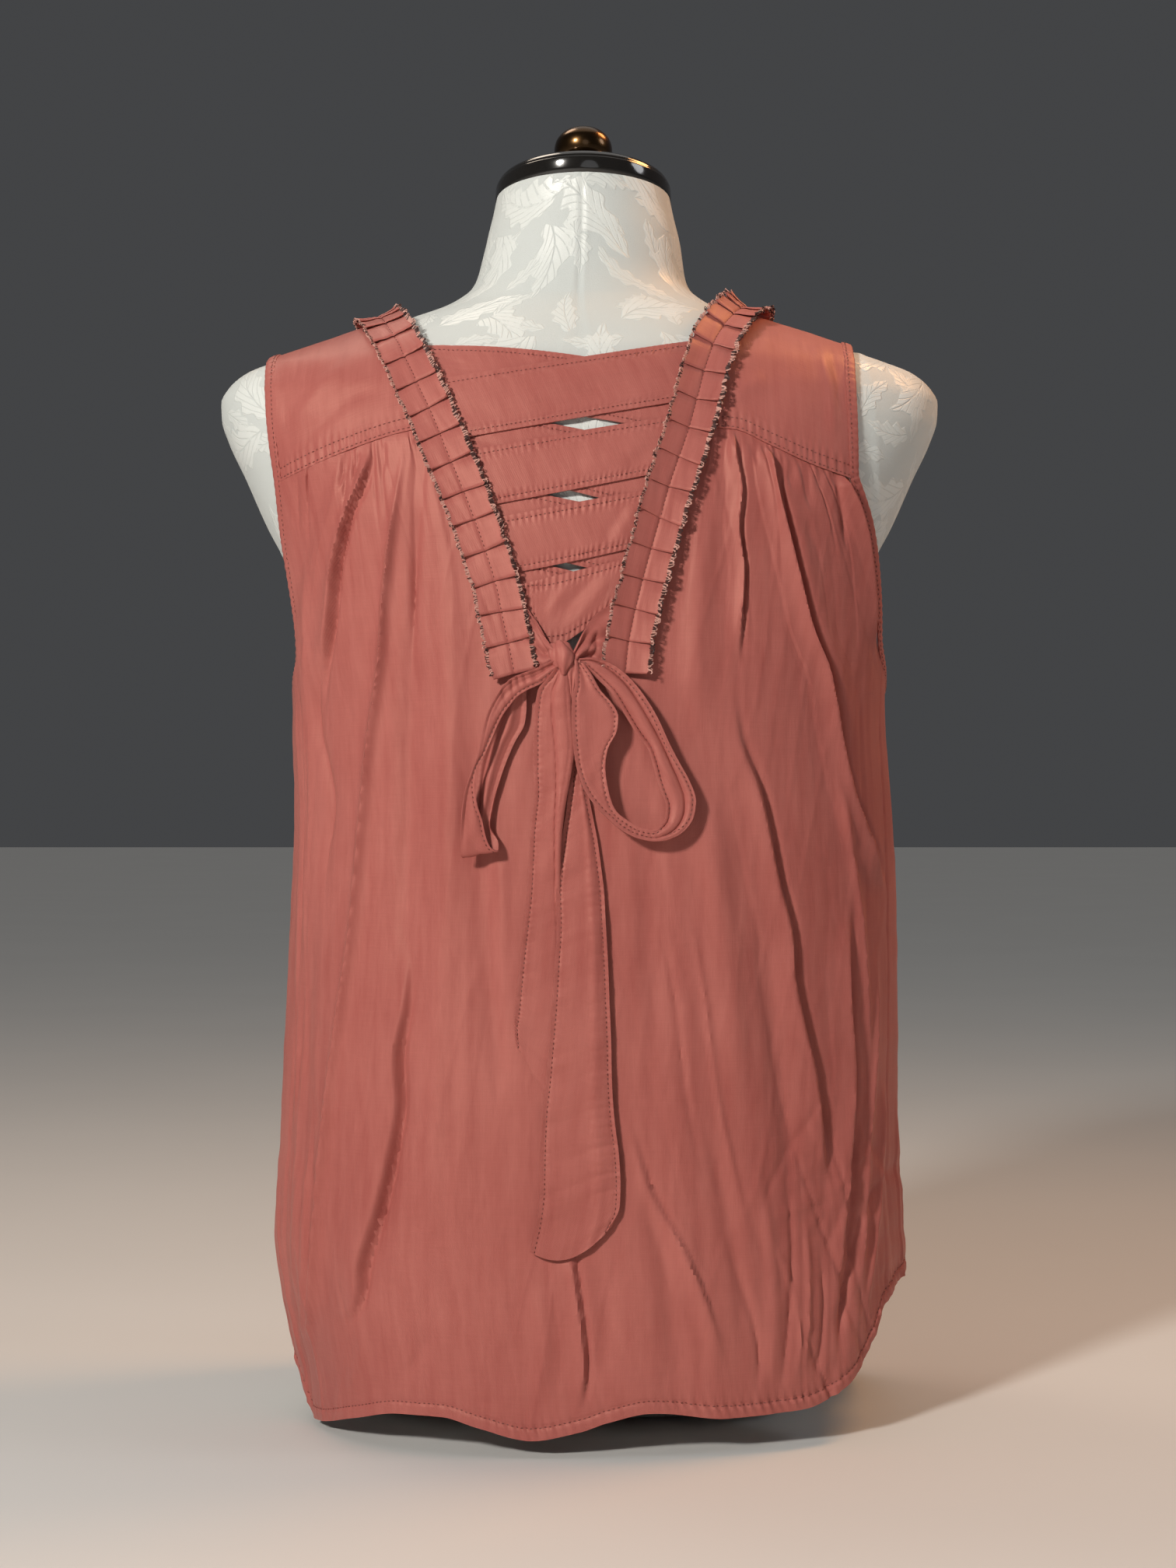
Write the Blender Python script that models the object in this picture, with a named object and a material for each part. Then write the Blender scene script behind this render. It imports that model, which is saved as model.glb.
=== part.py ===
"""Sleeveless ruffled blouse on a limbless dress form, seen from the back.

Metres, +Z up. The blouse's back faces -Y, the wearer's right is +X, and the
dress form's flat underside is at z = 0 with the origin at its middle.

The cloth follows one support surface: over the shoulders it is the form's own
skin, and from the shoulder blades down it is the tube in which the cloth
hangs. Every cloth piece is a wall whose middle lies a stated distance out
from that surface.
"""
import math

import bpy
import numpy as np

# ---------------------------------------------------------------- sizes, in metres
GAP = 0.0003            # between pieces that are sewn together
CLOTH = 0.0012          # wall of the body, the yokes and the ties
STRAP = 0.0010          # wall of a strap
BINDING = 0.0018        # wall of the armhole binding
BINDING_WIDTH = 0.0060
RUFFLE = 0.0012
RUFFLE_HALF = 0.0115    # half the width of the pleated strip
PLEAT = 0.0175          # pitch of its pleats
PLEAT_RISE = 0.0011
BODY_OUT = 0.0022       # middle of the cloth, out from the support
STRAP_L_OUT = 0.0024
STRAP_R_OUT = 0.0041
RUFFLE_OUT = 0.0060
FORWARD_SEAM = 0.028    # from the shoulder ridge forward to the shoulder seam
CAP_TILT = math.tan(math.radians(9))

# Shoulders and neck of the form: height, half width, depth forward, depth back, roundness
SHOULDERS = [
    (0.560, 0.2045, 0.078, 0.102, 2.35),
    (0.574, 0.2090, 0.073, 0.098, 2.30),
    (0.584, 0.2095, 0.069, 0.095, 2.25),
    (0.592, 0.2055, 0.066, 0.092, 2.20),
    (0.600, 0.1965, 0.062, 0.089, 2.15),
    (0.6065, 0.1805, 0.059, 0.086, 2.10),
    (0.613, 0.1610, 0.056, 0.082, 2.10),
    (0.6195, 0.1410, 0.054, 0.078, 2.05),
    (0.6265, 0.1190, 0.052, 0.073, 2.00),
    (0.633, 0.0990, 0.051, 0.068, 2.00),
    (0.6385, 0.0830, 0.050, 0.064, 2.00),
    (0.6435, 0.0725, 0.050, 0.061, 2.00),
    (0.649, 0.0650, 0.051, 0.058, 2.00),
    (0.656, 0.0612, 0.053, 0.055, 2.00),
    (0.667, 0.0587, 0.056, 0.052, 2.00),
    (0.680, 0.0560, 0.059, 0.049, 2.00),
    (0.692, 0.0530, 0.061, 0.047, 2.00),
    (0.7025, 0.0508, 0.062, 0.046, 2.00),
]
# Torso of the form: the same columns
TORSO = [
    (0.000, 0.115, 0.085, 0.045, 2.20),
    (0.010, 0.132, 0.099, 0.072, 2.20),
    (0.026, 0.147, 0.109, 0.092, 2.20),
    (0.052, 0.158, 0.116, 0.104, 2.25),
    (0.090, 0.162, 0.118, 0.108, 2.30),
    (0.140, 0.154, 0.112, 0.102, 2.30),
    (0.190, 0.136, 0.102, 0.091, 2.25),
    (0.227, 0.124, 0.096, 0.085, 2.20),
    (0.270, 0.125, 0.098, 0.088, 2.20),
    (0.320, 0.134, 0.108, 0.096, 2.20),
    (0.370, 0.145, 0.123, 0.103, 2.25),
    (0.400, 0.149, 0.125, 0.106, 2.30),
    (0.440, 0.154, 0.115, 0.110, 2.35),
    (0.480, 0.166, 0.101, 0.111, 2.40),
    (0.512, 0.1825, 0.091, 0.110, 2.40),
    (0.540, 0.1950, 0.084, 0.106, 2.40),
]
# Hang of the cloth below the shoulder blades: height, half width left, half
# width right, depth forward, depth back, roundness
HANG = [
    (0.000, 0.157, 0.188, 0.137, 0.134, 2.30),
    (0.025, 0.159, 0.188, 0.136, 0.133, 2.30),
    (0.050, 0.164, 0.187, 0.135, 0.132, 2.30),
    (0.075, 0.169, 0.186, 0.134, 0.131, 2.30),
    (0.105, 0.173, 0.184, 0.133, 0.129, 2.30),
    (0.170, 0.171, 0.182, 0.132, 0.126, 2.30),
    (0.230, 0.168, 0.182, 0.131, 0.123, 2.30),
    (0.290, 0.165, 0.181, 0.130, 0.121, 2.30),
    (0.350, 0.163, 0.178, 0.128, 0.119, 2.30),
    (0.400, 0.163, 0.175, 0.127, 0.117, 2.35),
    (0.440, 0.168, 0.177, 0.119, 0.115, 2.40),
    (0.480, 0.177, 0.181, 0.106, 0.113, 2.40),
    (0.512, 0.186, 0.187, 0.095, 0.111, 2.40),
    (0.540, 0.1955, 0.1955, 0.085, 0.107, 2.40),
]
# Back hem: place round the back (-1 left side seam, 0 middle, 1 right side seam), height
HEM_BACK = [
    (-1.00, 0.085), (-0.93, 0.060), (-0.86, 0.033), (-0.80, 0.010), (-0.76, 0.0035),
    (-0.70, 0.0045), (-0.53, 0.0125), (-0.375, 0.0192), (-0.27, 0.0195), (-0.18, 0.0142),
    (-0.08, 0.0088), (-0.01, 0.0125), (0.035, 0.0185), (0.103, 0.0232), (0.243, 0.0190),
    (0.41, 0.0205), (0.546, 0.0310), (0.651, 0.0515), (0.708, 0.0690), (0.842, 0.0800), (1.00, 0.085),
]
HEM_FRONT = [
    (-1.00, 0.085), (-0.88, 0.055), (-0.72, 0.026), (-0.50, 0.016), (-0.20, 0.012),
    (0.10, 0.015), (0.40, 0.013), (0.65, 0.024), (0.85, 0.054), (1.00, 0.085),
]
# Armhole edges of the panels, underarm upwards: half width, height. None in
# the first column gives the place round the side instead, in the third.
ARM_BACK_LEFT = [
    (None, 0.4050, 1.00), (None, 0.4080, 0.93), (None, 0.4160, 0.87), (0.1562, 0.432, None),
    (0.1580, 0.465, None), (0.1625, 0.495, None), (0.1660, 0.5325, None),
]
ARM_BACK_RIGHT = [
    (None, 0.4140, 1.00), (None, 0.4170, 0.93), (None, 0.4250, 0.87), (0.1685, 0.440, None),
    (0.1675, 0.459, None), (0.1642, 0.487, None), (0.1600, 0.507, None), (0.1545, 0.522, None),
    (0.1500, 0.5325, None),
]
ARM_FRONT_LEFT = [
    (None, 0.4050, 1.00), (None, 0.4080, 0.93), (None, 0.4160, 0.87), (0.1540, 0.432, None),
    (0.1490, 0.462, None), (0.1470, 0.500, None), (0.1500, 0.540, None), (0.1580, 0.575, None),
    (0.1670, 0.597, None),
]
ARM_FRONT_RIGHT = [
    (None, 0.4140, 1.00), (None, 0.4170, 0.93), (None, 0.4250, 0.87), (0.1640, 0.440, None),
    (0.1560, 0.462, None), (0.1480, 0.500, None), (0.1460, 0.540, None), (0.1475, 0.575, None),
    (0.1505, 0.600, None),
]
# Edges of the V in the back, from its bottom up to the yoke seam: x, height
V_LEFT = [
    (-0.0345, 0.4225), (-0.0368, 0.4343), (-0.0403, 0.4500), (-0.0442, 0.4692), (-0.0498, 0.4879),
    (-0.0553, 0.5037), (-0.0670, 0.5330), (-0.0778, 0.5590),
]
V_RIGHT = [
    (0.0250, 0.4225), (0.0262, 0.4343), (0.0290, 0.4500), (0.0335, 0.4692), (0.0385, 0.4879),
    (0.0430, 0.5037), (0.0518, 0.5330), (0.0605, 0.5580),
]
# Seam between body and yoke: x, height, from the armhole in to the V
SEAM_LEFT = [(-0.1660, 0.5325), (-0.1310, 0.5450), (-0.1000, 0.5545), (-0.0778, 0.5590)]
SEAM_RIGHT = [(0.1500, 0.5325), (0.1284, 0.5388), (0.1048, 0.5484), (0.0850, 0.5565), (0.0605, 0.5580)]
# Yoke edges: part of the way from the seam (0) to the shoulder ridge (1) and on
# to the shoulder seam (2), x at the armhole, x at the V
YOKE_LEFT = [
    (0.00, -0.1660, -0.0778), (0.25, -0.1695, -0.0915), (0.40, -0.1710, -0.0995), (0.60, -0.1722, -0.1085),
    (1.00, -0.1728, -0.1168), (2.00, -0.1710, -0.1172),
]
YOKE_RIGHT = [
    (0.00, 0.1500, 0.0605), (0.25, 0.1495, 0.0687), (0.40, 0.1490, 0.0750), (0.60, 0.1495, 0.0860),
    (1.00, 0.1520, 0.0982), (2.00, 0.1530, 0.0988),
]
# Neckline of the front, from its bottom corner up to the shoulder seam: x, height
NECK_LEFT = [(-0.0550, 0.5550), (-0.0800, 0.5660), (-0.0990, 0.5860), (-0.1090, 0.6060)]
NECK_RIGHT = [(0.0450, 0.5550), (0.0660, 0.5670), (0.0830, 0.5880), (0.0925, 0.6080)]
NECK_DIP = 0.006        # the middle of the front neckline, below its corners
# Largest folds of the hanging cloth: x and height at its top, the same at its
# bottom, half width, height out (+) or in (-)
FOLDS_BACK = [
    (-0.1055, 0.420, -0.1500, 0.040, 0.011, 0.0045),
    (-0.1200, 0.545, -0.1400, 0.300, 0.012, -0.0030),
    (-0.0900, 0.420, -0.1200, 0.080, 0.014, -0.0040),
    (-0.0640, 0.420, -0.0750, 0.060, 0.015, 0.0022),
    (0.0850, 0.430, 0.1320, 0.120, 0.014, -0.0035),
    (0.1030, 0.545, 0.1500, 0.250, 0.012, 0.0035),
    (0.1250, 0.180, 0.1330, 0.030, 0.010, -0.0030),
    (0.1480, 0.200, 0.1500, 0.040, 0.010, 0.0030),
]
FOLDS_FRONT = [
    (-0.1000, 0.400, -0.1250, 0.030, 0.013, 0.0050),
    (-0.0600, 0.380, -0.0750, 0.030, 0.014, -0.0040),
    (-0.0150, 0.370, -0.0150, 0.030, 0.014, 0.0035),
    (0.0350, 0.380, 0.0450, 0.030, 0.014, -0.0040),
    (0.0800, 0.390, 0.0950, 0.030, 0.013, 0.0045),
    (0.1180, 0.400, 0.1400, 0.040, 0.012, -0.0035),
]
# Straps: height of the top and bottom edge at the left end, at the right end,
# droop of the bottom edge at mid span
STRAPS = {
    "strap_l1": (0.6050, 0.5760, 0.5840, 0.5530, 0.0030),
    "strap_l2": (0.5730, 0.5400, 0.5450, 0.5100, 0.0010),
    "strap_l3": (0.5290, 0.4950, 0.5070, 0.4730, 0.0010),
    "strap_l4": (0.4890, 0.4580, 0.4690, 0.4590, 0.0000),
    "strap_r1": (0.5825, 0.5490, 0.6080, 0.5730, 0.0000),
    "strap_r2": (0.5420, 0.5120, 0.5650, 0.5330, 0.0005),
    "strap_r3": (0.5050, 0.4750, 0.5245, 0.4930, 0.0010),
    "strap_r4": (0.4675, 0.4560, 0.4875, 0.4590, 0.0140),
}
# Ribbons of the bow. Each row crosses the ribbon: x and height of one edge, x
# and height of the other, distance out from the support at each edge
TAIL_LEFT = [
    (-0.0190, 0.4200, -0.0108, 0.4200, 0.0095, 0.0100),
    (-0.0236, 0.4100, -0.0062, 0.4100, 0.0090, 0.0100),
    (-0.0245, 0.3906, -0.0064, 0.3906, 0.0088, 0.0098),
    (-0.0245, 0.3612, -0.0090, 0.3612, 0.0082, 0.0092),
    (-0.0257, 0.3317, -0.0116, 0.3317, 0.0072, 0.0080),
    (-0.0283, 0.3107, -0.0132, 0.3107, 0.0064, 0.0066),
    (-0.0295, 0.2866, -0.0112, 0.2850, 0.0056, 0.0046),
    (-0.0318, 0.2643, -0.0090, 0.2600, 0.0052, 0.0044),
    (-0.0341, 0.2416, -0.0070, 0.2250, 0.0050, 0.0044),
    (-0.0350, 0.2265, -0.0060, 0.1680, 0.0050, 0.0044),
]
TAIL_RIGHT = [
    (-0.0062, 0.4190, -0.0010, 0.4190, 0.0072, 0.0074),
    (-0.0034, 0.4075, 0.0067, 0.4075, 0.0066, 0.0070),
    (-0.0040, 0.3818, 0.0084, 0.3818, 0.0060, 0.0066),
    (-0.0078, 0.3485, 0.0090, 0.3485, 0.0060, 0.0068),
    (-0.0118, 0.3107, 0.0109, 0.3107, 0.0074, 0.0074),
    (-0.0135, 0.2728, 0.0130, 0.2728, 0.0084, 0.0076),
    (-0.0148, 0.2357, 0.0155, 0.2357, 0.0086, 0.0076),
    (-0.0177, 0.2054, 0.0172, 0.2054, 0.0084, 0.0074),
    (-0.0198, 0.1759, 0.0189, 0.1759, 0.0080, 0.0072),
    (-0.0209, 0.1480, 0.0223, 0.1530, 0.0074, 0.0070),
    (-0.0222, 0.1280, 0.0218, 0.1400, 0.0072, 0.0070),
    (-0.0257, 0.1090, 0.0170, 0.1200, 0.0072, 0.0072),
]
LOOP_LEFT = [
    (-0.0180, 0.4302, -0.0172, 0.4256, 0.0120, 0.0115),
    (-0.0277, 0.4268, -0.0252, 0.4206, 0.0130, 0.0120),
    (-0.0373, 0.4190, -0.0319, 0.4136, 0.0150, 0.0130),
    (-0.0444, 0.4060, -0.0377, 0.4023, 0.0165, 0.0145),
    (-0.0502, 0.3898, -0.0435, 0.3864, 0.0175, 0.0150),
    (-0.0552, 0.3716, -0.0485, 0.3687, 0.0180, 0.0155),
    (-0.0601, 0.3561, -0.0518, 0.3528, 0.0180, 0.0160),
    (-0.0633, 0.3394, -0.0510, 0.3386, 0.0170, 0.0165),
    (-0.0632, 0.3225, -0.0446, 0.3278, 0.0130, 0.0130),
    (-0.0590, 0.3392, -0.0487, 0.3409, 0.0085, 0.0085),
    (-0.0552, 0.3569, -0.0477, 0.3577, 0.0070, 0.0072),
    (-0.0510, 0.3716, -0.0435, 0.3729, 0.0065, 0.0070),
    (-0.0444, 0.3885, -0.0352, 0.3885, 0.0062, 0.0066),
    (-0.0373, 0.4031, -0.0295, 0.4010, 0.0060, 0.0064),
    (-0.0302, 0.4157, -0.0252, 0.4124, 0.0060, 0.0062),
    (-0.0227, 0.4222, -0.0205, 0.4190, 0.0062, 0.0062),
]
LOOP_RIGHT = [
    (0.0010, 0.4300, 0.0006, 0.4250, 0.0090, 0.0092),
    (0.0100, 0.4294, 0.0092, 0.4224, 0.0088, 0.0092),
    (0.0229, 0.4258, 0.0175, 0.4166, 0.0086, 0.0090),
    (0.0325, 0.4142, 0.0242, 0.4042, 0.0086, 0.0090),
    (0.0433, 0.3949, 0.0325, 0.3865, 0.0090, 0.0090),
    (0.0532, 0.3748, 0.0400, 0.3718, 0.0100, 0.0090),
    (0.0611, 0.3551, 0.0433, 0.3571, 0.0115, 0.0095),
    (0.0624, 0.3446, 0.0470, 0.3487, 0.0125, 0.0105),
    (0.0570, 0.3366, 0.0450, 0.3416, 0.0135, 0.0120),
    (0.0441, 0.3307, 0.0391, 0.3370, 0.0145, 0.0135),
    (0.0308, 0.3320, 0.0316, 0.3412, 0.0150, 0.0150),
    (0.0212, 0.3391, 0.0229, 0.3500, 0.0155, 0.0160),
    (0.0116, 0.3496, 0.0171, 0.3592, 0.0155, 0.0165),
    (0.0033, 0.3634, 0.0141, 0.3718, 0.0152, 0.0165),
    (-0.0001, 0.3822, 0.0183, 0.3856, 0.0150, 0.0165),
    (-0.0018, 0.3990, 0.0229, 0.3982, 0.0148, 0.0165),
    (-0.0026, 0.4116, 0.0128, 0.4108, 0.0146, 0.0160),
    (-0.0034, 0.4200, 0.0033, 0.4212, 0.0148, 0.0155),
]
TIE_LEFT = [
    (-0.0262, 0.4470, -0.0232, 0.4260, 0.0062, 0.0062),
    (-0.0225, 0.4445, -0.0210, 0.4266, 0.0074, 0.0074),
    (-0.0172, 0.4365, -0.0178, 0.4318, 0.0096, 0.0096),
]
TIE_RIGHT = [
    (0.0008, 0.4372, 0.0012, 0.4318, 0.0100, 0.0100),
    (0.0075, 0.4450, 0.0075, 0.4315, 0.0080, 0.0078),
    (0.0140, 0.4500, 0.0118, 0.4312, 0.0062, 0.0062),
]
KNOT_AT = (-0.0085, 0.4306, 0.0118)      # x, height, distance out
KNOT_HALF = (0.0068, 0.0054, 0.0085)     # half width, half depth, half height
# Turned profiles, radius and height: the neck cap (radius as a share of the
# neck) and the knob
CAP = [(1.000, 0.0), (1.018, 0.003), (1.015, 0.0075), (0.975, 0.0118), (0.90, 0.0140), (0.60, 0.0152), (0.30, 0.0155)]
KNOB = [(0.0105, 0.0), (0.0102, 0.003), (0.0140, 0.007), (0.0166, 0.0115), (0.0172, 0.0160),
        (0.0160, 0.0210), (0.0125, 0.0255), (0.0070, 0.0285)]
NECK_MIDDLE = 0.008     # the middle of the neck's top, forward of the axis
NECK_SHIFT = 0.0022     # the neck leans this far to the right

COLOURS = {             # colour, roughness, metallic
    "cloth": ((0.42, 0.115, 0.085), 0.50, 0.0),
    "form": ((0.80, 0.79, 0.74), 0.60, 0.0),
    "cap": ((0.012, 0.011, 0.010), 0.12, 0.0),
    "knob": ((0.10, 0.055, 0.02), 0.25, 1.0),
}


# ---------------------------------------------------------------- surfaces
def smooth(xs, ys, x):
    """A curve through the rows of a table, with no overshoot between them."""
    xs, ys, x = np.asarray(xs, float), np.asarray(ys, float), np.asarray(x, float)
    h = np.diff(xs)
    d = np.diff(ys) / h
    m = np.zeros_like(ys)
    for k in range(1, len(xs) - 1):
        if d[k - 1] * d[k] > 0:
            w1, w2 = 2 * h[k] + h[k - 1], h[k] + 2 * h[k - 1]
            m[k] = (w1 + w2) / (w1 / d[k - 1] + w2 / d[k])
    m[0], m[-1] = d[0], d[-1]
    i = np.clip(np.searchsorted(xs, x) - 1, 0, len(xs) - 2)
    t = np.clip((x - xs[i]) / h[i], 0, 1)
    return ((2 * t**3 - 3 * t**2 + 1) * ys[i] + (t**3 - 2 * t**2 + t) * h[i] * m[i]
            + (-2 * t**3 + 3 * t**2) * ys[i + 1] + (t**3 - t**2) * h[i] * m[i + 1])


class Skin:
    """A stack of rounded rings, wider or deeper on each side as its rows say."""

    def __init__(self, rows):
        columns = np.array(rows, float).T
        self.z, self.left, self.right, self.front, self.back, self.power = columns

    def sizes(self, z):
        return [smooth(self.z, c, z) for c in (self.left, self.right, self.front, self.back, self.power)]

    def ring(self, place, z, side=1):
        """A point on the back (side 1) or the front (side -1), -1 at the left and 1 at the right."""
        place, z = np.asarray(place, float), np.asarray(z, float)
        left, right, front, back, n = self.sizes(z)
        s, c = np.sin(place * math.pi / 2), np.cos(place * math.pi / 2)
        x = np.where(s < 0, left, right) * np.sign(s) * np.abs(s) ** (2 / n)
        y = -side * (back if side > 0 else front) * np.abs(c) ** (2 / n)
        return np.stack(np.broadcast_arrays(x, y, z), -1)

    def place(self, x, z):
        left, right, _, _, n = self.sizes(z)
        share = np.clip(np.abs(x) / np.where(x < 0, left, right), 0, 1)
        return np.sign(x) * np.arcsin(share ** (n / 2)) * 2 / math.pi

    def level(self, p):
        x, y, z = p[..., 0], p[..., 1], p[..., 2]
        left, right, front, back, n = self.sizes(z)
        return (np.abs(x) / np.where(x < 0, left, right)) ** n + (np.abs(y) / np.where(y > 0, front, back)) ** n - 1

    def slope(self, p, h=1e-4):
        steps = np.eye(3) * h
        return np.stack([(self.level(p + e) - self.level(p - e)) / (2 * h) for e in steps], -1)

    def normal(self, p):
        g = self.slope(p)
        return g / np.maximum(np.linalg.norm(g, axis=-1, keepdims=True), 1e-12)

    def settle(self, p, out=0.0):
        """The point of the surface nearest to p, then moved out along its normal."""
        p = np.array(p, float)
        for _ in range(6):
            g = self.slope(p)
            p = p - g * (self.level(p) / np.maximum((g**2).sum(-1), 1e-9))[..., None]
        return p + self.normal(p) * np.asarray(out, float)[..., None]

    def back_at(self, x, z):
        """The point of the back at x and z."""
        left, right, _, back, n = self.sizes(z)
        share = np.clip(np.abs(x) / np.where(np.asarray(x) < 0, left, right), 0, 0.9999)
        y = -back * (1 - share**n) ** (1 / n)
        return np.stack(np.broadcast_arrays(x, y, z), -1)

    def ridge(self, x):
        """Height of the shoulder ridge at x."""
        x = np.asarray(x, float)
        low, high = np.full(x.shape, 0.584), np.full(x.shape, 0.7025)
        for _ in range(40):
            middle = (low + high) / 2
            left, right = self.sizes(middle)[:2]
            inside = np.where(x < 0, left, right) > np.abs(x)
            low, high = np.where(inside, middle, low), np.where(inside, high, middle)
        return (low + high) / 2

    def slice(self, x, samples=160, depth=0.11):
        """The section of the surface at x over the shoulder: points from the back round to the front,
        and the distance of each along it from the ridge, negative at the back."""
        top = float(self.ridge(x))
        z = top - depth * np.linspace(1, 0, samples) ** 2
        left, right, front, back, n = self.sizes(z)
        share = np.clip(abs(x) / (left if x < 0 else right), 0, 1)
        rise = (1 - share**n) ** (1 / n)
        y = np.concatenate([-back * rise, (front * rise)[-2::-1]])
        z = np.concatenate([z, z[-2::-1]])
        run = np.concatenate([[0], np.cumsum(np.hypot(np.diff(y), np.diff(z)))])
        return y, z, run - run[samples - 1]

    def over_shoulder(self, x, along):
        y, z, run = self.slice(x)
        return np.array([x, np.interp(along, run, y), np.interp(along, run, z)])


FORM = Skin([(z, a, a, f, b, n) for z, a, f, b, n in TORSO + SHOULDERS])
SUPPORT = Skin(HANG + [(z, a, a, f, b, n) for z, a, f, b, n in SHOULDERS])


# ---------------------------------------------------------------- making solids
def material(name, kind):
    colour, roughness, metallic = COLOURS[kind]
    made = bpy.data.materials.new(name)
    made.use_nodes = True
    shader = made.node_tree.nodes["Principled BSDF"]
    shader.inputs["Base Color"].default_value = (*colour, 1.0)
    shader.inputs["Roughness"].default_value = roughness
    shader.inputs["Metallic"].default_value = metallic
    made.diffuse_color = (*colour, 1.0)
    return made


def add_object(name, points, faces, kind):
    mesh = bpy.data.meshes.new(name)
    mesh.from_pydata([tuple(float(c) for c in p) for p in points], [], faces)
    mesh.validate()
    mesh.shade_smooth()
    mesh.set_sharp_from_angle(angle=math.radians(50))
    made = bpy.data.objects.new(name, mesh)
    mesh.materials.append(material(name + "_finish", kind))
    bpy.context.scene.collection.objects.link(made)
    return made


def wall(name, middle, normals, cells, thick, kind="cloth"):
    """A closed wall over the cells of a grid. cells[j][i] says if the cell between rows j, j+1 and
    columns i, i+1 is cloth; normals point out of the garment, and the grid runs so that rows x columns
    faces out."""
    rows, columns = middle.shape[:2]
    thick = np.broadcast_to(np.asarray(thick, float), (rows, columns))[..., None]
    outer, inner = middle + normals * thick / 2, middle - normals * thick / 2
    index = -np.ones((rows, columns), int)
    points, faces, edges = [], [], {}
    for j in range(rows - 1):
        for i in range(columns - 1):
            if cells[j][i]:
                for b, a in ((j, i), (j, i + 1), (j + 1, i + 1), (j + 1, i)):
                    if index[b, a] < 0:
                        index[b, a] = len(points)
                        points.append((b, a))
    count = len(points)
    for j in range(rows - 1):
        for i in range(columns - 1):
            if not cells[j][i]:
                continue
            q = [index[j, i], index[j, i + 1], index[j + 1, i + 1], index[j + 1, i]]
            short = (np.linalg.norm(middle[j, i] - middle[j + 1, i + 1])
                     <= np.linalg.norm(middle[j, i + 1] - middle[j + 1, i]))
            triangles = ((q[0], q[1], q[2]), (q[0], q[2], q[3])) if short else ((q[0], q[1], q[3]), (q[1], q[2], q[3]))
            for a, b, c in triangles:
                faces.append((a, b, c))
                faces.append((a + count, c + count, b + count))
            for a, b in ((q[0], q[1]), (q[1], q[2]), (q[2], q[3]), (q[3], q[0])):
                if (b, a) in edges:
                    del edges[(b, a)]
                else:
                    edges[(a, b)] = True
    for a, b in edges:
        faces.append((b, a, a + count, b + count))
    where = [outer[b, a] for b, a in points] + [inner[b, a] for b, a in points]
    return add_object(name, where, outward(where, faces), kind)


def outward(points, faces):
    """The faces as they are, or all turned over if together they face inwards."""
    p = np.array(points)
    volume = 0.0
    for f in faces:
        for k in range(1, len(f) - 1):
            volume += float(np.dot(p[f[0]], np.cross(p[f[k]], p[f[k + 1]])))
    return faces if volume > 0 else [tuple(reversed(f)) for f in faces]


# ---------------------------------------------------------------- body panels
def edge_curve(rows, side, sign, top=None):
    """An armhole edge as places and heights, even along its length: rows are half width or place, and height."""
    places, heights = [], []
    for half, z, place in rows:
        if half is not None:
            place = float(SUPPORT.place(np.array(half), np.array(z))) if sign > 0 else float(-SUPPORT.place(np.array(-half), np.array(z)))
        places.append(place * sign)
        heights.append(z)
    if top is not None:
        places.append(top[0])
        heights.append(top[1])
    return even_curve(places, heights, side)


def even_curve(places, heights, side):
    p = SUPPORT.ring(np.array(places), np.array(heights), side)
    run = np.concatenate([[0], np.cumsum(np.linalg.norm(np.diff(p, axis=0), axis=1))])
    run /= run[-1]
    return lambda t: (smooth(run, places, t), smooth(run, heights, t))


def fold_height(rows, x, z):
    """How far the folds stand out at x, z."""
    total = np.zeros(np.broadcast(x, z).shape)
    for x0, z0, x1, z1, half, height in rows:
        t = np.clip((z0 - z) / (z0 - z1), 0, 1)
        fade = np.clip((z0 - z) / 0.06, 0, 1) * np.clip((z - z1) / 0.05 + 1, 0, 1)
        total = total + height * fade * np.exp(-((x - (x0 + (x1 - x0) * t)) / half) ** 2)
    return total


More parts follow.
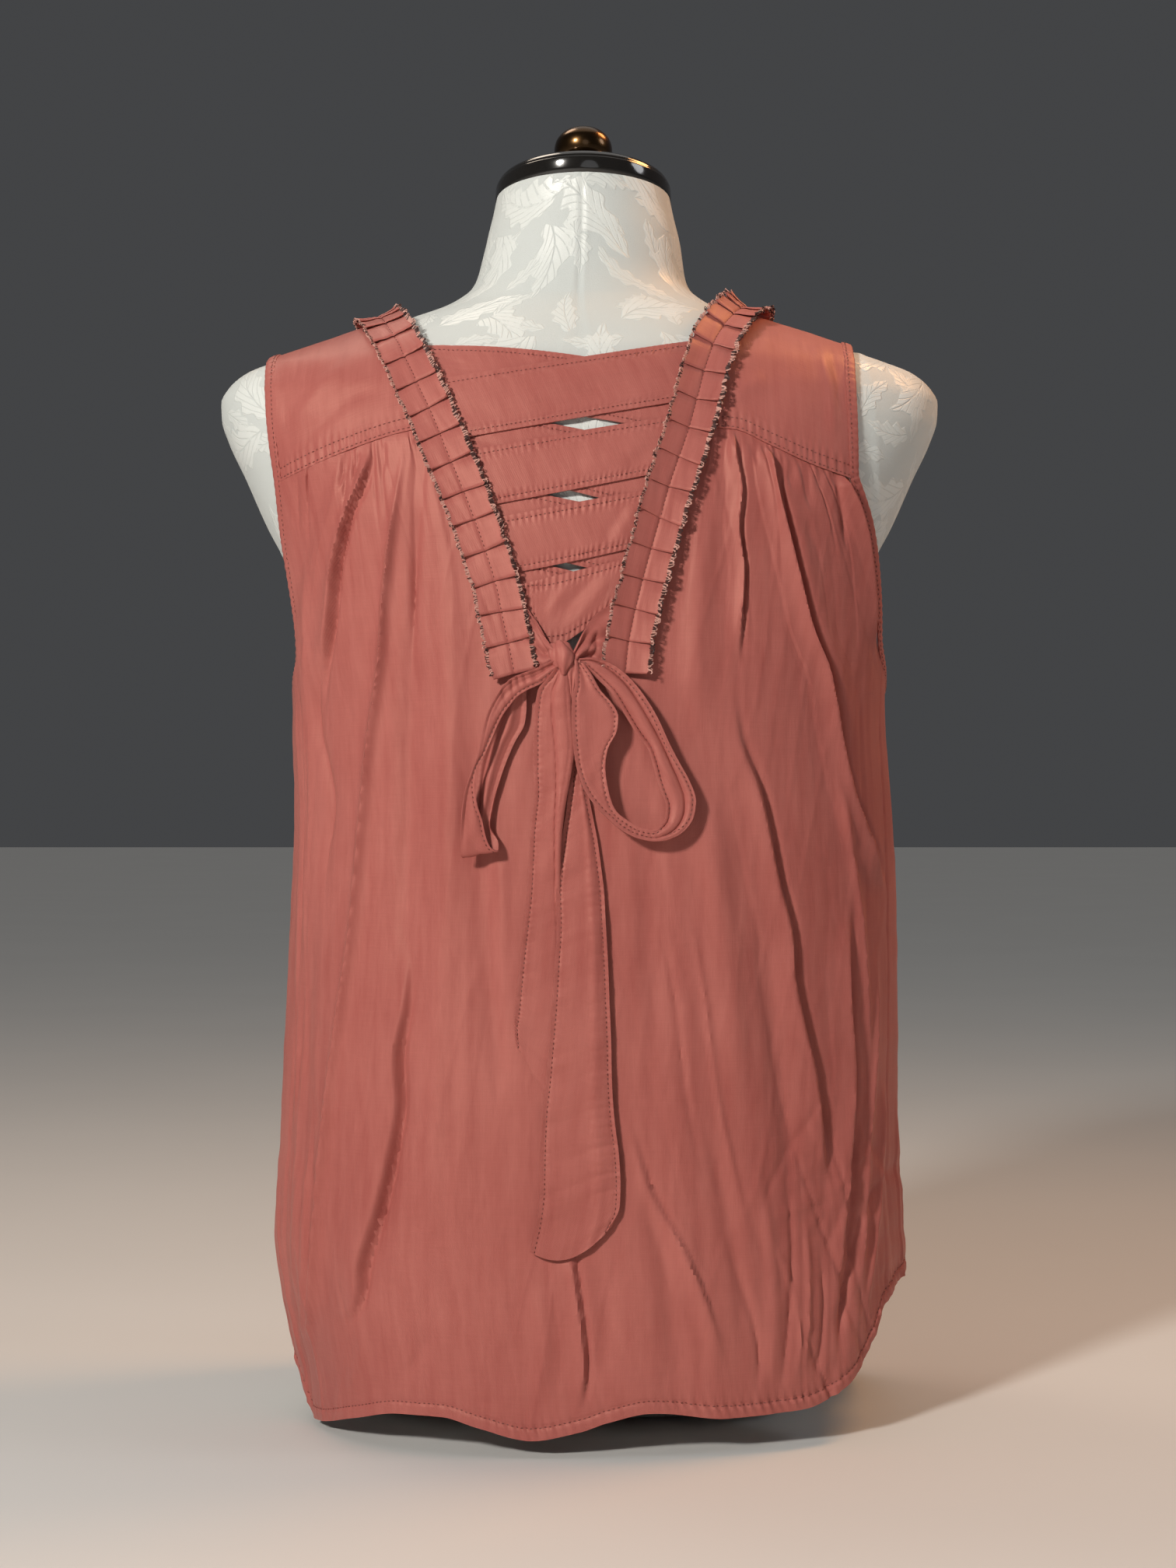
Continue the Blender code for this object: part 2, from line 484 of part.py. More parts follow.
def body_panel(side, hem, arms, notches, tops, dip, counts, folds, bunch=1.0):
    """A panel from hem to shoulder with a notch cut down from its top. arms and notches give place and
    height up each edge, tops the place and height along each top edge from armhole to notch."""
    n_side, n_middle, n_low, n_high = counts
    hem_s, hem_z = np.array(hem).T
    inset = 1 - GAP / 2 / 0.20
    columns = 2 * n_side + n_middle + 1
    rows = n_low + n_high + 1
    S, Z = np.zeros((rows, columns)), np.zeros((rows, columns))
    middle_s, middle_z = np.zeros(columns), np.zeros(columns)
    for k, (arm, notch) in enumerate(zip(arms, notches)):
        (s0, z0), (s1, z1) = arm(0.0), notch(0.0)
        for c in range(n_side + 1):
            i = c if k == 0 else columns - 1 - c
            u = c / n_side
            middle_s[i] = s0 + (s1 - s0) * u
            middle_z[i] = z0 + (z1 - z0) * u**2
    for c in range(1, n_middle):
        u = c / n_middle
        i = n_side + c
        middle_s[i] = middle_s[n_side] + (middle_s[n_side + n_middle] - middle_s[n_side]) * u
        middle_z[i] = (middle_z[n_side] * (1 - u) + middle_z[n_side + n_middle] * u) - dip * (1 - abs(2 * u - 1) ** 2)
    low = smooth(hem_s, hem_z, middle_s)
    for j in range(n_low + 1):
        f = j / n_low
        S[j], Z[j] = middle_s, low + (middle_z - low) * f
    for j in range(n_low + 1, rows):
        f = 1 - (1 - (j - n_low) / n_high) ** bunch
        for k, (arm, notch, top) in enumerate(zip(arms, notches, tops)):
            (s0, z0), (s1, z1) = arm(f), notch(f)
            (sa, za), (sb, zb) = arm(1.0), notch(1.0)
            for c in range(n_side + 1):
                i = c if k == 0 else columns - 1 - c
                u = c / n_side
                st, zt = top(u)
                S[j, i] = s0 + (s1 - s0) * u + f**2 * (st - (sa + (sb - sa) * u))
                Z[j, i] = z0 + (z1 - z0) * (u**2 * (1 - f) + u * f) + f**2 * (zt - (za + (zb - za) * u))
    points = SUPPORT.ring(S * inset, Z, side)
    normals = SUPPORT.normal(points)
    near_side = np.clip((0.93 - np.abs(S)) / 0.12, 0, 1)
    points = points + normals * (BODY_OUT + fold_height(folds, points[..., 0], Z) * near_side)[..., None]
    cells = np.ones((rows - 1, columns - 1), bool)
    cells[n_low:, n_side:n_side + n_middle] = False
    return points, normals, cells


def line_table(rows):
    """A seam given by x and height, as a function of the share of the way along it in x."""
    x, z = np.array(rows).T
    share = (x - x[0]) / (x[-1] - x[0])
    return lambda u: (x[0] + (x[-1] - x[0]) * u, smooth(share, z, u))


def as_place(table):
    def at(u):
        x, z = table(u)
        return float(SUPPORT.place(np.array(x), np.array(z))), float(z)
    return at


def notch_curve(rows, side, top=None):
    x, z = [r[0] for r in rows], [r[1] for r in rows]
    places = [float(SUPPORT.place(np.array(a), np.array(b))) for a, b in zip(x, z)]
    if top is not None:
        places.append(top[0])
        z = z + [top[1]]
    return even_curve(places, z, side)


def yoke(rows, seam_points, n_back=6, n_front=2):
    """From the body's top edge up over the shoulder ridge to the shoulder seam, for each column of that edge."""
    share, arm_x, v_x = np.array(rows).T
    count = len(seam_points)
    grid = np.zeros((n_back + n_front + 1, count, 3))
    for i, start in enumerate(seam_points):
        u = i / (count - 1)
        y, z, run = SUPPORT.slice(start[0])
        half = len(run) // 2
        along0 = float(np.interp(start[2], z[:half + 1], run[:half + 1])) + GAP
        for j in range(n_back + n_front + 1):
            v = j / n_back if j <= n_back else 1 + (j - n_back) / n_front
            x = smooth(share, arm_x, v) * (1 - u) + smooth(share, v_x, v) * u
            x += (start[0] - arm_x[0] * (1 - u) - v_x[0] * u) * max(1 - v / 0.3, 0)
            along = along0 * (1 - v) if v <= 1 else FORWARD_SEAM * (v - 1)
            grid[j, i] = SUPPORT.over_shoulder(float(x), along)
    return grid


def strap(name, sizes, out, v_left, v_right, n_along=12, n_across=3):
    top_l, bottom_l, top_r, bottom_r, droop = sizes
    zl, xl = v_left
    zr, xr = v_right
    grid = np.zeros((n_across + 1, n_along + 1, 3))
    for j in range(n_across + 1):
        b = j / n_across
        z0, z1 = bottom_l + (top_l - bottom_l) * b, bottom_r + (top_r - bottom_r) * b
        x0, x1 = np.interp(z0, zl, xl) + 0.0015, np.interp(z1, zr, xr) - 0.0015
        for i in range(n_along + 1):
            a = i / n_along
            z = z0 + (z1 - z0) * a - droop * (1 - b) * 4 * a * (1 - a)
            grid[j, i] = SUPPORT.back_at(np.array(x0 + (x1 - x0) * a), np.array(z))
    normals = SUPPORT.normal(grid)
    wall(name, grid + normals * out, normals, np.ones((n_across, n_along), bool), STRAP)


def ribbon(name, rows, across=3, thick=CLOTH, bow=0.0):
    """A ribbon crossed by rows of two edge points and their distances out from the support."""
    rows = np.array(rows)
    grid = np.zeros((len(rows), across + 1, 3))
    for i in range(across + 1):
        a = i / across
        x = rows[:, 0] * (1 - a) + rows[:, 2] * a
        z = rows[:, 1] * (1 - a) + rows[:, 3] * a
        out = rows[:, 4] * (1 - a) + rows[:, 5] * a + bow * 4 * a * (1 - a)
        p = SUPPORT.back_at(x, z)
        grid[:, i] = p + SUPPORT.normal(p) * out[:, None]
    normals = np.cross(np.gradient(grid, axis=1), np.gradient(grid, axis=0))
    normals /= np.maximum(np.linalg.norm(normals, axis=-1, keepdims=True), 1e-12)
    wall(name, grid, normals, np.ones((len(rows) - 1, across), bool), thick)


def binding(name, edge):
    """A strip all round an armhole, from just outside the panels' edge."""
    edge = np.array(edge)
    tangent = np.roll(edge, -1, 0) - np.roll(edge, 1, 0)
    tangent /= np.linalg.norm(tangent, axis=1, keepdims=True)
    normal = SUPPORT.normal(edge)
    side = np.cross(tangent, normal)
    side /= np.linalg.norm(side, axis=1, keepdims=True)
    centre = edge.mean(0)
    if ((centre - edge) * side).sum() < 0:
        side = -side
    grid = np.zeros((len(edge) + 1, 3, 3))
    for i, step in enumerate((GAP, BINDING_WIDTH / 2, BINDING_WIDTH)):
        ring = SUPPORT.settle(edge + side * step, np.full(len(edge), BODY_OUT))
        grid[:-1, i], grid[-1, i] = ring, ring[0]
    normals = SUPPORT.normal(grid)
    count = len(edge)
    points, faces = [], []
    for j in range(count):
        for i in range(3):
            points.append(grid[j, i] + normals[j, i] * BINDING / 2)
        for i in range(3):
            points.append(grid[j, i] - normals[j, i] * BINDING / 2)
    for j in range(count):
        a, b = 6 * j, 6 * ((j + 1) % count)
        for lower, upper in ((0, 1), (1, 2), (2, 5), (5, 4), (4, 3), (3, 0)):
            faces.append((a + lower, a + upper, b + upper, b + lower))
    add_object(name, points, outward(points, faces), "cloth")


def ruffle(name, line, flip):
    """A pleated strip laid along an edge, stitched down its middle, its pleats all folded one way."""
    line = np.array(line)
    run = np.concatenate([[0], np.cumsum(np.linalg.norm(np.diff(line, axis=0), axis=1))])
    pleats = int(round(run[-1] / PLEAT))
    stations = []
    for k in range(pleats):
        stations += [(k / pleats, 0.0), ((k + 0.86) / pleats, 1.0)]
    stations.append((1.0, 0.0))
    at = np.array([s for s, _ in stations]) * run[-1]
    rise = np.array([r for _, r in stations]) * PLEAT_RISE
    centre = np.stack([np.interp(at, run, line[:, k]) for k in range(3)], -1)
    tangent = np.gradient(centre, axis=0)
    tangent /= np.linalg.norm(tangent, axis=1, keepdims=True)
    centre = SUPPORT.settle(centre)
    normal = SUPPORT.normal(centre)
    side = np.cross(tangent, normal)
    grid = np.zeros((len(at), 5, 3))
    top_part = np.clip((at / run[-1] - 0.72) / 0.2, 0, 1)
    for i, b in enumerate((-1, -0.5, 0, 0.5, 1)):
        lift = abs(b) * (0.0008 + 0.0040 * top_part)
        grid[:, i] = SUPPORT.settle(centre + side * b * RUFFLE_HALF, RUFFLE_OUT + rise + lift)
    normals = SUPPORT.normal(grid)
    wall(name, grid, normals, np.ones((len(at) - 1, 4), bool), RUFFLE)


# ---------------------------------------------------------------- the dress form
def form_torso(segments=32):
    heights = [0.0, 0.004, 0.010, 0.026, 0.052, 0.090, 0.140, 0.190, 0.227, 0.270, 0.320, 0.370, 0.410, 0.445,
               0.480, 0.512, 0.540, 0.560, 0.574, 0.584, 0.591, 0.597, 0.602, 0.607, 0.613, 0.6195, 0.6265,
               0.633, 0.6385, 0.6435, 0.649, 0.656, 0.667, 0.680, 0.692, 0.7025]
    points, faces = [], []
    for z in heights:
        lean = min(max((z - 0.640) / 0.035, 0), 1)
        for k in range(segments):
            turn = 4 * k / segments
            place, side = (turn - 1, 1) if turn < 2 else (3 - turn, -1)
            x, y, _ = FORM.ring(place, z, side)
            points.append((x + NECK_SHIFT * lean, y, z + lean * CAP_TILT * (NECK_MIDDLE - y)))
    last = len(heights) - 1
    for j in range(last):
        for k in range(segments):
            a, b = j * segments + k, j * segments + (k + 1) % segments
            faces.append((a, b, b + segments, a + segments))
    faces.append(tuple(range(segments))[::-1])
    faces.append(tuple(last * segments + k for k in range(segments)))
    add_object("form_torso", points, outward(points, faces), "form")


def turned(name, profile, width, depth, base, kind, segments=26):
    """A turned piece on the tilted top of the neck: radius across and deep, and a profile going up."""
    points, faces = [], []
    for r, h in profile:
        for k in range(segments):
            t = 2 * math.pi * k / segments
            y = r * depth * math.sin(t)
            points.append((NECK_SHIFT + r * width * math.cos(t), NECK_MIDDLE + y, base + h - CAP_TILT * y))
    last = len(profile) - 1
    for j in range(last):
        for k in range(segments):
            a, b = j * segments + k, j * segments + (k + 1) % segments
            faces.append((a, b, b + segments, a + segments))
    faces.append(tuple(range(segments))[::-1])
    h = profile[-1][1]
    r = profile[-1][0]
    points.append((NECK_SHIFT, NECK_MIDDLE, base + h + 0.06 * r * width))
    for k in range(segments):
        faces.append((last * segments + k, last * segments + (k + 1) % segments, len(points) - 1))
    add_object(name, points, outward(points, faces), kind)


# ---------------------------------------------------------------- the whole
def main():
    for old in list(bpy.data.objects):
        bpy.data.objects.remove(old, do_unlink=True)

    form_torso()
    neck = FORM.sizes(np.array(0.7025))
    turned("form_cap", CAP, float(neck[0]), float((neck[2] + neck[3]) / 2), 0.7025 + GAP, "cap")
    turned("form_knob", KNOB, 1.0, 1.0, 0.7025 + 0.0155 + 0.0010 + GAP, "knob")

    # back body
    seams = [line_table(SEAM_LEFT), line_table(SEAM_RIGHT)]
    tops = [as_place(s) for s in seams]
    arms = [edge_curve(ARM_BACK_LEFT, 1, -1), edge_curve(ARM_BACK_RIGHT, 1, 1)]
    notches = [notch_curve(V_LEFT, 1), notch_curve(V_RIGHT, 1)]
    counts = (11, 4, 15, 8)
    n_side, n_middle, n_low, n_high = counts
    back, back_n, back_cells = body_panel(1, HEM_BACK, arms, notches, tops, 0.0, counts, FOLDS_BACK)
    wall("back_body", back, back_n, back_cells, CLOTH)

    # yokes, from the body's top edge
    top_left = SUPPORT.settle(back[-1, :n_side + 1])
    top_right = SUPPORT.settle(back[-1, n_side + n_middle:][::-1])
    yokes = [yoke(YOKE_LEFT, top_left), yoke(YOKE_RIGHT, top_right)]
    for name, grid in zip(("yoke_left", "yoke_right"), yokes):
        normals = SUPPORT.normal(grid)
        wall(name, grid + normals * BODY_OUT, normals, np.ones((grid.shape[0] - 1, grid.shape[1] - 1), bool), CLOTH)

    # front body, up to the yokes' forward edge
    front_tops, front_arms, front_notches = [], [], []
    for k, grid in enumerate(yokes):
        forward = grid[-1] - grid[-2]
        forward /= np.linalg.norm(forward, axis=1, keepdims=True)
        row = SUPPORT.settle(grid[-1] + forward * GAP * 1.2)
        places, heights = SUPPORT.place(row[:, 0], row[:, 2]), row[:, 2]
        share = np.linspace(0, 1, len(row))
        front_tops.append(lambda u, a=share, b=places, c=heights: (float(np.interp(u, a, b)), float(np.interp(u, a, c))))
        arm = (ARM_FRONT_LEFT, ARM_FRONT_RIGHT)[k]
        front_arms.append(edge_curve(arm, -1, (-1, 1)[k], (float(places[0]), float(heights[0]))))
        front_notches.append(notch_curve((NECK_LEFT, NECK_RIGHT)[k], -1, (float(places[-1]), float(heights[-1]))))
    front_counts = (8, 6, 12, 10)
    f_side, f_middle, f_low, f_high = front_counts
    front, front_n, front_cells = body_panel(-1, HEM_FRONT, front_arms, front_notches, front_tops, NECK_DIP,
                                             front_counts, FOLDS_FRONT, 1.35)
    wall("front_body", front, front_n, front_cells, CLOTH)

    # armhole bindings, along the edges of the three panels
    for name, k in (("armhole_left", 0), ("armhole_right", 1)):
        b = back[n_low:, 0 if k == 0 else -1]
        f = front[f_low:, 0 if k == 0 else -1][::-1]
        y = yokes[k][:, 0]
        y = y + SUPPORT.normal(y) * BODY_OUT
        start = (b[:1] + f[-1:]) / 2
        binding(name, np.concatenate([start, b[1:], y[1:-1], f[:-1]]))

    # straps, ruffles
    edges = []
    for k, rows in enumerate((V_LEFT, V_RIGHT)):
        y = yokes[k][:7, -1]
        zs = np.concatenate([[r[1] for r in rows], y[1:, 2]])
        xs = np.concatenate([[r[0] for r in rows], y[1:, 0]])
        edges.append((zs, xs))
    for name, sizes in STRAPS.items():
        strap(name, sizes, STRAP_L_OUT if name[6] == "l" else STRAP_R_OUT, *edges)
    for name, k in (("ruffle_left", 0), ("ruffle_right", 1)):
        column = n_side if k == 0 else n_side + n_middle
        low = SUPPORT.settle(back[n_low:, column])
        ruffle(name, np.concatenate([low, yokes[k][1:, -1]]), k)

    # ties and bow
    ribbon("tie_left", TIE_LEFT)
    ribbon("tie_right", TIE_RIGHT)
    ribbon("tail_left", TAIL_LEFT)
    ribbon("tail_right", TAIL_RIGHT)
    ribbon("bow_loop_left", LOOP_LEFT, 2)
    ribbon("bow_loop_right", LOOP_RIGHT, 2)
    x, z, out = KNOT_AT
    centre = SUPPORT.back_at(np.array(x), np.array(z))
    centre = centre + SUPPORT.normal(centre) * out
    points, faces = [], []
    rings, around = 7, 14
    for j in range(1, rings):
        t = math.pi * j / rings
        for k in range(around):
            a = 2 * math.pi * k / around
            points.append((centre[0] + KNOT_HALF[0] * math.sin(t) * math.cos(a),
                           centre[1] + KNOT_HALF[1] * math.sin(t) * math.sin(a),
                           centre[2] + KNOT_HALF[2] * math.cos(t)))
    for j in range(rings - 2):
        for k in range(around):
            a, b = j * around + k, j * around + (k + 1) % around
            faces.append((a, b, b + around, a + around))
    faces.append(tuple(range(around))[::-1])
    faces.append(tuple((rings - 2) * around + k for k in range(around)))
    add_object("bow_knot", points, outward(points, faces), "cloth")


main()
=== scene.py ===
"""A ruffled blouse on a limbless dress form: its cloth, finishes, light and camera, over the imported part."""

import math

import bpy
import mathutils
import numpy as np
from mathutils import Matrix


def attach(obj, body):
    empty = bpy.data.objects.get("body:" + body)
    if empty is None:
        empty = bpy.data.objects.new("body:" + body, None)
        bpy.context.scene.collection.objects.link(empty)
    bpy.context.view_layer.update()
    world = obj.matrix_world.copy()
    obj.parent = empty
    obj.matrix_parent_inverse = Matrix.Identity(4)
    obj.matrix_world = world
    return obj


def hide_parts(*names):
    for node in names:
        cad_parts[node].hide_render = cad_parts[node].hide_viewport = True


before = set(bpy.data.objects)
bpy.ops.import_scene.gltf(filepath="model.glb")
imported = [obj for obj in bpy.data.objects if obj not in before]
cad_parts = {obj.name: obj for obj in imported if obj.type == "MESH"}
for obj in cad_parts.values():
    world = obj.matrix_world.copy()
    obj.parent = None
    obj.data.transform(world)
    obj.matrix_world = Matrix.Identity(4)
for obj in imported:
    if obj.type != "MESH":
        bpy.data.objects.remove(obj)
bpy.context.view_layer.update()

# ---------------------------------------------------------------- sizes, in metres
GAP = 0.0003            # between pieces that are sewn together
CLOTH = 0.0012          # wall of the body, the yokes and the ties
STRAP = 0.0010          # wall of a strap
BINDING = 0.0018        # wall of the armhole binding
BINDING_WIDTH = 0.0060
RUFFLE = 0.0012
RUFFLE_HALF = 0.0115    # half the width of the pleated strip
PLEAT = 0.0175          # pitch of its pleats
PLEAT_RISE = 0.0011
BODY_OUT = 0.0022       # middle of the cloth, out from the support
STRAP_L_OUT = 0.0024
STRAP_R_OUT = 0.0041
RUFFLE_OUT = 0.0060
FORWARD_SEAM = 0.028    # from the shoulder ridge forward to the shoulder seam
CAP_TILT = math.tan(math.radians(9))

# Shoulders and neck of the form: height, half width, depth forward, depth back, roundness
SHOULDERS = [
    (0.560, 0.2045, 0.078, 0.102, 2.35),
    (0.574, 0.2090, 0.073, 0.098, 2.30),
    (0.584, 0.2095, 0.069, 0.095, 2.25),
    (0.592, 0.2055, 0.066, 0.092, 2.20),
    (0.600, 0.1965, 0.062, 0.089, 2.15),
    (0.6065, 0.1805, 0.059, 0.086, 2.10),
    (0.613, 0.1610, 0.056, 0.082, 2.10),
    (0.6195, 0.1410, 0.054, 0.078, 2.05),
    (0.6265, 0.1190, 0.052, 0.073, 2.00),
    (0.633, 0.0990, 0.051, 0.068, 2.00),
    (0.6385, 0.0830, 0.050, 0.064, 2.00),
    (0.6435, 0.0725, 0.050, 0.061, 2.00),
    (0.649, 0.0650, 0.051, 0.058, 2.00),
    (0.656, 0.0612, 0.053, 0.055, 2.00),
    (0.667, 0.0587, 0.056, 0.052, 2.00),
    (0.680, 0.0560, 0.059, 0.049, 2.00),
    (0.692, 0.0530, 0.061, 0.047, 2.00),
    (0.7025, 0.0508, 0.062, 0.046, 2.00),
]
# Torso of the form: the same columns
TORSO = [
    (0.000, 0.115, 0.085, 0.045, 2.20),
    (0.010, 0.132, 0.099, 0.072, 2.20),
    (0.026, 0.147, 0.109, 0.092, 2.20),
    (0.052, 0.158, 0.116, 0.104, 2.25),
    (0.090, 0.162, 0.118, 0.108, 2.30),
    (0.140, 0.154, 0.112, 0.102, 2.30),
    (0.190, 0.136, 0.102, 0.091, 2.25),
    (0.227, 0.124, 0.096, 0.085, 2.20),
    (0.270, 0.125, 0.098, 0.088, 2.20),
    (0.320, 0.134, 0.108, 0.096, 2.20),
    (0.370, 0.145, 0.123, 0.103, 2.25),
    (0.400, 0.149, 0.125, 0.106, 2.30),
    (0.440, 0.154, 0.115, 0.110, 2.35),
    (0.480, 0.166, 0.101, 0.111, 2.40),
    (0.512, 0.1825, 0.091, 0.110, 2.40),
    (0.540, 0.1950, 0.084, 0.106, 2.40),
]
# Hang of the cloth below the shoulder blades: height, half width left, half
# width right, depth forward, depth back, roundness
HANG = [
    (0.000, 0.157, 0.188, 0.137, 0.134, 2.30),
    (0.025, 0.159, 0.188, 0.136, 0.133, 2.30),
    (0.050, 0.164, 0.187, 0.135, 0.132, 2.30),
    (0.075, 0.169, 0.186, 0.134, 0.131, 2.30),
    (0.105, 0.173, 0.184, 0.133, 0.129, 2.30),
    (0.170, 0.171, 0.182, 0.132, 0.126, 2.30),
    (0.230, 0.168, 0.182, 0.131, 0.123, 2.30),
    (0.290, 0.165, 0.181, 0.130, 0.121, 2.30),
    (0.350, 0.163, 0.178, 0.128, 0.119, 2.30),
    (0.400, 0.163, 0.175, 0.127, 0.117, 2.35),
    (0.440, 0.168, 0.177, 0.119, 0.115, 2.40),
    (0.480, 0.177, 0.181, 0.106, 0.113, 2.40),
    (0.512, 0.186, 0.187, 0.095, 0.111, 2.40),
    (0.540, 0.1955, 0.1955, 0.085, 0.107, 2.40),
]
# Back hem: place round the back (-1 left side seam, 0 middle, 1 right side seam), height
HEM_BACK = [
    (-1.00, 0.085), (-0.93, 0.060), (-0.86, 0.033), (-0.80, 0.010), (-0.76, 0.0035),
    (-0.70, 0.0045), (-0.53, 0.0125), (-0.375, 0.0192), (-0.27, 0.0195), (-0.18, 0.0142),
    (-0.08, 0.0088), (-0.01, 0.0125), (0.035, 0.0185), (0.103, 0.0232), (0.243, 0.0190),
    (0.41, 0.0205), (0.546, 0.0310), (0.651, 0.0515), (0.708, 0.0690), (0.842, 0.0800), (1.00, 0.085),
]
HEM_FRONT = [
    (-1.00, 0.085), (-0.88, 0.055), (-0.72, 0.026), (-0.50, 0.016), (-0.20, 0.012),
    (0.10, 0.015), (0.40, 0.013), (0.65, 0.024), (0.85, 0.054), (1.00, 0.085),
]
# Armhole edges of the panels, underarm upwards: half width, height. None in
# the first column gives the place round the side instead, in the third.
ARM_BACK_LEFT = [
    (None, 0.4050, 1.00), (None, 0.4080, 0.93), (None, 0.4160, 0.87), (0.1562, 0.432, None),
    (0.1580, 0.465, None), (0.1625, 0.495, None), (0.1660, 0.5325, None),
]
ARM_BACK_RIGHT = [
    (None, 0.4140, 1.00), (None, 0.4170, 0.93), (None, 0.4250, 0.87), (0.1685, 0.440, None),
    (0.1675, 0.459, None), (0.1642, 0.487, None), (0.1600, 0.507, None), (0.1545, 0.522, None),
    (0.1500, 0.5325, None),
]
ARM_FRONT_LEFT = [
    (None, 0.4050, 1.00), (None, 0.4080, 0.93), (None, 0.4160, 0.87), (0.1540, 0.432, None),
    (0.1490, 0.462, None), (0.1470, 0.500, None), (0.1500, 0.540, None), (0.1580, 0.575, None),
    (0.1670, 0.597, None),
]
ARM_FRONT_RIGHT = [
    (None, 0.4140, 1.00), (None, 0.4170, 0.93), (None, 0.4250, 0.87), (0.1640, 0.440, None),
    (0.1560, 0.462, None), (0.1480, 0.500, None), (0.1460, 0.540, None), (0.1475, 0.575, None),
    (0.1505, 0.600, None),
]
# Edges of the V in the back, from its bottom up to the yoke seam: x, height
V_LEFT = [
    (-0.0345, 0.4225), (-0.0368, 0.4343), (-0.0403, 0.4500), (-0.0442, 0.4692), (-0.0498, 0.4879),
    (-0.0553, 0.5037), (-0.0670, 0.5330), (-0.0778, 0.5590),
]
V_RIGHT = [
    (0.0250, 0.4225), (0.0262, 0.4343), (0.0290, 0.4500), (0.0335, 0.4692), (0.0385, 0.4879),
    (0.0430, 0.5037), (0.0518, 0.5330), (0.0605, 0.5580),
]
# Seam between body and yoke: x, height, from the armhole in to the V
SEAM_LEFT = [(-0.1660, 0.5325), (-0.1310, 0.5450), (-0.1000, 0.5545), (-0.0778, 0.5590)]
SEAM_RIGHT = [(0.1500, 0.5325), (0.1284, 0.5388), (0.1048, 0.5484), (0.0850, 0.5565), (0.0605, 0.5580)]
# Yoke edges: part of the way from the seam (0) to the shoulder ridge (1) and on
# to the shoulder seam (2), x at the armhole, x at the V
YOKE_LEFT = [
    (0.00, -0.1660, -0.0778), (0.25, -0.1695, -0.0915), (0.40, -0.1710, -0.0995), (0.60, -0.1722, -0.1085),
    (1.00, -0.1728, -0.1168), (2.00, -0.1710, -0.1172),
]
YOKE_RIGHT = [
    (0.00, 0.1500, 0.0605), (0.25, 0.1495, 0.0687), (0.40, 0.1490, 0.0750), (0.60, 0.1495, 0.0860),
    (1.00, 0.1520, 0.0982), (2.00, 0.1530, 0.0988),
]
# Neckline of the front, from its bottom corner up to the shoulder seam: x, height
NECK_LEFT = [(-0.0550, 0.5550), (-0.0800, 0.5660), (-0.0990, 0.5860), (-0.1090, 0.6060)]
NECK_RIGHT = [(0.0450, 0.5550), (0.0660, 0.5670), (0.0830, 0.5880), (0.0925, 0.6080)]
NECK_DIP = 0.006        # the middle of the front neckline, below its corners
# Straps: height of the top and bottom edge at the left end, at the right end,
# droop of the bottom edge at mid span
STRAPS = {
    "strap_l1": (0.6050, 0.5760, 0.5840, 0.5530, 0.0030),
    "strap_l2": (0.5730, 0.5400, 0.5450, 0.5100, 0.0010),
    "strap_l3": (0.5290, 0.4950, 0.5070, 0.4730, 0.0010),
    "strap_l4": (0.4890, 0.4580, 0.4690, 0.4590, 0.0000),
    "strap_r1": (0.5825, 0.5490, 0.6080, 0.5730, 0.0000),
    "strap_r2": (0.5420, 0.5120, 0.5650, 0.5330, 0.0005),
    "strap_r3": (0.5050, 0.4750, 0.5245, 0.4930, 0.0010),
    "strap_r4": (0.4675, 0.4560, 0.4875, 0.4590, 0.0140),
}
# Ribbons of the bow. Each row crosses the ribbon: x and height of one edge, x
# and height of the other, distance out from the support at each edge
TAIL_LEFT = [
    (-0.0190, 0.4200, -0.0108, 0.4200, 0.0095, 0.0100),
    (-0.0236, 0.4100, -0.0062, 0.4100, 0.0090, 0.0100),
    (-0.0245, 0.3906, -0.0064, 0.3906, 0.0088, 0.0098),
    (-0.0245, 0.3612, -0.0090, 0.3612, 0.0082, 0.0092),
    (-0.0257, 0.3317, -0.0116, 0.3317, 0.0072, 0.0080),
    (-0.0283, 0.3107, -0.0132, 0.3107, 0.0064, 0.0066),
    (-0.0295, 0.2866, -0.0112, 0.2850, 0.0056, 0.0046),
    (-0.0318, 0.2643, -0.0090, 0.2600, 0.0052, 0.0044),
    (-0.0341, 0.2416, -0.0070, 0.2250, 0.0050, 0.0044),
    (-0.0350, 0.2265, -0.0060, 0.1680, 0.0050, 0.0044),
]
TAIL_RIGHT = [
    (-0.0062, 0.4190, -0.0010, 0.4190, 0.0072, 0.0074),
    (-0.0034, 0.4075, 0.0067, 0.4075, 0.0066, 0.0070),
    (-0.0040, 0.3818, 0.0084, 0.3818, 0.0060, 0.0066),
    (-0.0078, 0.3485, 0.0090, 0.3485, 0.0060, 0.0068),
    (-0.0118, 0.3107, 0.0109, 0.3107, 0.0074, 0.0074),
    (-0.0135, 0.2728, 0.0130, 0.2728, 0.0084, 0.0076),
    (-0.0148, 0.2357, 0.0155, 0.2357, 0.0086, 0.0076),
    (-0.0177, 0.2054, 0.0172, 0.2054, 0.0084, 0.0074),
    (-0.0198, 0.1759, 0.0189, 0.1759, 0.0080, 0.0072),
    (-0.0209, 0.1480, 0.0223, 0.1530, 0.0074, 0.0070),
    (-0.0222, 0.1280, 0.0218, 0.1400, 0.0072, 0.0070),
    (-0.0257, 0.1090, 0.0170, 0.1200, 0.0072, 0.0072),
]
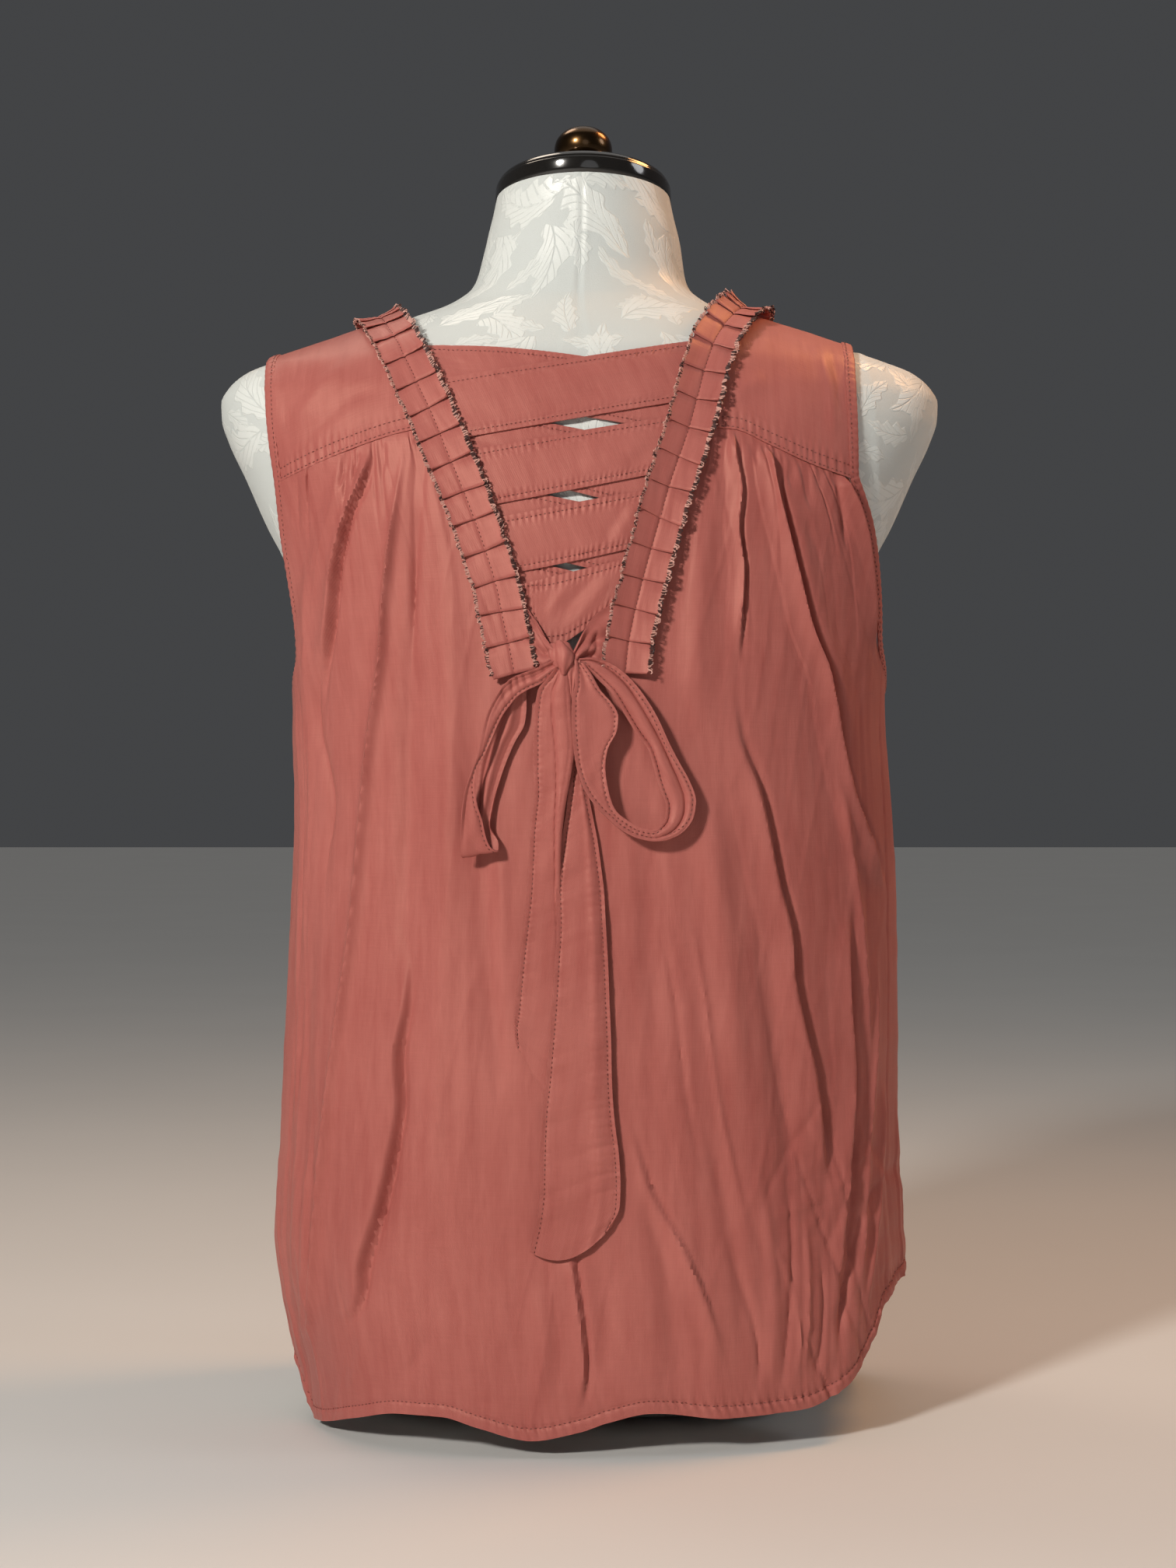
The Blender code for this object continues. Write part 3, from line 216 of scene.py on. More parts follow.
LOOP_LEFT = [
    (-0.0180, 0.4302, -0.0172, 0.4256, 0.0120, 0.0115),
    (-0.0277, 0.4268, -0.0252, 0.4206, 0.0130, 0.0120),
    (-0.0373, 0.4190, -0.0319, 0.4136, 0.0150, 0.0130),
    (-0.0444, 0.4060, -0.0377, 0.4023, 0.0165, 0.0145),
    (-0.0502, 0.3898, -0.0435, 0.3864, 0.0175, 0.0150),
    (-0.0552, 0.3716, -0.0485, 0.3687, 0.0180, 0.0155),
    (-0.0601, 0.3561, -0.0518, 0.3528, 0.0180, 0.0160),
    (-0.0633, 0.3394, -0.0510, 0.3386, 0.0170, 0.0165),
    (-0.0632, 0.3225, -0.0446, 0.3278, 0.0130, 0.0130),
    (-0.0590, 0.3392, -0.0487, 0.3409, 0.0085, 0.0085),
    (-0.0552, 0.3569, -0.0477, 0.3577, 0.0070, 0.0072),
    (-0.0510, 0.3716, -0.0435, 0.3729, 0.0065, 0.0070),
    (-0.0444, 0.3885, -0.0352, 0.3885, 0.0062, 0.0066),
    (-0.0373, 0.4031, -0.0295, 0.4010, 0.0060, 0.0064),
    (-0.0302, 0.4157, -0.0252, 0.4124, 0.0060, 0.0062),
    (-0.0227, 0.4222, -0.0205, 0.4190, 0.0062, 0.0062),
]
LOOP_RIGHT = [
    (0.0010, 0.4300, 0.0006, 0.4250, 0.0090, 0.0092),
    (0.0100, 0.4294, 0.0092, 0.4224, 0.0088, 0.0092),
    (0.0229, 0.4258, 0.0175, 0.4166, 0.0086, 0.0090),
    (0.0325, 0.4142, 0.0242, 0.4042, 0.0086, 0.0090),
    (0.0433, 0.3949, 0.0325, 0.3865, 0.0090, 0.0090),
    (0.0532, 0.3748, 0.0400, 0.3718, 0.0100, 0.0090),
    (0.0611, 0.3551, 0.0433, 0.3571, 0.0115, 0.0095),
    (0.0624, 0.3446, 0.0470, 0.3487, 0.0125, 0.0105),
    (0.0570, 0.3366, 0.0450, 0.3416, 0.0135, 0.0120),
    (0.0441, 0.3307, 0.0391, 0.3370, 0.0145, 0.0135),
    (0.0308, 0.3320, 0.0316, 0.3412, 0.0150, 0.0150),
    (0.0212, 0.3391, 0.0229, 0.3500, 0.0155, 0.0160),
    (0.0116, 0.3496, 0.0171, 0.3592, 0.0155, 0.0165),
    (0.0033, 0.3634, 0.0141, 0.3718, 0.0152, 0.0165),
    (-0.0001, 0.3822, 0.0183, 0.3856, 0.0150, 0.0165),
    (-0.0018, 0.3990, 0.0229, 0.3982, 0.0148, 0.0165),
    (-0.0026, 0.4116, 0.0128, 0.4108, 0.0146, 0.0160),
    (-0.0034, 0.4200, 0.0033, 0.4212, 0.0148, 0.0155),
]
TIE_LEFT = [
    (-0.0262, 0.4470, -0.0232, 0.4260, 0.0062, 0.0062),
    (-0.0225, 0.4445, -0.0210, 0.4266, 0.0074, 0.0074),
    (-0.0172, 0.4365, -0.0178, 0.4318, 0.0096, 0.0096),
]
TIE_RIGHT = [
    (0.0008, 0.4372, 0.0012, 0.4318, 0.0100, 0.0100),
    (0.0075, 0.4450, 0.0075, 0.4315, 0.0080, 0.0078),
    (0.0140, 0.4500, 0.0118, 0.4312, 0.0062, 0.0062),
]
KNOT_AT = (-0.0085, 0.4306, 0.0118)      # x, height, distance out
KNOT_HALF = (0.0068, 0.0054, 0.0085)     # half width, half depth, half height
# Turned profiles, radius and height: the neck cap (radius as a share of the
# neck) and the knob
CAP = [(1.000, 0.0), (1.018, 0.003), (1.015, 0.0075), (0.975, 0.0118), (0.90, 0.0140), (0.60, 0.0152), (0.30, 0.0155)]
KNOB = [(0.0105, 0.0), (0.0102, 0.003), (0.0140, 0.007), (0.0166, 0.0115), (0.0172, 0.0160),
        (0.0160, 0.0210), (0.0125, 0.0255), (0.0070, 0.0285)]
NECK_MIDDLE = 0.008     # the middle of the neck's top, forward of the axis
NECK_SHIFT = 0.0022     # the neck leans this far to the right


# ---------------------------------------------------------------- surfaces
def smooth(xs, ys, x):
    """A curve through the rows of a table, with no overshoot between them."""
    xs, ys, x = np.asarray(xs, float), np.asarray(ys, float), np.asarray(x, float)
    h = np.diff(xs)
    d = np.diff(ys) / h
    m = np.zeros_like(ys)
    for k in range(1, len(xs) - 1):
        if d[k - 1] * d[k] > 0:
            w1, w2 = 2 * h[k] + h[k - 1], h[k] + 2 * h[k - 1]
            m[k] = (w1 + w2) / (w1 / d[k - 1] + w2 / d[k])
    m[0], m[-1] = d[0], d[-1]
    i = np.clip(np.searchsorted(xs, x) - 1, 0, len(xs) - 2)
    t = np.clip((x - xs[i]) / h[i], 0, 1)
    return ((2 * t**3 - 3 * t**2 + 1) * ys[i] + (t**3 - 2 * t**2 + t) * h[i] * m[i]
            + (-2 * t**3 + 3 * t**2) * ys[i + 1] + (t**3 - t**2) * h[i] * m[i + 1])


class Skin:
    """A stack of rounded rings, wider or deeper on each side as its rows say."""

    def __init__(self, rows):
        columns = np.array(rows, float).T
        self.z, self.left, self.right, self.front, self.back, self.power = columns

    def sizes(self, z):
        return [smooth(self.z, c, z) for c in (self.left, self.right, self.front, self.back, self.power)]

    def ring(self, place, z, side=1):
        """A point on the back (side 1) or the front (side -1), -1 at the left and 1 at the right."""
        place, z = np.asarray(place, float), np.asarray(z, float)
        left, right, front, back, n = self.sizes(z)
        s, c = np.sin(place * math.pi / 2), np.cos(place * math.pi / 2)
        x = np.where(s < 0, left, right) * np.sign(s) * np.abs(s) ** (2 / n)
        y = -side * (back if side > 0 else front) * np.abs(c) ** (2 / n)
        return np.stack(np.broadcast_arrays(x, y, z), -1)

    def place(self, x, z):
        left, right, _, _, n = self.sizes(z)
        share = np.clip(np.abs(x) / np.where(x < 0, left, right), 0, 1)
        return np.sign(x) * np.arcsin(share ** (n / 2)) * 2 / math.pi

    def level(self, p):
        x, y, z = p[..., 0], p[..., 1], p[..., 2]
        left, right, front, back, n = self.sizes(z)
        return (np.abs(x) / np.where(x < 0, left, right)) ** n + (np.abs(y) / np.where(y > 0, front, back)) ** n - 1

    def slope(self, p, h=1e-4):
        steps = np.eye(3) * h
        return np.stack([(self.level(p + e) - self.level(p - e)) / (2 * h) for e in steps], -1)

    def normal(self, p):
        g = self.slope(p)
        return g / np.maximum(np.linalg.norm(g, axis=-1, keepdims=True), 1e-12)

    def settle(self, p, out=0.0):
        """The point of the surface nearest to p, then moved out along its normal."""
        p = np.array(p, float)
        for _ in range(6):
            g = self.slope(p)
            p = p - g * (self.level(p) / np.maximum((g**2).sum(-1), 1e-9))[..., None]
        return p + self.normal(p) * np.asarray(out, float)[..., None]

    def back_at(self, x, z):
        """The point of the back at x and z."""
        left, right, _, back, n = self.sizes(z)
        share = np.clip(np.abs(x) / np.where(np.asarray(x) < 0, left, right), 0, 0.9999)
        y = -back * (1 - share**n) ** (1 / n)
        return np.stack(np.broadcast_arrays(x, y, z), -1)

    def ridge(self, x):
        """Height of the shoulder ridge at x."""
        x = np.asarray(x, float)
        low, high = np.full(x.shape, 0.584), np.full(x.shape, 0.7025)
        for _ in range(40):
            middle = (low + high) / 2
            left, right = self.sizes(middle)[:2]
            inside = np.where(x < 0, left, right) > np.abs(x)
            low, high = np.where(inside, middle, low), np.where(inside, high, middle)
        return (low + high) / 2

    def slice(self, x, samples=160, depth=0.11):
        """The section of the surface at x over the shoulder: points from the back round to the front,
        and the distance of each along it from the ridge, negative at the back."""
        top = float(self.ridge(x))
        z = top - depth * np.linspace(1, 0, samples) ** 2
        left, right, front, back, n = self.sizes(z)
        share = np.clip(abs(x) / (left if x < 0 else right), 0, 1)
        rise = (1 - share**n) ** (1 / n)
        y = np.concatenate([-back * rise, (front * rise)[-2::-1]])
        z = np.concatenate([z, z[-2::-1]])
        run = np.concatenate([[0], np.cumsum(np.hypot(np.diff(y), np.diff(z)))])
        return y, z, run - run[samples - 1]

    def over_shoulder(self, x, along):
        y, z, run = self.slice(x)
        return np.array([x, np.interp(along, run, y), np.interp(along, run, z)])


FORM = Skin([(z, a, a, f, b, n) for z, a, f, b, n in TORSO + SHOULDERS])
SUPPORT = Skin(HANG + [(z, a, a, f, b, n) for z, a, f, b, n in SHOULDERS])


# ---------------------------------------------------------------- edges and panels
def even_curve(places, heights, side):
    p = SUPPORT.ring(np.array(places), np.array(heights), side)
    run = np.concatenate([[0], np.cumsum(np.linalg.norm(np.diff(p, axis=0), axis=1))])
    run /= run[-1]
    return lambda t: (smooth(run, places, t), smooth(run, heights, t))


def edge_curve(rows, side, sign, top=None):
    places, heights = [], []
    for half, z, place in rows:
        if half is not None:
            place = abs(float(SUPPORT.place(np.array(sign * half), np.array(z))))
        places.append(place * sign)
        heights.append(z)
    if top is not None:
        places.append(top[0])
        heights.append(top[1])
    return even_curve(places, heights, side)


def notch_curve(rows, side, top=None):
    x, z = [r[0] for r in rows], [r[1] for r in rows]
    places = [float(SUPPORT.place(np.array(a), np.array(b))) for a, b in zip(x, z)]
    if top is not None:
        places.append(top[0])
        z = z + [top[1]]
    return even_curve(places, z, side)


def line_table(rows):
    x, z = np.array(rows).T
    share = (x - x[0]) / (x[-1] - x[0])
    return lambda u: (x[0] + (x[-1] - x[0]) * u, smooth(share, z, u))


def as_place(table):
    def at(u):
        x, z = table(u)
        return float(SUPPORT.place(np.array(x), np.array(z))), float(z)
    return at


def panel(side, hem, arms, notches, tops, dip, counts, shares, bunch=1.0):
    """Base points of a body panel on the support, its normals, which cells are cloth, and for each point its place
    round the body and its height."""
    n_side, n_middle, n_low, n_high = counts
    hem_s, hem_z = np.array(hem).T
    columns, rows = 2 * n_side + n_middle + 1, n_low + n_high + 1
    S, Z = np.zeros((rows, columns)), np.zeros((rows, columns))
    u = np.arange(n_side + 1) / n_side
    index = [np.arange(n_side + 1), columns - 1 - np.arange(n_side + 1)]
    middle_s, middle_z = np.zeros(columns), np.zeros(columns)
    for k in (0, 1):
        (s0, z0), (s1, z1) = arms[k](0.0), notches[k](0.0)
        middle_s[index[k]] = s0 + (s1 - s0) * u
        middle_z[index[k]] = z0 + (z1 - z0) * u**2
    c = np.arange(1, n_middle) / n_middle
    a, b = n_side, n_side + n_middle
    middle_s[a + 1:b] = middle_s[a] + (middle_s[b] - middle_s[a]) * c
    middle_z[a + 1:b] = middle_z[a] * (1 - c) + middle_z[b] * c - dip * (1 - np.abs(2 * c - 1) ** 2)
    low = smooth(hem_s, hem_z, middle_s)
    f = shares[:, None]
    S[:n_low + 1], Z[:n_low + 1] = middle_s, low + (middle_z - low) * f
    top_at = [np.array([t(x) for x in u]) for t in tops]
    for j in range(n_low + 1, rows):
        f = 1 - (1 - (j - n_low) / n_high) ** bunch
        for k in (0, 1):
            (s0, z0), (s1, z1) = arms[k](f), notches[k](f)
            (sa, za), (sb, zb) = arms[k](1.0), notches[k](1.0)
            st, zt = top_at[k].T
            S[j, index[k]] = s0 + (s1 - s0) * u + f**2 * (st - (sa + (sb - sa) * u))
            Z[j, index[k]] = z0 + (z1 - z0) * (u**2 * (1 - f) + u * f) + f**2 * (zt - (za + (zb - za) * u))
    points = SUPPORT.ring(S * (1 - GAP / 0.5), Z, side)
    cells = np.ones((rows - 1, columns - 1), bool)
    cells[n_low:, a:b] = False
    return points, SUPPORT.normal(points), cells, S, Z


def yoke(rows, seam_points, n_back, n_front):
    """From the body's top edge up over the shoulder ridge to the shoulder seam."""
    share, arm_x, v_x = np.array(rows).T
    count = len(seam_points)
    grid = np.zeros((n_back + n_front + 1, count, 3))
    v = np.concatenate([np.arange(n_back + 1) / n_back, 1 + np.arange(1, n_front + 1) / n_front])
    for i, start in enumerate(seam_points):
        u = i / (count - 1)
        y, z, run = SUPPORT.slice(start[0], 90)
        half = len(run) // 2
        along0 = float(np.interp(start[2], z[:half + 1], run[:half + 1])) + GAP
        x = smooth(share, arm_x, v) * (1 - u) + smooth(share, v_x, v) * u
        x = x + (start[0] - arm_x[0] * (1 - u) - v_x[0] * u) * np.maximum(1 - v / 0.3, 0)
        along = np.where(v <= 1, along0 * (1 - v), FORWARD_SEAM * (v - 1))
        for j in range(len(v)):
            y, z, run = SUPPORT.slice(float(x[j]), 60)
            grid[j, i] = (x[j], np.interp(along[j], run, y), np.interp(along[j], run, z))
    return grid


# ---------------------------------------------------------------- meshes
def make(name, points, faces, material, uv=None, extra=None, angle=50, slots=None):
    mesh = bpy.data.meshes.new(name)
    mesh.from_pydata(np.asarray(points, float).tolist(), [], faces)
    mesh.shade_smooth()
    mesh.set_sharp_from_angle(angle=math.radians(angle))
    if uv is not None:
        corner = np.zeros(len(mesh.loops), np.int32)
        mesh.loops.foreach_get("vertex_index", corner)
        layer = mesh.uv_layers.new(name="cloth")
        layer.data.foreach_set("uv", np.asarray(uv, np.float32)[corner].ravel())
    for key, values in (extra or {}).items():
        mesh.attributes.new(key, "FLOAT", "POINT").data.foreach_set("value", np.asarray(values, np.float32).ravel())
    for one in material if isinstance(material, (list, tuple)) else [material]:
        mesh.materials.append(one)
    if slots is not None:
        mesh.polygons.foreach_set("material_index", np.asarray(slots, np.int32))
    made = bpy.data.objects.new(name, mesh)
    bpy.context.scene.collection.objects.link(made)
    return made


def inner_faces(cells, index):
    """Faces of the inner side of a wall: one to each block of four cells, and single cells along ragged edges."""
    rows, columns = cells.shape
    even = np.zeros((rows + rows % 2, columns + columns % 2), bool)
    even[:rows, :columns] = cells
    block = even[::2, ::2] & even[1::2, ::2] & even[::2, 1::2] & even[1::2, 1::2]
    pad = np.zeros((block.shape[0] + 2, block.shape[1] + 2), bool)
    pad[1:-1, 1:-1] = block
    faces = []
    for j, i in zip(*np.nonzero(block)):
        r, c = 2 * j, 2 * i
        face = [index[r, c]]
        if not pad[j, i + 1]:
            face.append(index[r, c + 1])
        face.append(index[r, c + 2])
        if not pad[j + 1, i + 2]:
            face.append(index[r + 1, c + 2])
        face.append(index[r + 2, c + 2])
        if not pad[j + 2, i + 1]:
            face.append(index[r + 2, c + 1])
        face.append(index[r + 2, c])
        if not pad[j + 1, i]:
            face.append(index[r + 1, c])
        faces.append([int(v) for v in face])
    single = cells & ~np.repeat(np.repeat(block, 2, 0), 2, 1)[:rows, :columns]
    for r, c in zip(*np.nonzero(single)):
        faces.append([int(v) for v in (index[r, c], index[r, c + 1], index[r + 1, c + 1], index[r + 1, c])])
    return faces


def shell(name, middle, normals, thick, material, cells=None, uv=None, extra=None, angle=50, coarse=False):
    """A closed thin wall over the cells of a grid. A coarse one has larger faces on its inner side."""
    rows, columns = middle.shape[:2]
    if cells is None:
        cells = np.ones((rows - 1, columns - 1), bool)
    thick = np.broadcast_to(np.asarray(thick, float), (rows, columns))[..., None]
    used = np.zeros((rows, columns), bool)
    for dj in (0, 1):
        for di in (0, 1):
            used[dj:rows - 1 + dj, di:columns - 1 + di] |= cells
    index = np.cumsum(used).reshape(used.shape) - 1
    count = int(used.sum())
    J, I = np.nonzero(cells)
    q = np.stack([index[J, I], index[J, I + 1], index[J + 1, I + 1], index[J + 1, I]], 1)
    faces = [q, q[:, ::-1] + count]
    padded = np.zeros((rows + 1, columns + 1), bool)
    padded[1:-1, 1:-1] = cells
    for dj, di, a, b in ((-1, 0, (0, 0), (0, 1)), (0, 1, (0, 1), (1, 1)), (1, 0, (1, 1), (1, 0)), (0, -1, (1, 0), (0, 0))):
        edge = cells & ~padded[1 + dj:rows + dj, 1 + di:columns + di]
        J, I = np.nonzero(edge)
        p, r = index[J + a[0], I + a[1]], index[J + b[0], I + b[1]]
        faces.append(np.stack([r, p, p + count, r + count], 1))
    faces = np.concatenate(faces)
    outer = (middle + normals * thick / 2)[used]
    inner = (middle - normals * thick / 2)[used]
    points = np.concatenate([outer, inner])
    t = np.concatenate([faces[:, (0, 1, 2)], faces[:, (0, 2, 3)]])
    volume = np.einsum("ij,ij->i", points[t[:, 0]], np.cross(points[t[:, 1]], points[t[:, 2]])).sum()
    if volume < 0:
        faces = faces[:, ::-1]
    twice = lambda a: np.concatenate([np.asarray(a)[used], np.asarray(a)[used]])
    if uv is None:
        du = np.linalg.norm(np.diff(middle, axis=1), axis=-1)
        dv = np.linalg.norm(np.diff(middle, axis=0), axis=-1)
        uv = np.stack([np.concatenate([np.zeros((rows, 1)), np.cumsum(du, 1)], 1),
                       np.concatenate([np.zeros((1, columns)), np.cumsum(dv, 0)], 0)], -1)
    extra = {k: twice(v) for k, v in (extra or {}).items()}
    faces, uv = faces.tolist(), twice(uv)
    if coarse:
        n = int(cells.sum())
        turned_back = volume < 0
        inner = [[v + count for v in (f if turned_back else f[::-1])] for f in inner_faces(cells, index)]
        faces = faces[:n] + inner + faces[2 * n:]
        kept = sorted({v for f in faces for v in f})
        order = {v: k for k, v in enumerate(kept)}
        faces = [[order[v] for v in f] for f in faces]
        points, uv = points[kept], uv[kept]
    return make(name, points, faces, material, uv, extra, angle)


def free_normals(grid):
    n = np.cross(np.gradient(grid, axis=1), np.gradient(grid, axis=0))
    return n / np.maximum(np.linalg.norm(n, axis=-1, keepdims=True), 1e-12)


def facing(grid, out):
    n = free_normals(grid)
    return np.where((n * out).sum(-1, keepdims=True) < 0, -n, n)


# ---------------------------------------------------------------- relief
EYE, FOCAL = np.array((0.005, -1.6, 0.362)), 3504.0


def seen_at(p):
    """Where a point shows in the 1512 x 2016 frame."""
    depth = p[..., 1] - EYE[1]
    return 756 + FOCAL * (p[..., 0] - EYE[0]) / depth, 1008 - FOCAL * (p[..., 2] - EYE[2]) / depth


def step(t):
    t = np.clip(t, 0, 1)
    return t * t * (3 - 2 * t)


def noise(x, y, seed):
    """Smooth noise from -1 to 1 with cells of size 1."""
    x, y = np.broadcast_arrays(np.asarray(x, float), np.asarray(y, float))
    table = np.random.RandomState(seed).rand(8192) * 2 - 1
    i, j = np.floor(x).astype(np.int64), np.floor(y).astype(np.int64)
    u, v = step(x - i), step(y - j)
    at = lambda a, b: table[((a * 73856093) ^ (b * 19349663)) & 8191]
    return ((at(i, j) * (1 - u) + at(i + 1, j) * u) * (1 - v) + (at(i, j + 1) * (1 - u) + at(i + 1, j + 1) * u) * v)


def rounded(line, count):
    """A smooth curve through the points of a line."""
    line = np.array(line, float)
    if len(line) == 2:
        return line[0] + (line[1] - line[0]) * np.linspace(0, 1, 3)[:, None]
    run = np.concatenate([[0], np.cumsum(np.linalg.norm(np.diff(line, axis=0), axis=1))])
    t = np.linspace(0, run[-1], count)
    slope = np.gradient(line, run, axis=0)
    i = np.clip(np.searchsorted(run, t) - 1, 0, len(run) - 2)
    h = (run[i + 1] - run[i])[:, None]
    s = ((t - run[i]) / (run[i + 1] - run[i]))[:, None]
    return ((2 * s**3 - 3 * s**2 + 1) * line[i] + (s**3 - 2 * s**2 + s) * h * slope[i]
            + (-2 * s**3 + 3 * s**2) * line[i + 1] + (s**3 - s**2) * h * slope[i + 1])


def line_field(x, y, line, reach):
    """Distance from a line, positive to the right of a line going down, and the share of the way along it."""
    d, t = np.full(x.shape, 1e6), np.zeros(x.shape)
    line = rounded(line, 4 * len(line))
    near = ((x > line[:, 0].min() - reach) & (x < line[:, 0].max() + reach)
            & (y > line[:, 1].min() - reach) & (y < line[:, 1].max() + reach))
    if not near.any():
        return d, t
    x, y = x[near], y[near]
    best, side, share = np.full(x.shape, 1e12), np.ones(x.shape), np.zeros(x.shape)
    run = np.concatenate([[0], np.cumsum(np.linalg.norm(np.diff(line, axis=0), axis=1))])
    for k in range(len(line) - 1):
        (ax, ay), (bx, by) = line[k], line[k + 1]
        ex, ey = bx - ax, by - ay
        s = np.clip(((x - ax) * ex + (y - ay) * ey) / (ex * ex + ey * ey), 0, 1)
        dx, dy = x - ax - s * ex, y - ay - s * ey
        r = dx * dx + dy * dy
        closer = r < best
        best = np.where(closer, r, best)
        side = np.where(closer, np.where(ey * dx - ex * dy >= 0, 1, -1), side)
        share = np.where(closer, (run[k] + s * (run[k + 1] - run[k])) / run[-1], share)
    d[near], t[near] = side * np.sqrt(best), share
    return d, t


def creases(x, y, table):
    """Sum of ridges and troughs: kind, half width, height, share that it takes to rise and to fade, line."""
    total = np.zeros(x.shape)
    for kind, width, height, rise, fade, line in table:
        d, t = line_field(x, y, line, width * 4)
        u = d / width
        ends = step(t / rise) * step((1 - t) / fade)
        if kind == "soft":
            f = np.exp(-u**2)
        elif kind == "sharp":
            f = np.exp(-np.abs(u) ** 1.25)
        elif kind == "lap":        # a fold that stands up to the line and drops behind it, on the right
            f = np.where(u < 0, np.exp(-np.abs(u / 2.0) ** 1.2), np.exp(-((u / 0.62) ** 2))) - 0.60 * np.exp(-(((u - 1.1) / 0.62) ** 2))
        else:                       # "pal": the same, dropping on the left
            f = np.where(u > 0, np.exp(-np.abs(u / 2.0) ** 1.2), np.exp(-((u / 0.62) ** 2))) - 0.60 * np.exp(-(((u + 1.1) / 0.62) ** 2))
        total += height * ends * np.where(np.abs(u) < 4, f, 0)
    return total


def finer(grid, count, axis):
    """A grid with more rows (axis 0) or columns (axis 1), on smooth curves through the old ones."""
    grid = np.moveaxis(np.asarray(grid, float), axis, 0)
    n = len(grid)
    t = np.linspace(0, n - 1, count)
    i = np.clip(t.astype(int), 0, n - 2)
    s = (t - i).reshape((-1,) + (1,) * (grid.ndim - 1))
    slope = np.gradient(grid, axis=0)
    made = ((2 * s**3 - 3 * s**2 + 1) * grid[i] + (s**3 - 2 * s**2 + s) * slope[i]
            + (-2 * s**3 + 3 * s**2) * grid[i + 1] + (s**3 - s**2) * slope[i + 1])
    return np.moveaxis(made, 0, axis)


# ---------------------------------------------------------------- materials
def node(tree, kind, links=None, **values):
    made = tree.nodes.new(kind)
    for key, value in values.items():
        if hasattr(made, key):
            setattr(made, key, value)
    for key, value in (links or {}).items():
        socket = made.inputs[key]
        if isinstance(value, bpy.types.NodeSocket):
            tree.links.new(value, socket)
        else:
            socket.default_value = value
    return made


def math_node(tree, operation, a, b=None, c=None, clamp=False):
    links = {0: a}
    if b is not None:
        links[1] = b
    if c is not None:
        links[2] = c
    made = node(tree, "ShaderNodeMath", links, operation=operation)
    made.use_clamp = clamp
    return made.outputs[0]


def mix_colour(tree, share, a, b):
    made = tree.nodes.new("ShaderNodeMix")
    made.data_type = "RGBA"
    for key, value in ((0, share), (6, a), (7, b)):
        if isinstance(value, bpy.types.NodeSocket):
            tree.links.new(value, made.inputs[key])
        else:
            made.inputs[key].default_value = value
    return made.outputs[2]


def shader(name):
    material = bpy.data.materials.new(name)
    material.use_nodes = True
    return material, material.node_tree, material.node_tree.nodes["Principled BSDF"]


def tint(colour, by):
    return tuple(c * by for c in colour) + (1.0,)


CLOTH_COLOUR = (0.380, 0.110, 0.094)


def cloth_material(name, colour=CLOTH_COLOUR, rough=0.44):
    material, tree, surface = shader(name)
    place = node(tree, "ShaderNodeTexCoord").outputs["Object"]
    uv = node(tree, "ShaderNodeUVMap", uv_map="cloth").outputs["UV"]
    drift = node(tree, "ShaderNodeTexNoise", {"Vector": place, "Scale": 9.0, "Detail": 3.0}).outputs["Fac"]
    thread = node(tree, "ShaderNodeMapping", {"Vector": uv, "Scale": (1500.0, 90.0, 1.0)}).outputs["Vector"]
    slub = node(tree, "ShaderNodeTexNoise", {"Vector": thread, "Scale": 1.0, "Detail": 2.0}).outputs["Fac"]
    across = node(tree, "ShaderNodeMapping", {"Vector": uv, "Scale": (60.0, 1100.0, 1.0)}).outputs["Vector"]
    weft = node(tree, "ShaderNodeTexNoise", {"Vector": across, "Scale": 1.0, "Detail": 2.0}).outputs["Fac"]
    streak = node(tree, "ShaderNodeMapping", {"Vector": uv, "Scale": (170.0, 22.0, 1.0)}).outputs["Vector"]
    streak = node(tree, "ShaderNodeTexNoise", {"Vector": streak, "Scale": 1.0, "Detail": 4.0, "Roughness": 0.6}).outputs["Fac"]
    # the base colour is mottled at random in tone, and lighter and darker streaks along the cloth are painted sheen of
    # the satin
    mottle_and_sheen_streaks = math_node(tree, "MULTIPLY_ADD", math_node(tree, "ADD", drift, streak), 1.9, -1.4, clamp=True)
    mottle_and_painted_sheen = mix_colour(tree, mottle_and_sheen_streaks, tint((colour[0] * 0.94, colour[1] * 0.80, colour[2] * 0.82), 0.88), tint((colour[0] * 1.05, colour[1] * 1.18, colour[2] * 1.18), 1.09))
    threads = math_node(tree, "ADD", slub, weft)
    share = math_node(tree, "MULTIPLY_ADD", threads, 0.9, -0.4, clamp=True)
    tinted = mix_colour(tree, share, tint(colour, 0.86), tint((colour[0] * 1.12, colour[1] * 1.16, colour[2] * 1.16), 1.0))
    final = mix_colour(tree, 0.45, mottle_and_painted_sheen, tinted)
    tree.links.new(final, surface.inputs["Base Color"])
    twill = node(tree, "ShaderNodeMapping", {"Vector": uv, "Rotation": (0.0, 0.0, 0.62)}).outputs["Vector"]
    weave = node(tree, "ShaderNodeTexWave", {"Vector": twill, "Scale": 520.0, "Distortion": 1.2, "Detail": 1.0}).outputs["Fac"]
    height = math_node(tree, "MULTIPLY_ADD", threads, 0.5, math_node(tree, "MULTIPLY", weave, 0.22))
    height = math_node(tree, "MULTIPLY_ADD", streak, 1.6, height)
    bump = node(tree, "ShaderNodeBump", {"Height": height, "Strength": 0.50, "Distance": 0.00028})
    tree.links.new(bump.outputs["Normal"], surface.inputs["Normal"])
    shine = math_node(tree, "MULTIPLY_ADD", drift, 0.10, rough - 0.05)
    tree.links.new(shine, surface.inputs["Roughness"])
    surface.inputs["Specular IOR Level"].default_value = 0.34
    surface.inputs["Specular Tint"].default_value = (1.0, 0.62, 0.48, 1.0)
    surface.inputs["Sheen Weight"].default_value = 0.08
    surface.inputs["Sheen Roughness"].default_value = 0.42
    surface.inputs["Sheen Tint"].default_value = (1.0, 0.58, 0.45, 1.0)
    return material


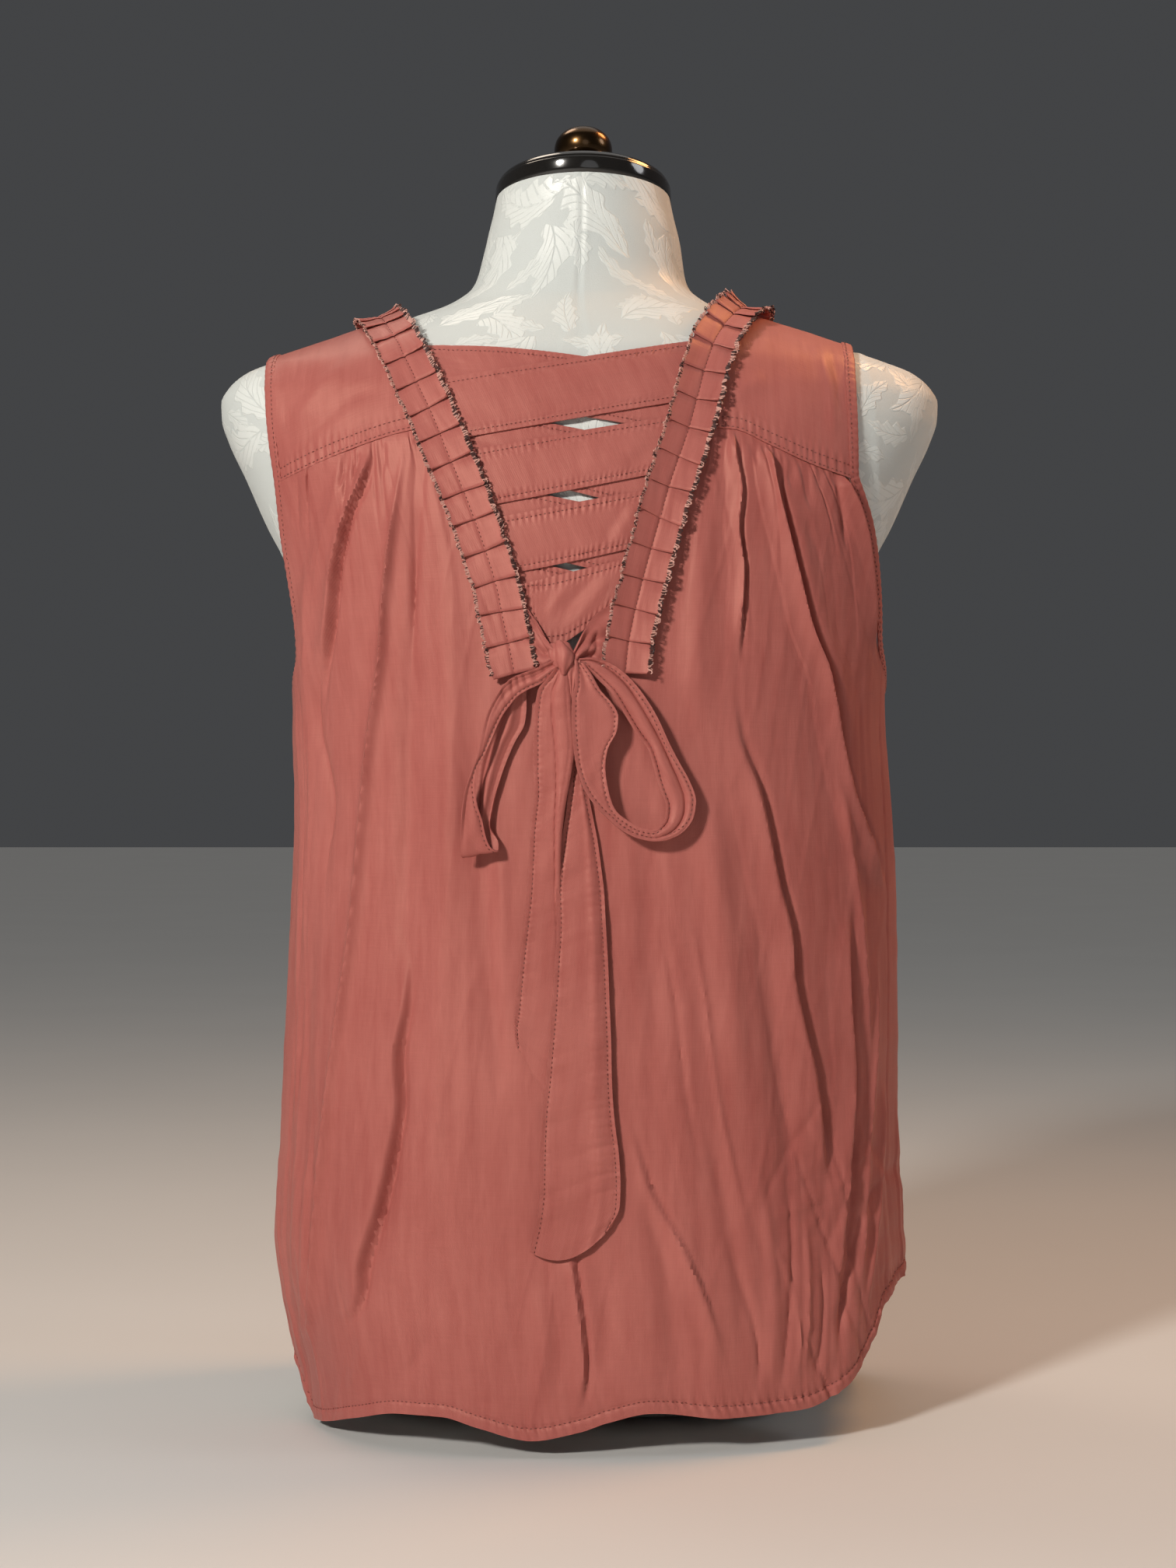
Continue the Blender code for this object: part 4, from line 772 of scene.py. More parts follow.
def plain_material(name, colour, rough, metallic=0.0, coat=0.0, grain=0.0, scale=400.0):
    material, tree, surface = shader(name)
    place = node(tree, "ShaderNodeTexCoord").outputs["Object"]
    spots = node(tree, "ShaderNodeTexNoise", {"Vector": place, "Scale": scale, "Detail": 3.0}).outputs["Fac"]
    tree.links.new(mix_colour(tree, spots, tint(colour, 0.82), tint(colour, 1.18)), surface.inputs["Base Color"])
    tree.links.new(math_node(tree, "MULTIPLY_ADD", spots, 0.12, rough - 0.06), surface.inputs["Roughness"])
    surface.inputs["Metallic"].default_value = metallic
    surface.inputs["Coat Weight"].default_value = coat
    surface.inputs["Coat Roughness"].default_value = 0.06
    if grain:
        bump = node(tree, "ShaderNodeBump", {"Height": spots, "Strength": grain, "Distance": 0.0003})
        tree.links.new(bump.outputs["Normal"], surface.inputs["Normal"])
    return material


def leaf_layer(tree, uv, scale, turn, length, width, seed):
    """Leaves strewn over the cloth, one to a cell, each turned its own way: a mask of the leaf, and its veins."""
    moved = node(tree, "ShaderNodeMapping", {"Vector": uv, "Location": (seed, seed * 1.7, 0.0), "Rotation": (0, 0, turn),
                                             "Scale": (scale, scale, 1.0)}).outputs["Vector"]
    cell = node(tree, "ShaderNodeTexVoronoi", {"Vector": moved, "Scale": 1.0, "Randomness": 0.75}, voronoi_dimensions="2D")
    offset = node(tree, "ShaderNodeVectorMath", {0: moved, 1: cell.outputs["Position"]}, operation="SUBTRACT").outputs[0]
    shade = node(tree, "ShaderNodeSeparateColor", {0: cell.outputs["Color"]})
    angle = math_node(tree, "MULTIPLY", shade.outputs[0], 6.2832)
    spun = node(tree, "ShaderNodeVectorRotate", {"Vector": offset, "Angle": angle}, rotation_type="Z_AXIS").outputs[0]
    parts = node(tree, "ShaderNodeSeparateXYZ", {0: spun})
    x = math_node(tree, "DIVIDE", parts.outputs[0], length)
    bend = math_node(tree, "MULTIPLY", math_node(tree, "MULTIPLY", x, x), 0.16)
    y = math_node(tree, "ADD", parts.outputs[1], math_node(tree, "SUBTRACT", bend, 0.05))
    reach = math_node(tree, "SUBTRACT", 1.0, math_node(tree, "MULTIPLY", x, x), clamp=True)
    skew = math_node(tree, "MULTIPLY_ADD", x, -0.35, 1.0)
    # lobes cut into the leaf's edge
    lobes = math_node(tree, "MULTIPLY_ADD", math_node(tree, "SINE", math_node(tree, "MULTIPLY", x, 15.0)), 0.18, 0.9)
    half = math_node(tree, "MULTIPLY", math_node(tree, "MULTIPLY", math_node(tree, "MULTIPLY", reach, skew), lobes), width)
    away = math_node(tree, "ABSOLUTE", y)
    inside = math_node(tree, "MULTIPLY", math_node(tree, "SUBTRACT", half, away), 45.0, clamp=True)
    rib = math_node(tree, "SUBTRACT", 1.0, math_node(tree, "MULTIPLY", away, 60.0), clamp=True)
    slant = math_node(tree, "MULTIPLY_ADD", away, -3.2, x)
    veins = math_node(tree, "SUBTRACT", math_node(tree, "ABSOLUTE", math_node(tree, "SINE", math_node(tree, "MULTIPLY", slant, 11.0))), 0.12)
    veins = math_node(tree, "SUBTRACT", 1.0, math_node(tree, "MULTIPLY", veins, 5.0), clamp=True)
    cut = math_node(tree, "MAXIMUM", rib, math_node(tree, "MULTIPLY", veins, 0.7))
    return math_node(tree, "MULTIPLY", inside, math_node(tree, "SUBTRACT", 1.0, cut, clamp=True))


def damask_material(name):
    material, tree, surface = shader(name)
    uv = node(tree, "ShaderNodeUVMap", uv_map="cloth").outputs["UV"]
    place = node(tree, "ShaderNodeTexCoord").outputs["Object"]
    wander = node(tree, "ShaderNodeTexNoise", {"Vector": place, "Scale": 28.0, "Detail": 1.0}).outputs["Color"]
    wander = node(tree, "ShaderNodeVectorMath", {0: wander, "Scale": 0.010}, operation="SCALE").outputs[0]
    uv = node(tree, "ShaderNodeVectorMath", {0: uv, 1: wander}, operation="ADD").outputs[0]
    big = leaf_layer(tree, uv, 21.0, 0.4, 0.62, 0.27, 0.31)
    small = leaf_layer(tree, uv, 33.0, 1.3, 0.60, 0.22, 1.83)
    motif = math_node(tree, "MAXIMUM", big, math_node(tree, "MULTIPLY", small, 0.8))
    fibre = node(tree, "ShaderNodeTexNoise", {"Vector": place, "Scale": 1300.0, "Detail": 1.0}).outputs["Fac"]
    drift = node(tree, "ShaderNodeTexNoise", {"Vector": place, "Scale": 11.0, "Detail": 2.0}).outputs["Fac"]
    ground = mix_colour(tree, drift, (0.52, 0.555, 0.545, 1), (0.58, 0.61, 0.595, 1))
    tree.links.new(mix_colour(tree, motif, ground, (0.68, 0.71, 0.69, 1)), surface.inputs["Base Color"])
    tree.links.new(math_node(tree, "MULTIPLY_ADD", motif, -0.26, 0.62), surface.inputs["Roughness"])
    height = math_node(tree, "MULTIPLY_ADD", fibre, 0.35, motif)
    bump = node(tree, "ShaderNodeBump", {"Height": height, "Strength": 0.5, "Distance": 0.0006})
    tree.links.new(bump.outputs["Normal"], surface.inputs["Normal"])
    surface.inputs["Sheen Weight"].default_value = 0.10
    return material


# ---------------------------------------------------------------- floor, light, camera
def stage():
    floor_look, tree, surface = shader("floor_paper")
    place = node(tree, "ShaderNodeTexCoord").outputs["Object"]
    mottle = node(tree, "ShaderNodeTexNoise", {"Vector": place, "Scale": 3.0, "Detail": 4.0}).outputs["Fac"]
    tree.links.new(mix_colour(tree, mottle, (0.60, 0.60, 0.59, 1), (0.64, 0.64, 0.63, 1)), surface.inputs["Base Color"])
    surface.inputs["Roughness"].default_value = 0.75
    size = 14.0
    floor = make("floor", np.array([(-size, -size, -0.0005), (size, -size, -0.0005), (size, size, -0.0005), (-size, size, -0.0005)]),
                 [(0, 1, 2, 3)], floor_look)
    world = bpy.data.worlds.new("studio")
    world.use_nodes = True
    world.node_tree.nodes["Background"].inputs[0].default_value = (0.80, 0.82, 0.86, 1)
    world.node_tree.nodes["Background"].inputs[1].default_value = 0.07
    bpy.context.scene.world = world

    def lamp(name, at, aim, size, power, colour):
        light = bpy.data.lights.new(name, "AREA")
        light.shape, light.size, light.energy, light.color = "DISK", size, power, colour
        made = bpy.data.objects.new(name, light)
        made.location = at
        way = mathutils.Vector(aim) - mathutils.Vector(at)
        made.rotation_euler = way.to_track_quat("-Z", "Y").to_euler()
        bpy.context.scene.collection.objects.link(made)

    lamp("key", (-1.28, -2.05, 1.45), (0, 0, 0.36), 0.32, 62.0, (1.0, 0.95, 0.88))
    lamp("front", (0.35, -2.3, 0.95), (0, 0, 0.36), 1.0, 1.6, (0.97, 0.98, 1.0))
    lamp("side", (1.5, -0.25, 1.25), (0.2, 0, 0.58), 0.5, 3.1, (0.98, 0.98, 1.0))
    lamp("warm", (0.80, 0.30, 1.50), (0.09, 0, 0.58), 0.45, 9.5, (1.0, 0.48, 0.18))
    lamp("top", (-0.6, 0.5, 1.9), (-0.05, 0, 0.55), 0.6, 5.0, (1.0, 0.84, 0.68))
    over = bpy.data.lights.new("overhead", "SUN")
    over.energy, over.angle, over.color = 0.50, math.radians(60), (1.0, 0.97, 0.93)
    made = bpy.data.objects.new("overhead", over)
    made.rotation_euler = (math.radians(-14), 0, 0)
    bpy.context.scene.collection.objects.link(made)
    lens = bpy.data.cameras.new("camera")
    lens.sensor_fit, lens.sensor_width, lens.lens = "AUTO", 36.0, FOCAL * 36.0 / 2016
    lens.clip_start = 0.02
    camera = bpy.data.objects.new("camera", lens)
    camera.location, camera.rotation_euler = tuple(EYE), (math.pi / 2, 0, 0)
    bpy.context.scene.collection.objects.link(camera)
    bpy.context.scene.camera = camera
    bpy.context.scene.view_settings.view_transform = "Standard"


# ---------------------------------------------------------------- the body of the blouse
# Folds of the back, by the place at which they show in the photograph's frame
BACK_FOLDS = [
    # left of the V
    ("lap", 5.4, 2.7, 0.10, 0.35, [(478, 580), (470, 615), (452, 655), (437, 715), (428, 805), (421, 850), (416, 939)]),
    ("sharp", 5, -1.8, 0.2, 0.3, [(430, 790), (421, 850), (416, 939), (425, 985), (432, 1038), (425, 1085), (423, 1180)]),
    ("sharp", 5, 2.79, 0.12, 0.10, [(523, 566), (511, 648), (499, 763), (493, 858), (481, 954), (468, 1100), (457, 1216), (445, 1295),
                                    (431, 1394), (419, 1500), (411, 1605), (405, 1696), (394, 1760)]),
    ("sharp", 5, -1.97, 0.04, 0.4, [(543, 564), (539, 640), (534, 760), (530, 880)]),
    ("soft", 12.8, -1.5, 0.3, 0.4, [(533, 760), (530, 880), (527, 999), (524, 1117), (524, 1275), (520, 1340)]),
    ("lap", 8.1, 2.3, 0.30, 0.12, [(527, 1200), (520, 1300), (509, 1360), (510, 1414), (498, 1495), (482, 1565), (464, 1625), (459, 1678), (440, 1705)]),
    ("soft", 15.3, -1.95, 0.35, 0.2, [(520, 1300), (516, 1400), (506, 1495), (492, 1570), (474, 1640), (464, 1700)]),
    ("soft", 22.1, 1.8, 0.3, 0.3, [(560, 600), (575, 760), (580, 900), (575, 1100), (570, 1300), (560, 1500), (555, 1700)]),
    ("sharp", 3.1, -0.74, 0.1, 0.5, [(386, 610), (387, 650), (392, 695)]),
    ("soft", 10.2, 1.2, 0.1, 0.3, [(452, 590), (428, 660), (404, 760), (397, 900), (395, 1050)]),
    ("sharp", 4.3, 0.98, 0.3, 0.3, [(398, 700), (404, 860), (409, 1010), (404, 1150), (398, 1300)]),
    ("soft", 7.6, -0.98, 0.3, 0.3, [(412, 1150), (400, 1300), (394, 1450), (390, 1600)]),
    ("sharp", 3, 0.82, 0.2, 0.2, [(401, 1460), (396, 1560), (395, 1660), (394, 1750)]),
    ("sharp", 3, -0.82, 0.2, 0.2, [(407, 1420), (402, 1520), (400, 1640), (402, 1740)]),
    ("sharp", 3, 0.66, 0.2, 0.2, [(389, 1500), (384, 1600), (385, 1700)]),
    ("soft", 6.8, 0.68, 0.3, 0.3, [(452, 1790), (468, 1745), (470, 1700)]),
    ("soft", 7.6, -0.6, 0.3, 0.3, [(508, 1780), (535, 1755), (560, 1700)]),
    # middle, beside and below the tails
    ("soft", 13.6, -0.98, 0.3, 0.3, [(606, 900), (612, 1040), (623, 1157), (630, 1275), (640, 1360), (640, 1480)]),
    ("soft", 11.9, 0.75, 0.3, 0.3, [(646, 1060), (655, 1200), (662, 1320)]),
    ("soft", 18.7, 1.05, 0.3, 0.3, [(600, 1180), (600, 1340), (596, 1500), (590, 1660)]),
    ("lap", 6.8, 1.64, 0.25, 0.25, [(728, 1560), (734, 1620), (741, 1667), (748, 1722), (750, 1765), (741, 1822)]),
    ("soft", 17, -0.9, 0.3, 0.3, [(770, 1600), (778, 1690), (772, 1790)]),
    ("soft", 11.9, 0.75, 0.3, 0.3, [(690, 1640), (700, 1720), (690, 1810)]),
    # right of the V
    ("sharp", 3.1, -1.31, 0.05, 0.5, [(926, 552), (924, 580), (920, 625)]),
    ("lap", 4.3, 2.0, 0.08, 0.30, [(943, 556), (943, 580), (951, 629), (947, 671), (953, 732), (950, 793), (948, 860)]),
    ("sharp", 3, -0.98, 0.05, 0.5, [(971, 567), (971, 580), (971, 600)]),
    ("lap", 5.6, 2.95, 0.04, 0.12, [(987, 573), (994, 625), (1011, 698), (1026, 763), (1038, 812), (1056, 860), (1064, 900), (1072, 950),
                                  (1090, 1030), (1112, 1090), (1132, 1150)]),
    ("soft", 11.9, 1.12, 0.2, 0.3, [(1004, 600), (1026, 690), (1044, 770), (1068, 850), (1086, 930), (1104, 1010)]),
    ("sharp", 3.1, -1.07, 0.05, 0.5, [(1003, 588), (1004, 610), (1003, 640)]),
    ("sharp", 3.1, -1.07, 0.05, 0.5, [(1018, 592), (1015, 612), (1014, 630)]),
    ("sharp", 3.1, -1.64, 0.05, 0.4, [(1032, 596), (1036, 625), (1038, 655)]),
    ("sharp", 3, -0.98, 0.05, 0.5, [(1053, 602), (1052, 618), (1053, 632)]),
    ("sharp", 3.1, -1.56, 0.05, 0.4, [(1069, 606), (1078, 644), (1082, 675), (1085, 712)]),
    ("lap", 5, 2.3, 0.05, 0.35, [(1080, 612), (1096, 645), (1106, 680), (1112, 725), (1116, 780), (1120, 860)]),
    ("soft", 17, 1.35, 0.2, 0.4, [(905, 640), (900, 740), (895, 860), (900, 980)]),
    ("lap", 8.7, 2.46, 0.25, 0.15, [(938, 880), (948, 955), (968, 1010), (982, 1070), (995, 1137), (1010, 1196), (1014, 1256), (1026, 1315),
                                   (1040, 1374), (1050, 1453), (1056, 1530)]),
    ("soft", 20.4, 1.65, 0.25, 0.3, [(900, 1000), (915, 1100), (930, 1220), (940, 1340), (950, 1460)]),
    ("soft", 13.6, -1.2, 0.3, 0.3, [(975, 1150), (985, 1250), (1000, 1360), (1010, 1460), (1020, 1580)]),
    ("sharp", 5, 1.64, 0.2, 0.3, [(1066, 980), (1085, 1080), (1100, 1180), (1108, 1290), (1112, 1400)]),
    ("lap", 5.6, 1.97, 0.2, 0.2, [(1088, 1150), (1084, 1260), (1090, 1370), (1086, 1470), (1078, 1580), (1070, 1700)]),
    ("sharp", 3.7, 1.48, 0.2, 0.2, [(1120, 1210), (1118, 1330), (1112, 1440), (1106, 1560), (1100, 1680)]),
    ("sharp", 3.7, -1.48, 0.2, 0.2, [(1100, 1420), (1094, 1520), (1088, 1620), (1072, 1740)]),
    ("sharp", 3.1, 1.31, 0.2, 0.2, [(1130, 1380), (1127, 1480), (1120, 1580), (1108, 1690)]),
    ("soft", 11, 1.12, 0.3, 0.3, [(869, 1556), (895, 1654), (915, 1724), (920, 1780)]),
    ("soft", 13.6, -0.98, 0.3, 0.3, [(830, 1500), (850, 1610), (862, 1700), (866, 1790)]),
    ("soft", 10.2, -0.9, 0.3, 0.3, [(905, 1420), (925, 1520), (948, 1640), (960, 1760)]),
    ("soft", 8.5, 0.98, 0.3, 0.2, [(965, 1480), (985, 1580), (992, 1690), (988, 1790)]),
    ("sharp", 3.7, -1.07, 0.3, 0.2, [(1008, 1500), (1016, 1600), (1012, 1700), (1002, 1790)]),
    ("sharp", 3.7, 1.15, 0.3, 0.2, [(1032, 1560), (1036, 1660), (1030, 1770)]),
    ("sharp", 3.1, -1.15, 0.3, 0.2, [(1052, 1600), (1056, 1690), (1046, 1775)]),
    ("soft", 17, -0.98, 0.3, 0.3, [(820, 960), (832, 1100), (838, 1240), (850, 1380)]),
    # crossing creases low on the right
    ("sharp", 3.4, 0.55, 0.2, 0.3, [(1120, 1466), (1092, 1500), (1067, 1528), (1020, 1552), (964, 1577)]),
    ("sharp", 3.2, -0.55, 0.2, 0.3, [(1046, 1400), (1036, 1440), (1018, 1470), (1000, 1500), (985, 1530), (968, 1577)]),
    ("sharp", 3.2, 0.55, 0.2, 0.3, [(1027, 1425), (1050, 1470), (1063, 1528), (1060, 1600)]),
    ("sharp", 3.2, -0.5, 0.2, 0.3, [(1112, 1462), (1084, 1505), (1074, 1560), (1052, 1620)]),
    ("sharp", 3.0, -0.9, 0.2, 0.2, [(1132, 1500), (1104, 1560), (1088, 1640), (1076, 1720)]),
    ("sharp", 3.0, 0.9, 0.2, 0.2, [(990, 1590), (1010, 1640), (1024, 1700), (1022, 1770)]),
    ("sharp", 3.4, -0.9, 0.3, 0.3, [(940, 1620), (962, 1680), (975, 1740), (970, 1800)]),
    ("lap", 5.0, 1.1, 0.3, 0.3, [(804, 1429), (837, 1536), (870, 1594), (903, 1668), (927, 1742)]),
    ("sharp", 3.4, -0.8, 0.3, 0.3, [(848, 1180), (868, 1290), (880, 1400), (902, 1500)]),
    ("sharp", 3.4, 0.8, 0.3, 0.3, [(880, 1150), (904, 1280), (918, 1390), (940, 1500), (958, 1590)]),
    ("sharp", 3.2, -0.9, 0.1, 0.4, [(444, 588), (444, 606), (440, 630)]),
    ("sharp", 3.2, -0.9, 0.1, 0.4, [(464, 584), (462, 604), (456, 622)]),
    ("sharp", 3.2, -0.8, 0.1, 0.4, [(495, 572), (496, 590), (494, 612)]),
]


def back_relief(base, S, Z, U, half):
    """Height of the cloth over its even hang, in metres. U is the share of the way from armhole to V."""
    px, py = seen_at(base)
    total = 1.9 * creases(px, py, BACK_FOLDS)
    total += 0.80 * noise(px / 46, py / 360, 3) + 0.16 * noise(px / 15, py / 170, 4)
    # thin creases that wander and cross, most of them low on the right and along the left side
    low = step((py - 1250) / 350) * step((px - 930) / 130)
    left = step((py - 1150) / 350) * step((440 - px) / 40)
    thin = lambda n, w: np.maximum(0, 1 - np.abs(n) / w)
    total += (0.26 + 0.95 * low + 0.50 * left) * thin(noise((px + 0.16 * (py - 1500)) / 34, py / 290, 5), 0.15)
    total -= (0.26 + 0.95 * low + 0.50 * left) * thin(noise((px - 0.26 * (py - 1500)) / 42, py / 240, 6), 0.14)
    total += 0.55 * low * thin(noise((0.8 * px + 0.75 * py) / 46, (0.8 * py - 0.7 * px) / 210, 17), 0.14)
    total -= 0.45 * low * thin(noise(px / 17, py / 330, 18), 0.20)
    x = base[..., 0]
    seam = np.where(x < 0, smooth(*np.array(SEAM_LEFT).T, x), smooth(*np.array(SEAM_RIGHT)[::-1].T, x))
    behind = step((px - 640) / 20) * step((806 - px) / 20) * step((py - 850) / 20) * step((1640 - py) / 30)
    total = np.where(total > 0, total * (1 - 0.75 * behind), total)
    crushed = 0.10 * noise(px / 5, py / 55, 8) + 0.13 * noise((px + 0.4 * py) / 11, py / 17, 9)
    crushed += 0.16 * (0.4 - np.abs(noise((px - 0.35 * py) / 19, (py + px) / 46, 10)))
    total += crushed * (0.7 + 1.3 * step((px - 930) / 120) * step((py - 1250) / 300) + 0.5 * step((430 - px) / 40))
    below = np.maximum(seam - Z, 0)
    over = half * step((U - 0.04) / 0.16)
    run = np.where(x < 0, U * 12.5 + 3.3, U * 15.5 + 40.7)
    gather = 0.35 - 1.9 * thin(noise(run, below / 0.09, 7), 0.22) + 0.35 * noise(run * 1.7, below / 0.05, 11)
    total += over * gather * (1 - np.exp(-below / 0.0015)) * (1.0 * np.exp(-below / 0.012) + 0.45 * np.exp(-below / 0.05))
    # the sides, out of the camera's sight, fall in the same kind of folds
    aside = step((np.abs(S) - 0.60) / 0.16) * step((0.47 - Z) / 0.10)
    total += aside * (2.3 * noise(S * 11.0 + 0.3, Z / 0.8, 19) + 1.1 * thin(noise(S * 17.0 + Z * 2.0, Z / 0.30, 20), 0.2)
                      - 1.0 * thin(noise(S * 14.0 - Z * 2.6, Z / 0.26, 22), 0.2))
    total *= 1 - 0.75 * step((np.abs(S) - 0.90) / 0.1)
    return total / 1000


# Folds of the front: sideways and downwards in a frame like the photograph's, seen through the garment
FRONT_FOLDS = [
    ("lap", 7, 2.4, 0.10, 0.25, [(486, 600), (470, 700), (452, 840), (444, 980), (430, 1120), (424, 1260)]),
    ("soft", 16, 2.2, 0.25, 0.20, [(520, 760), (512, 920), (498, 1100), (486, 1300), (470, 1500), (462, 1680)]),
    ("lap", 9, 2.6, 0.25, 0.15, [(566, 1020), (560, 1180), (548, 1340), (540, 1500), (522, 1650), (518, 1760)]),
    ("soft", 20, -2.2, 0.3, 0.2, [(612, 900), (616, 1080), (608, 1260), (604, 1440), (598, 1640)]),
    ("pal", 8, 2.0, 0.25, 0.2, [(676, 1180), (684, 1320), (680, 1460), (694, 1600), (700, 1740)]),
    ("soft", 22, 2.0, 0.3, 0.3, [(742, 820), (750, 1000), (744, 1200), (756, 1400)]),
    ("lap", 8, 1.9, 0.3, 0.15, [(806, 1100), (800, 1260), (816, 1420), (812, 1580), (826, 1750)]),
    ("soft", 17, -1.9, 0.3, 0.2, [(866, 900), (874, 1080), (882, 1260), (880, 1460), (896, 1660)]),
    ("pal", 9, 2.7, 0.2, 0.2, [(936, 960), (948, 1120), (958, 1290), (976, 1460), (984, 1620), (1000, 1760)]),
    ("soft", 15, 2.0, 0.2, 0.25, [(1000, 700), (1008, 860), (1022, 1040), (1034, 1220), (1046, 1400)]),
    ("pal", 7, 2.5, 0.08, 0.25, [(1024, 600), (1042, 720), (1058, 860), (1070, 1000), (1088, 1150), (1092, 1300)]),
    ("sharp", 5, -1.4, 0.1, 0.4, [(452, 590), (446, 640), (440, 700)]),
    ("sharp", 5, -1.4, 0.1, 0.4, [(504, 585), (506, 650), (500, 730)]),
    ("sharp", 5, -1.4, 0.1, 0.4, [(1002, 585), (1006, 640), (1012, 710)]),
    ("sharp", 5, -1.4, 0.1, 0.4, [(1066, 590), (1072, 650), (1080, 720)]),
]


def front_relief(base, S, Z):
    lower = step((0.50 - Z) / 0.30)
    thin = lambda n, w: np.maximum(0, 1 - np.abs(n) / w)
    total = 1.3 * creases(756 + base[..., 0] * 2190, 1008 - (Z - 0.362) * 2190, FRONT_FOLDS)
    total += lower * (2.4 * noise(S * 6.5 + 0.4, Z / 0.9, 12) + 0.8 * noise(S * 15.0, Z / 0.5, 13))
    total += (0.3 + 0.7 * lower) * (0.8 * thin(noise(S * 13.0 + Z * 1.4, Z / 0.28, 23), 0.16) - 0.8 * thin(noise(S * 12.0 - Z * 2.2, Z / 0.24, 24), 0.16))
    total += 0.3 * noise(S * 40, Z / 0.16, 14)
    total += 0.8 * step((Z - 0.50) / 0.06) * noise(S * 55, Z / 0.10, 15) * (1 - step((Z - 0.60) / 0.02))
    total *= 1 - 0.8 * step((np.abs(S) - 0.88) / 0.12)
    return total / 1000


def hem_finish(shares, above, along, seed):
    """Wall thickness and small relief near a hem folded up 6.5 mm and stitched, above it in metres."""
    h = above * 1000
    ribs = np.sin(2 * math.pi * (along + above * 0.45) / 0.0052 + 2.2 * noise(along / 0.02, 0, seed))
    strength = 0.55 + 0.45 * noise(along / 0.05, 3, seed + 1)
    relief = 0.85 * strength * ribs * np.exp(-((h - 5.8) / 4.6) ** 2) - 0.55 * np.exp(-((h - 6.5) / 1.2) ** 2)
    relief += 0.5 * noise(along / 0.018, h / 40, seed + 2) * np.exp(-h / 14)
    thick = 0.0008 + 0.0007 * (1 - step((h - 5.6) / 1.4))
    return thick, relief / 1000


def clear_of_form(base, normals, S, Z, side, height):
    """Keeps the cloth's inner face over a millimetre clear of the form."""
    inside = FORM.ring(S, Z, side)
    space = ((base - inside) * normals).sum(-1)
    floor = -(space + BODY_OUT - 0.0022)
    return np.maximum(height, floor)


def run_along(points):
    return np.concatenate([[0], np.cumsum(np.linalg.norm(np.diff(points, axis=0), axis=1))])


def low_shares(count):
    edge = np.linspace(0, 0.0095 / 0.42, 9)
    return np.concatenate([edge[:-1], np.linspace(edge[-1], 1, count - 7)])


STITCHES = []


def stitch(path, normals, pitch=0.0028, length=0.0019, proud=0.00018):
    """Notes a row of machine stitches along a path."""
    path, normals = np.asarray(path), np.asarray(normals)
    run = run_along(path)
    count = max(int(run[-1] / pitch), 1)
    at = (np.arange(count) + 0.5) * run[-1] / count
    where = np.stack([np.interp(at, run, path[:, k]) for k in range(3)], -1)
    ahead = np.stack([np.interp(at + 0.0006, run, path[:, k]) - np.interp(at - 0.0006, run, path[:, k]) for k in range(3)], -1)
    up = np.stack([np.interp(at, run, normals[:, k]) for k in range(3)], -1)
    STITCHES.append((where + up * proud, ahead, up, length))


def stitches(material):
    points, faces = [], []
    for where, ahead, up, length in STITCHES:
        ahead = ahead / np.maximum(np.linalg.norm(ahead, axis=1, keepdims=True), 1e-9)
        up = up / np.maximum(np.linalg.norm(up, axis=1, keepdims=True), 1e-9)
        side = np.cross(ahead, up)
        r = 0.00036
        for p, a, u, s in zip(where, ahead, up, side):
            k = len(points)
            points += [p - a * length / 2 - u * 0.0001, p + s * r, p + u * r, p - s * r, p - u * r, p + a * length / 2 - u * 0.0001]
            faces += [(k, k + 1, k + 2), (k, k + 2, k + 3), (k, k + 3, k + 4), (k, k + 4, k + 1),
                      (k + 5, k + 2, k + 1), (k + 5, k + 3, k + 2), (k + 5, k + 4, k + 3), (k + 5, k + 1, k + 4)]
    return make("topstitching", np.array(points), faces, material, angle=80)


def level_line(above, grid, value):
    """A line across a grid at one height above its hem."""
    return np.array([[np.interp(value, above[:, i], grid[:, i, k]) for k in range(3)] for i in range(above.shape[1])])


def row_at(shares, grid, value):
    """The row of a grid at a share between two of its rows."""
    k = int(np.clip(np.searchsorted(shares, value) - 1, 0, len(shares) - 2))
    t = (value - shares[k]) / (shares[k + 1] - shares[k])
    return grid[k] * (1 - t) + grid[k + 1] * t


def declare(piece, nodes):
    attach(piece, "root")
    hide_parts(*nodes)


